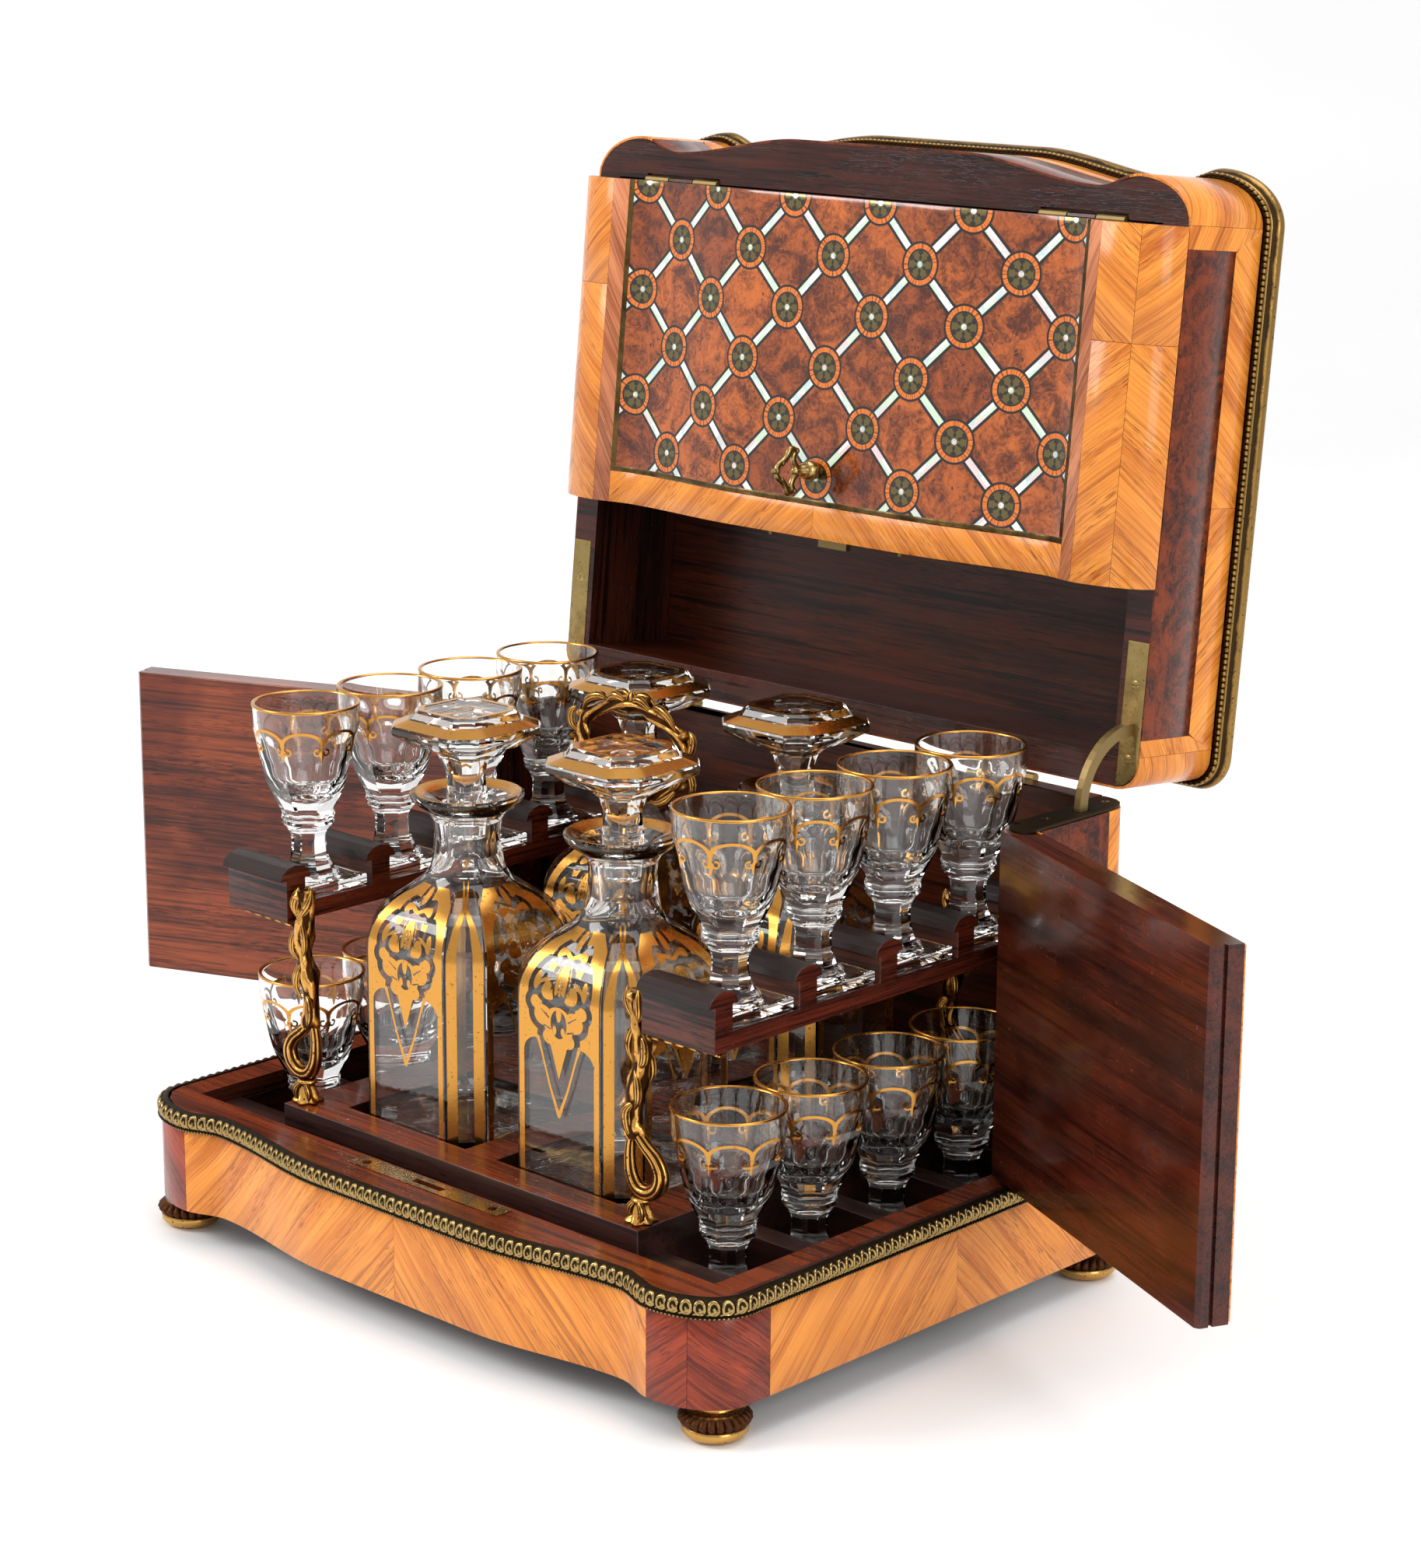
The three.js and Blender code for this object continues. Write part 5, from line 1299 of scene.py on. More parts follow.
def lid_moulding_piece():
    """The lid's brass moulding: a row of beads below an ogee flange, carried round the outline.

    The bead row's section is a half circle whose radius follows a row of spheres along the run.
    """
    piece = Piece("lid")
    pitch = sizes().bead_pitch / MM
    beads = round(2 * GIRTH / pitch)
    run = np.linspace(-GIRTH, GIRTH, beads * 6 + 1)
    phase = (run + GIRTH) / (2 * GIRTH) * beads
    swell = np.sqrt(np.maximum(1 - (2 * (phase % 1) - 1) ** 2, 0)) * 0.88 + 0.12
    turn = np.linspace(-math.pi * 0.6, math.pi / 2, 8)
    bead = 1.3 * swell[:, None]
    out = np.concatenate([1.5 + bead * np.cos(turn), 0 * bead + 0.3, 1.5 + bead * np.cos(turn[:1])], 1)
    high = np.concatenate(
        [253.75 + bead * np.sin(turn), 0 * bead + 253.7, 253.75 + bead * np.sin(turn[:1])], 1)
    shine = 0.25 + 0.75 * np.clip(np.cos(turn - 0.1), 0, 1) * swell[:, None]
    relief = np.concatenate([shine, 0 * bead, 0.2 * swell[:, None]], 1)
    piece.add(loft(on_wall(run[:, None], out, high), relief=relief, ends=False))
    section = np.array([
        [0.35, 253.2], [1.2, 253.2], [1.3, 255.2], [2.3, 255.5], [2.5, 256.0], [1.9, 256.5], [2.0, 257.1],
        [3.0, 257.9], [3.9, 258.7], [4.35, 259.8], [4.45, 260.8], [4.25, 261.8], [3.6, 262.8], [2.7, 263.5],
        [1.8, 263.9], [0.5, 264.3], [-1.2, 264.35], [-1.2, 263.9], [0.35, 263.6], [0.35, 253.2],
    ])
    shine = np.array([
        0, 0.1, 0.2, 0.8, 0.9, 0.3, 0.2, 0.4, 0.65, 0.9, 1, 0.9, 0.6, 0.45, 0.5, 0.6, 0.6, 0.2, 0, 0,
    ])
    run = np.linspace(-GIRTH, GIRTH, 900)[:, None]
    rings = on_wall(run, section[None, :, 0], section[None, :, 1])
    piece.add(loft(rings, relief=shine[None, :] * np.ones_like(run), ends=False))
    piece.finish("lid_moulding_cast", [MATERIALS["moulding"]], ["lid_moulding"], "dark_brass", sharp=60)


def plinth_moulding_piece():
    """The plinth's gilt moulding: curled leaves over a thin grained lip, along the front and the sides.

    A rounded section carries, in each unit, a ring with an eye and a slanting tail, all as ridges that
    fall off with the square of the distance from their middle line and stand along the section's normal.
    """
    piece = Piece("root")
    end = run_at_depth(BACK_FACE + REAR_RADIUS)
    pitch = sizes().leaf_pitch / MM
    shape = curve_through([
        (3.9, 51.05), (4.9, 51.2), (5.2, 51.8), (4.2, 52.2), (4.1, 53.2), (4.6, 54.8), (4.4, 56.6),
        (3.4, 58.0), (1.8, 58.6), (0.6, 58.7),
    ], 38)
    slope = np.gradient(shape, axis=0)
    slope /= np.linalg.norm(slope, axis=1, keepdims=True)
    gone = np.concatenate([[0], np.cumsum(np.linalg.norm(np.diff(shape, axis=0), axis=1))])[None, :]
    run = np.linspace(-end, end, 2 * int(end / 0.36))[:, None]
    cell = np.abs(run) / pitch
    u = (cell - np.round(cell)) * pitch
    v = gone + 0 * run

    def ridge(distance, half):
        return np.exp(-(distance / half) ** 2)

    centre = 6.0
    ring = ridge(np.hypot(u - 0.3, (v - centre) * 0.62) - 1.6, 0.5)
    eye = ridge(np.hypot(u - 0.3, (v - centre) * 0.7), 0.6) * 0.8
    along = np.clip(((u + 2.2) * 3.4 + (v - 3.0) * 2.4) / (3.4 ** 2 + 2.4 ** 2), 0, 1)
    tail = ridge(np.hypot(u + 2.2 - 3.4 * along, v - 3.0 - 2.4 * along), 0.6) * 0.9
    grains = ridge(v - 1.2, 0.8) * (0.55 + 0.35 * np.sin(run * 4.4))
    high = np.maximum.reduce([ring, eye, tail]) * smooth_step(v, 2.4, 3.4)
    lift = 0.9 * high + 0.15 * grains
    out = np.minimum(shape[None, :, 0] + slope[None, :, 1] * lift, 5.48)
    height = np.minimum(shape[None, :, 1] - slope[None, :, 0] * lift, MOULDING_HIGH)
    relief = np.clip(1.05 * np.maximum(high, grains), 0, 1)
    zero = np.zeros_like(run)
    outs = np.concatenate([0 * run + 0.5, out, 0 * run + 0.5], 1)
    heights = np.concatenate([0 * run + 51.05, height, 0 * run + 51.05], 1)
    reliefs = np.concatenate([zero, relief, zero], 1)
    piece.add(loft(on_wall(run, outs, heights), relief=reliefs))
    piece.finish("plinth_moulding_cast", [MATERIALS["scrolls"]], ["plinth_moulding"], "ormolu", sharp=70)


def feet_pieces():
    """Turned feet: a gold neck, a ring of beads and a bright lower bowl."""
    count = 24 * 6
    heights = np.concatenate([
        [0, 0, 0.4, 1.6, 3.2, 5.0, 5.9], np.linspace(6.2, 10.6, 9), [11.0, 11.8, 12.6, 13.4, 14.2, 14.4],
    ])
    radii = np.concatenate([
        [0.2, 8.2, 9.0, 11.4, 12.7, 12.9, 12.2], 12.4 + 1.9 * np.sin(np.linspace(0.1, math.pi - 0.1, 9)),
        [11.6, 10.2, 8.9, 8.5, 8.5, 8.5],
    ])
    shine = np.concatenate([[0.3, 0.3, 0.7, 1, 1, 0.8, 0.3], np.full(9, 0.3), [0.3, 0.7, 0.9, 0.9, 0.8, 0.5]])

    def wave(turn, row):
        bead = np.sqrt(np.abs(np.sin(12 * turn)))
        ring = (row >= 7) & (row <= 15)
        return np.where(ring, 0.9 + 0.1 * bead, 1.0)

    x = CASE_HALF + PLINTH_GROW - 13
    places = {"front": -FLAP_BACK - 8 + PLINTH_GROW, "rear": -BACK_FACE - 8}
    for row, y in places.items():
        for side, name in ((1, "right"), (-1, "left")):
            piece = Piece("root")
            piece.add(lathe(np.stack([radii, heights], 1), count, (side * x, y, 0), wave, shine))
            node = f"foot_{row}_{name}"
            piece.finish(f"{node}_cast", [MATERIALS["foot gilt"]], [node], "ormolu", sharp=60)


# Glassware


GLASS_HIGH = 79.0


def glass_profile():
    """A glass's outer radii by height, from the top of its foot to its rim."""
    heights = np.array([
        6.0, 7.5, 9.5, 12.5, 16.0, 20.0, 23.0, 25.5, 27.5, 28.6, 29.8, 31.4, 33.0, 36.0, 39.5, 43.0, 47.0,
        53.0, 60.0, 68.0, 79.0,
    ])
    radii = np.array([
        11.6, 10.4, 9.2, 8.2, 7.7, 7.5, 8.0, 9.4, 11.4, 10.3, 11.6, 11.2, 11.7, 13.0, 14.9, 16.6, 18.1,
        19.7, 21.0, 22.1, 22.7,
    ])
    return heights, radii


def glass_reach(height, turn):
    """A glass's outer radius: eight flat flutes cut into the bowl up to rounded tops."""
    heights, radii = glass_profile()
    round_reach = np.interp(height, heights, radii)
    local = (turn + math.pi / 8) % (math.pi / 4) - math.pi / 8
    depth = np.interp(height, [26, 31.5, 33.5, 61, 68.5, 70.5], [0.96, 0.96, 0.925, 0.925, 1.0, 1.04])
    facet = round_reach * np.where(height < 25.5, 0.93, depth) / np.cos(local)
    return np.minimum(round_reach, facet)


def make_glass(centre, low):
    """A glass on a square foot: slab, sloping top, faceted stem, double collar, fluted bowl and its inside.

    Every ring is given by its radius at each bearing; the foot's top goes from the square's radius to the
    octagon's by a share that grows with the height.
    """
    turn = np.linspace(0, TAU, 65)[None, :]
    square = 17.0 / np.maximum(np.abs(np.cos(turn)), np.abs(np.sin(turn)))
    local = (turn + math.pi / 8) % (math.pi / 4) - math.pi / 8
    octagon = 11.6 / np.cos(local)
    rows = [(0.0, square * 0.97), (0.4, square), (4.1, square), (4.4, square * 0.975), (4.5, square * 0.95)]
    for height, size, share in ((4.65, 0.85, 0.1), (4.8, 0.76, 0.4), (5.1, 0.72, 0.8), (5.6, 0.7, 1.0)):
        rows.append((height, mix(square * size, octagon, share)))
    heights = np.concatenate(
        [np.linspace(6.4, 25, 14), np.linspace(25.6, 30.4, 14), np.linspace(31.2, 78.4, 44)])
    rows += [(height, glass_reach(height, turn)) for height in heights]
    lip = np.linspace(0.5, 2.7, 5)
    rows += [(78.4 + 0.6 * math.sin(t), 21.95 + 0.72 * math.cos(t) + 0 * turn) for t in lip]
    inner = np.concatenate([np.linspace(78.2, 44, 26), np.linspace(42.5, 38.2, 6)])
    reach = np.interp(
        inner, [38.2, 38.7, 40, 43, 48, 57, 68, 78.4], [0.6, 5.0, 8.4, 12.2, 15.8, 18.9, 20.6, 21.3])
    rows += [(height, size + 0 * turn) for height, size in zip(inner, reach)]
    height = np.array([row[0] for row in rows])[:, None]
    size = np.concatenate([row[1] for row in rows])
    return loft(around(size, turn, height) + np.array([*centre, low]))


def glass_gilding(centre, low):
    """Gold on a glass: a line at the rim and one on the foot, arches over the flutes, pendants with hooks."""
    reach = 22.0
    unit = reach * TAU / 8

    def distance(u, v):
        local = (u + unit / 2) % unit - unit / 2
        radius = unit / 2
        centre_high = GLASS_HIGH - 9.2 - radius * 0.62
        bow = np.hypot(local, (v - centre_high) / 0.62) - radius
        arch = np.where(v < centre_high - 0.6, 9.0, np.abs(bow) * 0.8 - 0.74)
        side = np.abs(local) - unit / 2
        below = centre_high - v
        drop = np.maximum(np.abs(side) - np.interp(below, [-1, 1.5, 4.0, 7.6], [0.8, 0.7, 1.05, 0.1]),
                          np.maximum(below - 7.6, -1 - below))
        hook_x = np.abs(side) - 2.1
        hook = np.abs(np.hypot(hook_x, below - 3.0) - 1.3) - 0.4
        hook = np.where((below < 2.3) & (hook_x < 0), 9.0, hook)
        return np.minimum(np.minimum(arch, drop), hook)

    points, faces = cutout(distance, (0, 8 * unit), (52.0, 74.0), (8 * 44 + 1, 56))
    turn = points[:, 0] / reach
    out = glass_reach(points[:, 1], turn) + 0.1
    skin = np.stack([out * np.cos(turn) + centre[0], out * np.sin(turn) + centre[1], points[:, 1] + low], 1)
    skins = [film(skin, faces, points, 0.8)]
    turn = np.linspace(0, TAU, 65)[None, :]
    corner = 1 / np.maximum(np.abs(np.cos(turn)), np.abs(np.sin(turn)))
    band = np.array([
        [22.72, 78.0], [22.76, 78.5], [22.6, 78.92], [21.95, 79.05], [21.3, 78.8], [21.15, 78.4],
        [21.3, 78.3], [21.45, 78.7], [21.95, 79.0], [22.5, 78.8], [22.66, 78.4], [22.62, 78.0], [22.72, 78.0],
    ])
    foot = np.array([[15.9, 4.62], [15.1, 4.68], [15.1, 4.55], [15.9, 4.5], [15.9, 4.62]])
    for section, shape in ((band, 1 + 0 * turn), (foot, corner)):
        rings = around(section[:, :1] * shape, turn, section[:, 1:] + low) + np.array([*centre, 0])
        rings = rings.transpose(1, 0, 2)
        skins.append(loft(rings, relief=np.full(rings.shape[:2], 0.9), ends=False))
    return skins


def cut_and_gild(node, glass, skins, glass_edge, gold_edge):
    """Makes a piece of cut glass and the piece of gold that lies on it."""
    Piece(node).add(glass).finish(
        node + "_cut", [MATERIALS["glass"]], [node], "cut_glass", sharp=glass_edge)
    gold = Piece(node)
    for skin in skins:
        gold.add(skin)
    gold.finish(node + "_gilding", [MATERIALS["gilding"]], (), "ormolu", sharp=gold_edge)


def glassware_pieces():
    """Sixteen stemmed glasses with their gilding."""
    pitch, rows_front, across = 46.5, 192.0, 122.0
    for level, low in (("upper", 149.8), ("lower", 32.6)):
        for side, name in ((1, "right"), (-1, "left")):
            for row in range(4):
                node = f"glass_{level}_{name}_{row + 1}"
                centre = (side * across, -rows_front + pitch * row)
                cut_and_gild(node, make_glass(centre, low), glass_gilding(centre, low), 26, 60)


# Decanters


DECANTER_HALF = 35.3
DECANTER_CHAMFER = 12.0
DECANTER_PLACES = {
    "front_right": (45.0, -172.0), "front_left": (-45.0, -172.0),
    "rear_right": (45.0, -72.0), "rear_left": (-45.0, -72.0),
}
DECANTER_LOW = 54.9
DECANTER_HIGH = 145.6
STOPPER_HALF = 25.75
STOPPER_CHAMFER = 9.0


def square_reach(turn, half, chamfer):
    """Radius at a bearing of a square with cut corners."""
    c, s = np.abs(np.cos(turn)), np.abs(np.sin(turn))
    cut = (2 * half - chamfer) / math.sqrt(2)
    return np.minimum(half / np.maximum(c, s), cut / ((c + s) / math.sqrt(2)))


def shoulder_half(height):
    """Half width of a decanter's body by height, on a smooth curve over the shoulder."""
    shape = curve_through([
        (81, 35.3), (86, 34.9), (91, 33.4), (96, 30.6), (101, 26.6), (105, 22.4), (109, 18.2), (113, 15.8),
        (117, 14.8),
    ], 80)
    foot = np.interp(height, [0, 1.5, 4], [32.6, 34.6, 35.3])
    return np.where(height < 10, foot, np.interp(height, shape[:, 0], shape[:, 1]))


def decanter_reach(height, turn):
    """A decanter's outer radius: cut square below, drawn in over the shoulder to a round neck and lip."""
    half = shoulder_half(height)
    roundness = smooth_step(height, 98, 116)
    body = square_reach(turn, half, DECANTER_CHAMFER * half / DECANTER_HALF)
    neck = np.interp(height, [0, 117, 122, 128, 134, 138, 140.5, 143, 144.6, 145.6],
                     [14.8, 14.8, 14.0, 13.6, 14.0, 16.8, 20.6, 23.2, 23.6, 23.2])
    rounded = np.where(height < 117, half, neck)
    return mix(body, rounded, roundness)


def bearings_with_corners(half, chamfer, flat_steps, cut_steps):
    """Bearings round a cut square, dense enough on each face and with its corners among them."""
    corner = math.atan2(half - chamfer, half)
    quarter = []
    quarter += list(np.linspace(-corner, corner, flat_steps, endpoint=False))
    quarter += list(np.linspace(corner, math.pi / 2 - corner, cut_steps, endpoint=False))
    turns = np.array([turn + k * math.pi / 2 for k in range(4) for turn in quarter])
    return np.concatenate([turns, [turns[0] + TAU]])


def make_decanter(centre, low):
    """A decanter's skin: base, cut square body, shoulder, neck, flared lip, and the inside."""
    turn = bearings_with_corners(DECANTER_HALF, DECANTER_CHAMFER, 14, 6)[None, :]
    heights = np.concatenate([[0, 0.8, 1.6, 3, 4], np.linspace(8, 80, 10), np.linspace(82, 118, 26),
                              np.linspace(120, 134, 8), np.linspace(135, 145.2, 14)])
    reach = decanter_reach(heights[:, None], turn)
    outer = around(reach, turn, heights[:, None])
    funnel = [
        (145.6, 22.4), (145.5, 21.4), (144.2, 19.0), (142.4, 14.4), (140.6, 11.0), (138, 9.6), (119, 9.0),
    ]
    inner = []
    for height, radius in funnel:
        inner.append(around(radius, turn, height)[0])
    for height in (112, 106, 100, 94, 88, 82, 74, 60, 40, 20, 9):
        wall = np.maximum(decanter_reach(np.array(float(height)), turn) - (3.2 if height < 90 else 3.6), 9.0)
        inner.append(around(wall, turn, height)[0])
    for height, share in ((7, 0.93), (6.2, 0.8), (6.0, 0.4)):
        wall = (decanter_reach(np.array(9.0), turn) - 3.2) * share
        inner.append(around(wall, turn, height)[0])
    rings = np.concatenate([outer, np.array(inner)])
    return loft(rings + np.array([*centre, low]))


def shell_motif(u, v):
    """Distances to a side's palmette, scrolls, dotted leaf and bow, first whole and then with their cuts."""
    a = np.abs(u)
    solid = np.minimum.reduce([
        oval(a, v, 0, 73.5, 8.0, 7.6), oval(a, v, 8.6, 76.4, 5.0, 4.2), oval(a, v, 12.4, 81.0, 3.2, 2.8),
        oval(a, v, 5.2, 68.2, 3.6, 3.0), oval(a, v, 7.4, 87.0, 5.4, 4.6), oval(a, v, 0, 92.0, 4.4, 6.4),
        stroke(a, v, [(0, 99.4), (4.6, 101), (8.6, 100.6)], [0.7, 0.8, 1.7]), oval(a, v, 0, 105.4, 2.4, 3.2),
        oval(a, v, 13.6, 89.6, 1.6, 3.6),
    ])
    cup = np.maximum(oval(a, v, 0, 74.2, 4.4, 5.8), -oval(a, v, 0, 79.0, 1.5, 4.0))
    cup = np.maximum(cup, -oval(a, v, 2.3, 71.4, 1.1, 1.8))
    scroll = np.maximum(oval(a, v, 8.4, 85.8, 4.2, 3.9), -oval(a, v, 6.5, 86.6, 3.6, 3.5))
    curl = np.maximum(oval(a, v, 6.3, 89.0, 2.5, 2.2), -oval(a, v, 7.3, 88.4, 2.3, 1.9))
    leaf_edge = np.maximum(np.abs(oval(a, v, 0, 90.0, 3.7, 8.0)) - 0.45, 83.4 - v)
    dots = np.maximum(np.abs(a - 0.8) - 0.35, 0.35 - np.abs((v % 1.6) - 0.8))
    dots = np.maximum(dots, oval(a, v, 0, 90.4, 2.2, 5.4))
    veins = np.minimum(
        stroke(a, v, [(5.4, 76.0), (9.6, 78.6)], [0.35, 0.2]),
        stroke(a, v, [(4.8, 71.6), (8.2, 72.6)], [0.35, 0.2]))
    return solid, np.maximum(solid, -np.minimum.reduce([cup, scroll, curl, leaf_edge, dots, veins]))


def side_gold(u, v):
    """Distance to the gold of a decanter's side: frame, shoulder field with its shell, pendant and V."""
    a = np.abs(u)
    flat = DECANTER_HALF - DECANTER_CHAMFER
    frame_line = np.maximum(np.abs(a - (flat - 2.4)) - 1.4, np.maximum(3.2 - v, v - 62))
    lower = np.where(a > 19.5, 58.0, 60 + 6.5 * np.sqrt(np.clip(1 - ((a - 11) / 8.5) ** 2, 0, 1)))
    lower = np.where(a < 11, 66.5, lower)
    edge = (flat - 1.0) * np.clip((115 - v) / 11, 0.02, 1) ** 0.6
    field = np.maximum(lower - v, a - edge)
    solid, shell = shell_motif(u, v)
    pendant = np.maximum(a - (v - 51.5) * 0.34, v - 66.5)
    outline = np.minimum(solid, pendant)
    field = np.maximum(field, 2.6 - outline)
    vee = stroke(a, v, [(11.5, 66.6), (9.4, 61), (5.0, 48), (0, 36.5)], [0.9, 0.5, 0.55, 0.9])
    foot = np.maximum(np.abs(v - 3.9) - 0.7, a - (flat - 1.0))
    return np.minimum.reduce([frame_line, field, shell, pendant, vee, foot])


def chamfer_gold(u, v):
    """Distance to the gold of a decanter's cut corner: two broad lines that meet in a point, and a star."""
    a = np.abs(u)
    cut_half = DECANTER_CHAMFER / math.sqrt(2)
    middle = np.interp(v, [0, 88, 97, 104, 112], [5.4, 5.4, 4.0, 0.6, 2.4])
    half = np.interp(v, [0, 88, 100, 104, 112], [2.1, 2.1, 1.5, 1.0, 0.6])
    lines = np.maximum(np.abs(a - middle) - half, np.maximum(3.2 - v, v - 112))
    foot = np.maximum(np.abs(v - 3.9) - 0.7, a - cut_half + 0.8)
    bearing = np.arctan2(v - 118.5, u)
    star = np.hypot(u, v - 118.5) - (1.1 + 2.0 * np.abs(np.cos(bearing * 3)) ** 3)
    return np.minimum(np.minimum(lines, foot), star)


def decanter_gilding(centre, low):
    """Gold on a decanter, laid 0.12 mm off the glass. u is the length across a side and v the height."""
    skins = []
    half = DECANTER_HALF
    flat = half - DECANTER_CHAMFER
    cut_half = DECANTER_CHAMFER / math.sqrt(2)
    cut_reach = (2 * half - DECANTER_CHAMFER) / math.sqrt(2)
    for pattern, wide, top, steps, reach, start in (
        (side_gold, flat, 109.0, (112, 240), half, 0.0),
        (chamfer_gold, cut_half, 123.0, (44, 250), cut_reach, math.pi / 4),
    ):
        points, faces = cutout(pattern, (-wide, wide), (3.0, top), steps)
        for quarter in range(4):
            turn = np.arctan2(points[:, 0], reach) + start + quarter * math.pi / 2
            out = decanter_reach(points[:, 1], turn) + sizes().gilding / MM
            skin = np.stack([
                out * np.cos(turn) + centre[0], out * np.sin(turn) + centre[1], points[:, 1] + low,
            ], 1)
            skins.append(film(skin, faces, points, 0.85))
    ring = np.array([
        [16.8, 143.0], [21.4, 145.5], [22.2, 145.62], [22.2, 145.5], [16.8, 142.9], [16.8, 143.0],
    ])
    turn = np.linspace(0, TAU, 65)[None, :]
    rings = around(ring[:, :1], turn, ring[:, 1:] + 0.14 + low) + np.array([*centre, 0])
    rings = rings.transpose(1, 0, 2)
    skins.append(loft(rings, relief=np.full(rings.shape[:2], 0.9), ends=False))
    return skins


def make_stopper(centre, low):
    """A stopper: tapered plug, octagonal flared stem and a stepped slab with cut corners."""
    turn = bearings_with_corners(STOPPER_HALF, STOPPER_CHAMFER, 8, 4)[None, :]
    rows = [
        (-19.0, 6.4, 1.0), (-18.6, 7.2, 1.0), (-0.4, 8.5, 1.0), (1.0, 8.0, 0.9), (8.0, 7.0, 0.6),
        (14.0, 8.6, 0.45), (18.6, 13.0, 0.25), (19.5, 17.5, 0.0), (24.6, 25.2, 0.0), (25.4, 25.75, 0.0),
        (27.4, 25.75, 0.0), (28.2, 25.2, 0.0), (31.0, 19.4, 0.0), (31.3, 18.9, 0.0), (33.6, 17.6, 0.0),
        (34.5, 16.6, 0.0),
    ]
    rings = []
    for height, size, roundness in rows:
        square = square_reach(turn, size, STOPPER_CHAMFER * size / STOPPER_HALF)
        reach = mix(square, size + 0 * turn, roundness)
        rings.append(around(reach, turn, height)[0])
    return loft(np.array(rings) + np.array([*centre, low]))


def stopper_gilding(centre, low):
    """Gold on a stopper: a band on its upper slope, and a border with crossing double lines on its top."""
    turn = bearings_with_corners(STOPPER_HALF, STOPPER_CHAMFER, 8, 4)[None, :]
    skins = []
    for rows in (
        ((28.4, 25.2), (30.8, 19.9), (30.6, 19.7), (28.2, 25.0), (28.4, 25.2)),
        ((34.62, 16.4), (34.62, 14.4), (34.52, 14.4), (34.52, 16.4), (34.62, 16.4)),
    ):
        rings = []
        for height, size in rows:
            reach = square_reach(turn, size, STOPPER_CHAMFER * size / STOPPER_HALF)
            rings.append(around(reach, turn, height + 0.08)[0])
        rings = np.array(rings).transpose(1, 0, 2) + np.array([*centre, low])
        skins.append(loft(rings, relief=np.full(rings.shape[:2], 0.85), ends=False))

    def distance(u, v):
        lines = np.minimum(np.abs(np.abs(u) - 3.0) - 0.45, np.abs(np.abs(v) - 3.0) - 0.45)
        return np.maximum(lines, np.maximum(np.abs(u), np.abs(v)) - 14.2)

    points, faces = cutout(distance, (-15, 15), (-15, 15), (121, 121))
    skin = np.stack([
        points[:, 0] + centre[0], points[:, 1] + centre[1], np.full(len(points), low + 34.6),
    ], 1)
    skins.append(film(skin, faces, points, 0.8))
    return skins


def bottle_pieces():
    """Four decanters and their stoppers with their gilding."""
    for place, centre in DECANTER_PLACES.items():
        for kind, make, gild, low in (
            ("decanter_", make_decanter, decanter_gilding, DECANTER_LOW),
            ("stopper_", make_stopper, stopper_gilding, DECANTER_LOW + DECANTER_HIGH),
        ):
            cut_and_gild(kind + place, make(centre, low), gild(centre, low), 16, 30)


# Gilt mounts and trims


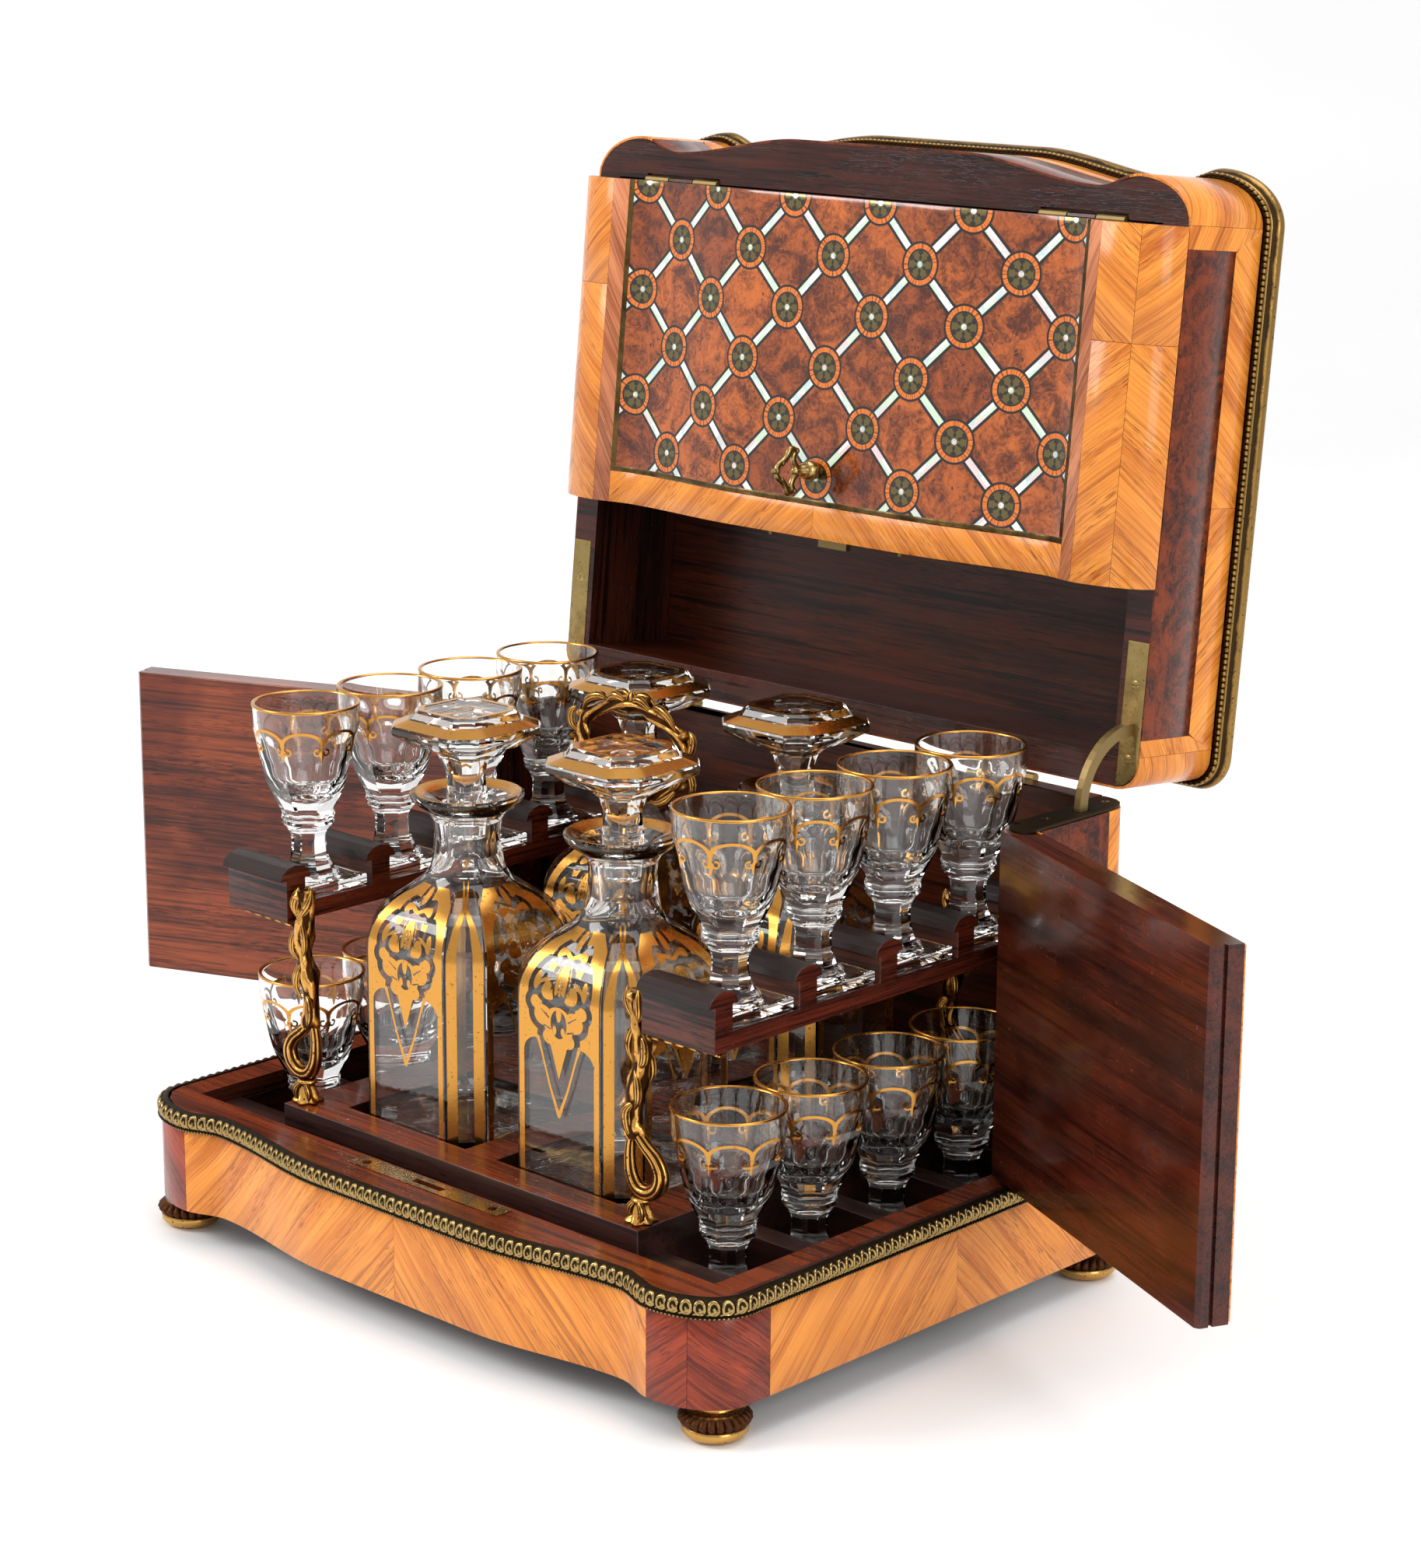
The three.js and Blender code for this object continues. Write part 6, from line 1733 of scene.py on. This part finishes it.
def upright_pieces():
    """Gilt vines at the caddy's corners: a foot, a neck ring, a loop, a trunk with leaves and a strap."""
    low, top = 64.5, 158.0
    for row, y in (("front", -215.25), ("rear", -29.25)):
        for side, name in ((1, "right"), (-1, "left")):
            x = side * 98.5
            piece = Piece("caddy")

            def at(dx, dz, dy=0.0):
                return (x + side * dx, y + dy, low + dz)

            root = np.array([
                [0.3, 0], [5.6, 0], [5.4, 0.9], [4.2, 2.2], [3.6, 4.2], [2.9, 6.8], [2.7, 8.2], [0.2, 8.6],
            ])
            piece.add(lathe(root, 48, (x, y, low), lambda turn, k: 1 + np.where(
                k < 5, 0.2, 0.1) * np.cos(6 * turn + k), [0.2, 0.3, 0.9, 0.8, 0.9, 0.6, 0.3, 0.3]))
            ring = np.array([[0.3, 7.8], [3.3, 7.8], [4.2, 8.5], [4.2, 9.3], [3.3, 10.0], [0.3, 10.2]])
            piece.add(lathe(ring, 28, (x, y, low), None, [0.2, 0.5, 1, 1, 0.5, 0.2]))
            loop = curve_through([
                at(-3.2, 38), at(-5.6, 32), at(-6.2, 25), at(-5.2, 18), at(-1.6, 13.0), at(4.0, 12.2),
                at(9.0, 15.4), at(10.6, 21), at(7.8, 26.4), at(2.4, 30.6), at(-2.6, 35.5), at(-3.4, 40),
            ], 90)
            share = np.linspace(0, 1, 90)
            rings, shown = tube(
                loop, (0, 1, 0), 1.9 + 1.1 * np.sin(math.pi * np.clip(share * 1.15 - 0.1, 0, 1)),
                lambda turn, s: 1 + 0.09 * np.cos(7 * turn + 2 * s), 28,
                lambda turn, s: np.clip(0.6 + 0.5 * np.cos(7 * turn + 2 * s), 0, 1))
            piece.add(loft(rings, relief=shown))
            trunk = curve_through([
                at(-3.0, 33), at(-3.8, 40), at(-3.2, 50), at(-0.6, 60), at(0.8, 70), at(-0.8, 80),
                at(-1.4, 88), at(-0.8, top - low - 1.5),
            ], 110)
            share = np.linspace(0, 1, 110)
            swell = 3.4 + 0.5 * np.sin(7 * math.pi * share) + 0.6 * share
            rings, shown = tube(trunk, (0, 1, 0), swell, knobbly, 26, knobbly_relief)
            piece.add(loft(rings, relief=shown))
            for points, wide in (
                ([(-2.4, 48, -2.2), (-5.6, 44, -3.2), (-5.4, 38, -3.0), (-3.2, 33, -2.6)], 2.3),
                ([(-1.0, 45, -2.8), (1.4, 51, -3.8), (0.8, 57, -3.6), (-1.4, 61, -2.8)], 2.0),
                ([(0.6, 62, -2.8), (3.8, 66, -3.2), (3.6, 72, -2.8), (0.8, 76, -2.2)], 2.1),
                ([(-2.4, 64, -2.6), (-4.0, 70, -3.4), (-2.8, 76, -3.2), (-0.4, 80, -2.6)], 1.9),
                ([(0.0, 80, -2.8), (-4.0, 85, -2.8), (-6.2, 89, -2.0), (-6.4, 93.4, -1.0)], 2.3),
                ([(0.6, 80, -2.8), (1.8, 85, -3.8), (1.0, 90, -3.2), (0.2, 93.4, -2.2)], 2.4),
                ([(0.4, 82, 2.4), (-1.6, 87, 3.0), (-1.0, 91, 2.6), (-0.4, 93.4, 1.6)], 2.2),
                ([(0.8, 54, 2.6), (2.4, 60, 3.2), (1.6, 66, 3.0), (0.2, 70, 2.4)], 2.0),
                ([(-0.6, 10, -2.6), (2.6, 7, -3.4), (3.6, 4, -3.6), (2.6, 0.8, -3.8)], 1.7),
                ([(0.4, 10, -2.0), (-2.8, 7, -2.8), (-4.0, 4, -2.8), (-3.6, 0.8, -2.8)], 1.6),
            ):
                path = [at(dx, dz, dy) for dx, dz, dy in points]
                piece.add(blade(path, wide, 1.2))
            near = np.array([x, y, low + 75.2])
            far = np.array([side * 140.6, y, 140.8])
            strap = near + np.linspace(0, 1, 40)[:, None] * (far - near)
            rings, shown = tube(
                strap, (0, 1, 0), np.full(40, 1.05),
                lambda turn, s: 1 / np.sqrt(np.sin(turn) ** 2 * 0.3 + np.cos(turn) ** 2 * 3.0), 14,
                lambda turn, s: 0.5 + 0.4 * np.abs(np.cos(turn)) + 0.1 * np.sin(40 * s))
            piece.add(loft(rings, relief=shown))
            node = f"upright_{row}_{name}"
            piece.finish(f"{node}_cast", [MATERIALS["ormolu"]], [node], "ormolu", sharp=60)


def carrying_ring_piece():
    """The carrying ring: an oval of ribbed scrolls with leaves and a finial, on a rod with a leafy knop."""
    piece = Piece("caddy")
    y = -122.0
    middle = 217.0
    turn = np.linspace(0, TAU, 201)
    wide = 31.0 + 1.4 * np.cos(2 * turn) - 1.6 * np.cos(4 * turn)
    high = 18.0 + 1.2 * np.cos(4 * turn)
    path = np.stack([wide * np.sin(turn), np.full_like(turn, y), middle + high * np.cos(turn)], 1)
    swell = 2.4 + 0.5 * np.abs(np.cos(2 * turn)) + 0.3 * np.cos(9 * turn + 1) + 0.2 * np.cos(14 * turn)
    rings, shown = tube(
        path, (0, 1, 0), swell,
        lambda angle, s: 1 + 0.16 * np.cos(4 * angle + 9 * TAU * s) + 0.03 * np.cos(31 * TAU * s), 22,
        lambda angle, s: np.clip(0.55 + 0.45 * np.cos(4 * angle + 9 * TAU * s), 0, 1))
    rings[-1] = rings[0]
    piece.add(loft(rings, relief=shown, ends=False))
    for side in (1, -1):
        for points in (
            [(30, 2, 0), (34, 5, -0.6), (35, 10, -0.4), (32.5, 13, 0)],
            [(30, -2, 0), (34, -5, -0.6), (35, -10, -0.4), (32.5, -13, 0)],
            [(27, 12, -1.6), (23, 17.5, -2.4), (17, 20, -2.0), (12, 19, -1.2)],
            [(27, -12, -1.6), (23, -16.5, -2.4), (17, -19.5, -2.0), (11, -18.6, -1.2)],
            [(14, 17, 1.6), (9, 21.5, 1.8), (4, 22.5, 1.0), (1, 20.5, 0)],
            [(14, 17, -1.6), (9, 21.0, -2.4), (5, 21.5, -2.4), (1, 19.5, -1.6)],
            [(24, 13, 1.6), (28, 10, 2.6), (31, 5, 2.2), (31.5, 0, 1.4)],
            [(24, -13, -1.6), (28, -10, -2.6), (31, -5, -2.2), (31.5, 0, -1.4)],
            [(12, -17, -1.6), (7, -20.5, -2.4), (3, -20.5, -2.2), (0, -19, -1.4)],
        ):
            piece.add(blade([(side * dx, y + dy, middle + dz) for dx, dz, dy in points], 2.0, 1.3))
        for dx, dz in ((33.6, 0), (29.5, 10.5), (29.5, -10.5), (18, 19.6), (8.6, 21.4)):
            piece.add(lump((side * dx, y, middle + dz), (1.9, 2.6, 1.9), 0, 0, 0))
    piece.add(lump((0, y, middle + 20.4), (2.6, 2.2, 4.0), 0, 6, 0.14))
    rod = np.array([
        [0.3, 64.6], [7.4, 64.6], [7.2, 65.6], [5.4, 67.4], [3.6, 70.2], [3.1, 74], [3.1, 176], [4.4, 178.4],
        [5.4, 180.6], [4.0, 183.6], [3.2, 186.0], [3.2, 190], [5.2, 193.4], [5.9, 196.4], [4.6, 199.6],
        [2.4, 201.0], [0.3, 201.4],
    ])
    shine = [0.2, 0.4, 0.8, 0.9, 0.7, 0.6, 0.6, 0.8, 1, 0.7, 0.5, 0.6, 0.9, 1, 0.7, 0.5, 0.3]
    piece.add(lathe(rod, 36, (0, y, 0), lambda angle, k: 1 + np.where((k > 10) & (k < 15), 0.12, 0.0)
                    * np.cos(6 * angle), shine))
    piece.finish("carrying_ring_cast", [MATERIALS["ormolu"]], ["carrying_ring"], "ormolu", sharp=60)


def key_piece():
    """The key: a shank with a ball and cone collar, and a lyre bow with curled ends and a double ball."""
    piece = Piece("key")
    height = FLAP_LOW + 29.0
    front = -CENTRE_DEPTH
    tip = -234.6
    collar = front - 13.0
    shank = np.array([
        [0.3, 0], [2.35, 0.2], [2.35, 9], [2.35, 17.4], [2.5, 18.0], [4.0, 18.8], [4.3, 21.4], [3.9, 23.6],
        [2.2, 24.6], [3.2, 25.2], [2.6, 27.4], [1.5, 29.2], [1.9, 30.2], [1.9, 31.2],
        [0.9, 32.2], [0.2, 32.4],
    ])
    turn = np.linspace(0, TAU, 25)[None, :]
    rings = np.stack([
        shank[:, :1] * np.cos(turn), tip - shank[:, 1:] + 0 * turn, height + shank[:, :1] * np.sin(turn),
    ], -1)
    shine = np.array([0.3, 0.4, 0.5, 0.6, 0.6, 0.9, 1, 0.9, 0.3, 0.8, 0.9, 0.6, 0.8, 1, 0.7, 0.5])
    piece.add(loft(rings, relief=shine[:, None] * np.ones_like(turn)))
    bit = [np.array([[-1, tip - 0.4, height + z], [1, tip - 0.4, height + z], [1, tip - 2.4, height + z],
                     [-1, tip - 2.4, height + z], [-1, tip - 0.4, height + z]]) for z in (0.5, -6.7)]
    piece.add(loft(np.array(bit)))
    end = collar - 15.0
    for side in (1, -1):
        arm = curve_through([
            (0, collar + 1.5, height + side * 1.0), (0, collar - 1.0, height + side * 3.0),
            (0, collar - 2.2, height + side * 5.6), (0, collar - 1.4, height + side * 8.2),
            (0, collar - 4.2, height + side * 9.0), (0, collar - 6.0, height + side * 6.4),
            (0, collar - 8.2, height + side * 4.2), (0, collar - 11.0, height + side * 2.6),
            (0, collar - 12.2, height + side * 0.6),
        ], 60)
        share = np.linspace(0, 1, 60)
        rings, shown = tube(arm, (1, 0, 0), 1.05 + 0.35 * np.sin(math.pi * share),
                            lambda angle, s: 1 + 0.15 * np.cos(2 * angle), 14,
                            lambda angle, s: np.clip(0.6 + 0.4 * np.cos(2 * angle), 0, 1))
        piece.add(loft(rings, relief=shown))
        piece.add(lump((0, collar - 0.6, height + side * 8.4), (1.4, 1.5, 1.5)))
        piece.add(lump((0, collar - 8.8, height + side * 3.4), (1.3, 1.4, 1.4)))
    piece.add(lump((0, end + 3.0, height), (1.6, 1.7, 1.6)))
    piece.add(lump((0, end + 1.4, height), (1.2, 1.3, 1.3)))
    piece.finish("key_cast", [MATERIALS["brass"]], ["key"], "ormolu", sharp=60)


def screw(piece, centre, outward, radius=1.7, slot_turn=0.4):
    """A slotted round-headed screw: a low dome with a groove across it."""
    outward = np.asarray(outward, float)
    helper = np.array([1.0, 0, 0]) if abs(outward[0]) < 0.9 else np.array([0, 1.0, 0])
    across = np.cross(outward, helper)
    across /= np.linalg.norm(across)
    up = np.cross(outward, across)
    turn = np.linspace(0, TAU, 33)[None, :]
    share = np.linspace(0, 1, 12)[:, None]
    reach = radius * (1 - share)
    rise = 0.35 * np.sqrt(np.clip(1 - (1 - share) ** 2 * 0.9, 0, 1))
    local_x = reach * np.cos(turn)
    local_y = reach * np.sin(turn)
    groove = np.abs(local_x * math.sin(slot_turn) - local_y * math.cos(slot_turn)) < radius * 0.16
    rise = np.where(groove & (share > 0.12), 0.02, rise * np.ones_like(turn))
    rings = (np.asarray(centre, float) + local_x[..., None] * across + local_y[..., None] * up
             + rise[..., None] * outward)
    base = rings[:1] - 0.4 * outward
    relief = np.concatenate([np.zeros((1, 33)), np.where(groove, 0.0, 0.9)])
    piece.add(loft(np.concatenate([base, rings]), relief=relief))


def small_mounts():
    """Brass trims: the lid's rim plates, the strike plate in the plinth, and their screws."""
    rim = Piece("lid")
    outline = np.array([
        (154.2, -63.5), (164.4, -63.5), (164.4, -14.0), (163.6, -10.6), (161.6, -7.6), (158.6, -5.2),
        (154.2, -4.2), (154.2, -63.5),
    ])
    middle = np.array([159.3, -34.0])
    for side in (1, -1):
        rows = []
        for high, share in ((203.95, 0.98), (203.62, 1.0), (203.55, 0.985), (203.55, 0.01)):
            flat = (middle + (outline - middle) * share)[::-side] * (side, 1)
            rows.append(np.column_stack([flat, np.full(len(flat), high)]))
        rim.add(loft(np.array(rows), relief=np.full((4, 8), 0.6)))
        for y in (-46.0, -15.5):
            screw(rim, (side * 159.4, y, 203.7), (0, 0, -1), 1.9, 0.6 + side)
    rim.finish("rim_plates", [MATERIALS["brass"]], (), "brass", sharp=40)
    posts = Piece("root")
    for side in (1, -1):
        for y in (-9.5, -48.0):
            screw(posts, (side * 157.2, y, BODY_HIGH - 0.2), (0, 0, 1), 2.0, 0.9 * side)
    posts.finish("post_screws", [MATERIALS["dark brass"]], (), "dark_brass", sharp=40)

    def strike(u, v):
        plate = np.maximum(np.abs(u) - 44.0, np.abs(v) - 4.6)
        slot = np.maximum(np.abs(u) - 8.4, np.abs(v) - 1.6)
        pins = np.hypot(np.abs(u) - 37, v) - 1.9
        return np.maximum(plate, -np.minimum(slot, pins))

    points, faces = cutout(strike, (-44.5, 44.5), (-5, 5), (179, 41))
    skin = np.stack([points[:, 0], points[:, 1] - 236.1, np.full(len(points), PLINTH_TOP_HIGH + 0.3)], 1)
    Piece("root").add(film(skin, faces, points, 0.75)).finish(
        "strike_plate", [MATERIALS["fitting"]], (), "brass")


# Stage


def studio():
    """A pale floor that curves up into a backdrop, soft lights and the photograph's camera.

    The floor's section is flat, then a quarter circle, then upright.
    """
    scene = bpy.context.scene
    scene.view_settings.view_transform = "Standard"
    turn = np.linspace(0, math.pi / 2, 24)
    bend = np.stack([2.2 + 1.2 * np.sin(turn), 1.2 - 1.2 * np.cos(turn)], 1)
    section = np.concatenate([[[-6.0, 0.0]], bend, [[3.4, 6.0]]])
    x = np.linspace(-9, 9, 3)
    look = math.radians(CAMERA_YAW)
    across = np.array([math.cos(look), math.sin(look)])
    away = np.array([-math.sin(look), math.cos(look)])
    flat = x[None, :, None] * across + section[:, None, :1] * away
    points = np.concatenate([flat, np.broadcast_to(section[:, None, 1:], (*flat.shape[:2], 1))], -1)
    mesh = bpy.data.meshes.new("floor")
    mesh.from_pydata(points.reshape(-1, 3).tolist(), [], grid_faces(*points.shape[:2]).tolist())
    mesh.shade_smooth()
    material, tree, shader = new_material("Pale floor", (0.9, 0.9, 0.9, 1), Roughness=0.6)
    grain = noise(tree, position(tree), 3.0, 3.0)
    color = blend(tree, between(tree, grain, 0.3, 0.7), (0.93, 0.93, 0.93, 1), (0.95, 0.95, 0.95, 1))
    tree.links.new(color, shader.inputs["Base Color"])
    mesh.materials.append(material)
    floor = bpy.data.objects.new("floor", mesh)
    scene.collection.objects.link(floor)

    world = scene.world or bpy.data.worlds.new("World")
    scene.world = world
    world.use_nodes = True
    background = world.node_tree.nodes["Background"]
    background.inputs[0].default_value = (1.0, 1.0, 1.0, 1)
    background.inputs[1].default_value = 0.8

    def soft_light(name, place, target, size, power):
        light = bpy.data.lights.new(name, "AREA")
        light.shape = "RECTANGLE"
        light.size, light.size_y = size
        light.energy = power
        lamp = bpy.data.objects.new(name, light)
        lamp.location = place
        way = Vector(target) - Vector(place)
        lamp.rotation_euler = way.to_track_quat("-Z", "Y").to_euler()
        scene.collection.objects.link(lamp)

    soft_light("key light", (-1.5, -1.7, 1.7), (0, 0, 0.15), (1.2, 1.0), 34)
    soft_light("fill light", (2.2, -0.5, 1.1), (0, 0, 0.2), (1.0, 1.4), 18)
    soft_light("top light", (0.2, 0.3, 2.2), (0, 0, 0.2), (1.6, 1.6), 22)

    yaw, pitch, roll = (math.radians(v) for v in (CAMERA_YAW, CAMERA_PITCH, CAMERA_ROLL))
    ahead = Vector((-math.sin(yaw) * math.cos(pitch), math.cos(yaw) * math.cos(pitch), math.sin(pitch)))
    right = Vector((math.cos(yaw), math.sin(yaw), 0))
    up = right.cross(ahead)
    right_rolled = right * math.cos(roll) + up * math.sin(roll)
    up_rolled = up * math.cos(roll) - right * math.sin(roll)
    data = bpy.data.cameras.new("photo camera")
    data.sensor_width = 36.0
    data.lens = CAMERA_LENS
    camera = bpy.data.objects.new("photo camera", data)
    turn_matrix = Matrix((right_rolled, up_rolled, -ahead)).transposed()
    camera.matrix_world = Matrix.Translation(CAMERA_PLACE) @ turn_matrix.to_4x4()
    scene.collection.objects.link(camera)
    scene.camera = camera


# Settings


def sizes():
    """The sizes that a user sets in the panel."""
    return bpy.context.scene.cabinet_sizes


def colours():
    """The colours that a user sets in the panel."""
    return bpy.context.scene.cabinet_colours


def length(name, description, default, precision=5):
    """A length that a user can set."""
    return FloatProperty(
        name=name, description=description, default=default, unit="LENGTH", precision=precision)


def tint(name, description, red, green, blue):
    """A colour that a user can set."""
    return FloatVectorProperty(
        name=name, description=description, subtype="COLOR", size=4, min=0, max=1,
        default=rgb(red, green, blue))


class CabinetSizes(PropertyGroup):
    """Sizes that a user would change"""

    veneer: length("Veneer", "How far the veneer stands out from the CAD faces", 0.0)
    joint: length("Veneer joint", "Gap between two leaves of veneer", 0.14 * MM)
    lattice_pitch: length(
        "Lattice width", "Distance between rosettes in one row of the marquetry", 47.6 * MM, 4)
    lattice_row: length("Lattice row", "Height between rows of rosettes", 23.4 * MM, 4)
    bead_pitch: length("Bead pitch", "Distance between beads of the lid's moulding", 2.45 * MM)
    leaf_pitch: length("Leaf pitch", "Distance between leaves of the plinth's moulding", 4.4 * MM, 4)
    gilding: length("Gilding lift", "How far gilding lies off the glass", 0.12 * MM)


class CabinetColours(PropertyGroup):
    """Colours that a user would change"""

    kingwood: tint("Kingwood", "Ground of the light veneer", 236, 150, 60)
    kingwood_streak: tint("Kingwood streak", "Streaks of the light veneer", 186, 98, 32)
    rosewood: tint("Rosewood", "Ground of the dark boards", 78, 33, 21)
    rosewood_streak: tint("Rosewood streak", "Stripes of the dark boards", 30, 13, 10)
    burl: tint("Burl", "Light clouds of the burl", 164, 72, 18)
    burl_shadow: tint("Burl shadow", "Dark clouds of the burl", 70, 20, 5)
    ormolu: tint("Ormolu", "Gilt bronze where it is rubbed", 212, 156, 80)
    gilding: tint("Gilding", "Gold on the glass", 204, 146, 68)
    brass: tint("Brass", "Plates, stay and key", 170, 146, 92)


# Steps


class CABINET_OT_finishes(Operator):
    """Build the woods, marquetry, metals, gilding and glass"""

    bl_idname = "cabinet.finishes"
    bl_label = "Finishes"

    def execute(self, context):
        make_materials()
        return {"FINISHED"}


class CABINET_OT_stage(Operator):
    """Set the pale floor, the soft lights and the camera"""

    bl_idname = "cabinet.stage"
    bl_label = "Stage"

    def execute(self, context):
        studio()
        return {"FINISHED"}


class CABINET_OT_boards(Operator):
    """Ease the boards of the case, the lid, the flap, the doors and the caddy, and finish the fittings"""

    bl_idname = "cabinet.boards"
    bl_label = "Boards and fittings"

    def execute(self, context):
        carcass_looks()
        return {"FINISHED"}


class CABINET_OT_plinth(Operator):
    """Veneer the plinth and set its moulding and feet"""

    bl_idname = "cabinet.plinth"
    bl_label = "Plinth"

    def execute(self, context):
        skirt_walls()
        plinth_moulding_piece()
        feet_pieces()
        return {"FINISHED"}


class CABINET_OT_case(Operator):
    """Veneer the doors, the posts and the back"""

    bl_idname = "cabinet.case"
    bl_label = "Doors and posts"

    def execute(self, context):
        door_walls()
        return {"FINISHED"}


class CABINET_OT_flap(Operator):
    """Veneer the flap round its marquetry"""

    bl_idname = "cabinet.flap"
    bl_label = "Flap"

    def execute(self, context):
        flap_walls()
        marquetry_panel()
        return {"FINISHED"}


class CABINET_OT_lid(Operator):
    """Veneer the lid and set its moulding"""

    bl_idname = "cabinet.lid"
    bl_label = "Lid"

    def execute(self, context):
        lid_walls()
        lid_crown_panel()
        lid_moulding_piece()
        return {"FINISHED"}


class CABINET_OT_glasses(Operator):
    """Cut and gild the sixteen glasses"""

    bl_idname = "cabinet.glasses"
    bl_label = "Glasses"

    def execute(self, context):
        glassware_pieces()
        return {"FINISHED"}


class CABINET_OT_decanters(Operator):
    """Cut and gild the four decanters and their stoppers"""

    bl_idname = "cabinet.decanters"
    bl_label = "Decanters and stoppers"

    def execute(self, context):
        bottle_pieces()
        return {"FINISHED"}


class CABINET_OT_caddy(Operator):
    """Cast the caddy's uprights and its carrying ring"""

    bl_idname = "cabinet.caddy"
    bl_label = "Caddy's mounts"

    def execute(self, context):
        upright_pieces()
        carrying_ring_piece()
        return {"FINISHED"}


class CABINET_OT_trims(Operator):
    """Make the key, the plates and the screws"""

    bl_idname = "cabinet.trims"
    bl_label = "Key, plates and screws"

    def execute(self, context):
        key_piece()
        small_mounts()
        return {"FINISHED"}


STEPS = (
    CABINET_OT_finishes, CABINET_OT_stage, CABINET_OT_boards, CABINET_OT_plinth, CABINET_OT_case,
    CABINET_OT_flap, CABINET_OT_lid, CABINET_OT_glasses, CABINET_OT_decanters, CABINET_OT_caddy,
    CABINET_OT_trims,
)


class CABINET_PT_pieces(Panel):
    """Lists the cabinet's steps and what can be set"""

    bl_idname = "CABINET_PT_pieces"
    bl_label = "Liqueur cabinet"
    bl_space_type = "VIEW_3D"
    bl_region_type = "UI"
    bl_category = "Cabinet"

    def draw(self, context):
        layout = self.layout
        for step in STEPS:
            layout.operator(step.bl_idname)
        for group_of in (context.scene.cabinet_sizes, context.scene.cabinet_colours):
            for name in group_of.bl_rna.properties.keys():
                if name not in ("rna_type", "name"):
                    layout.prop(group_of, name)


def register():
    """Registers the classes and hangs the settings on the scene."""
    for item in (CabinetSizes, CabinetColours, *STEPS, CABINET_PT_pieces):
        bpy.utils.register_class(item)
    bpy.types.Scene.cabinet_sizes = PointerProperty(type=CabinetSizes)
    bpy.types.Scene.cabinet_colours = PointerProperty(type=CabinetColours)


def unregister():
    """Takes the settings off the scene and the classes out."""
    del bpy.types.Scene.cabinet_sizes
    del bpy.types.Scene.cabinet_colours
    for item in reversed((CabinetSizes, CabinetColours, *STEPS, CABINET_PT_pieces)):
        bpy.utils.unregister_class(item)


def main():
    """Registers the add-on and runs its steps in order."""
    register()
    for step in STEPS:
        package, name = step.bl_idname.split(".")
        getattr(getattr(bpy.ops, package), name)()


if __name__ == "__main__":
    main()
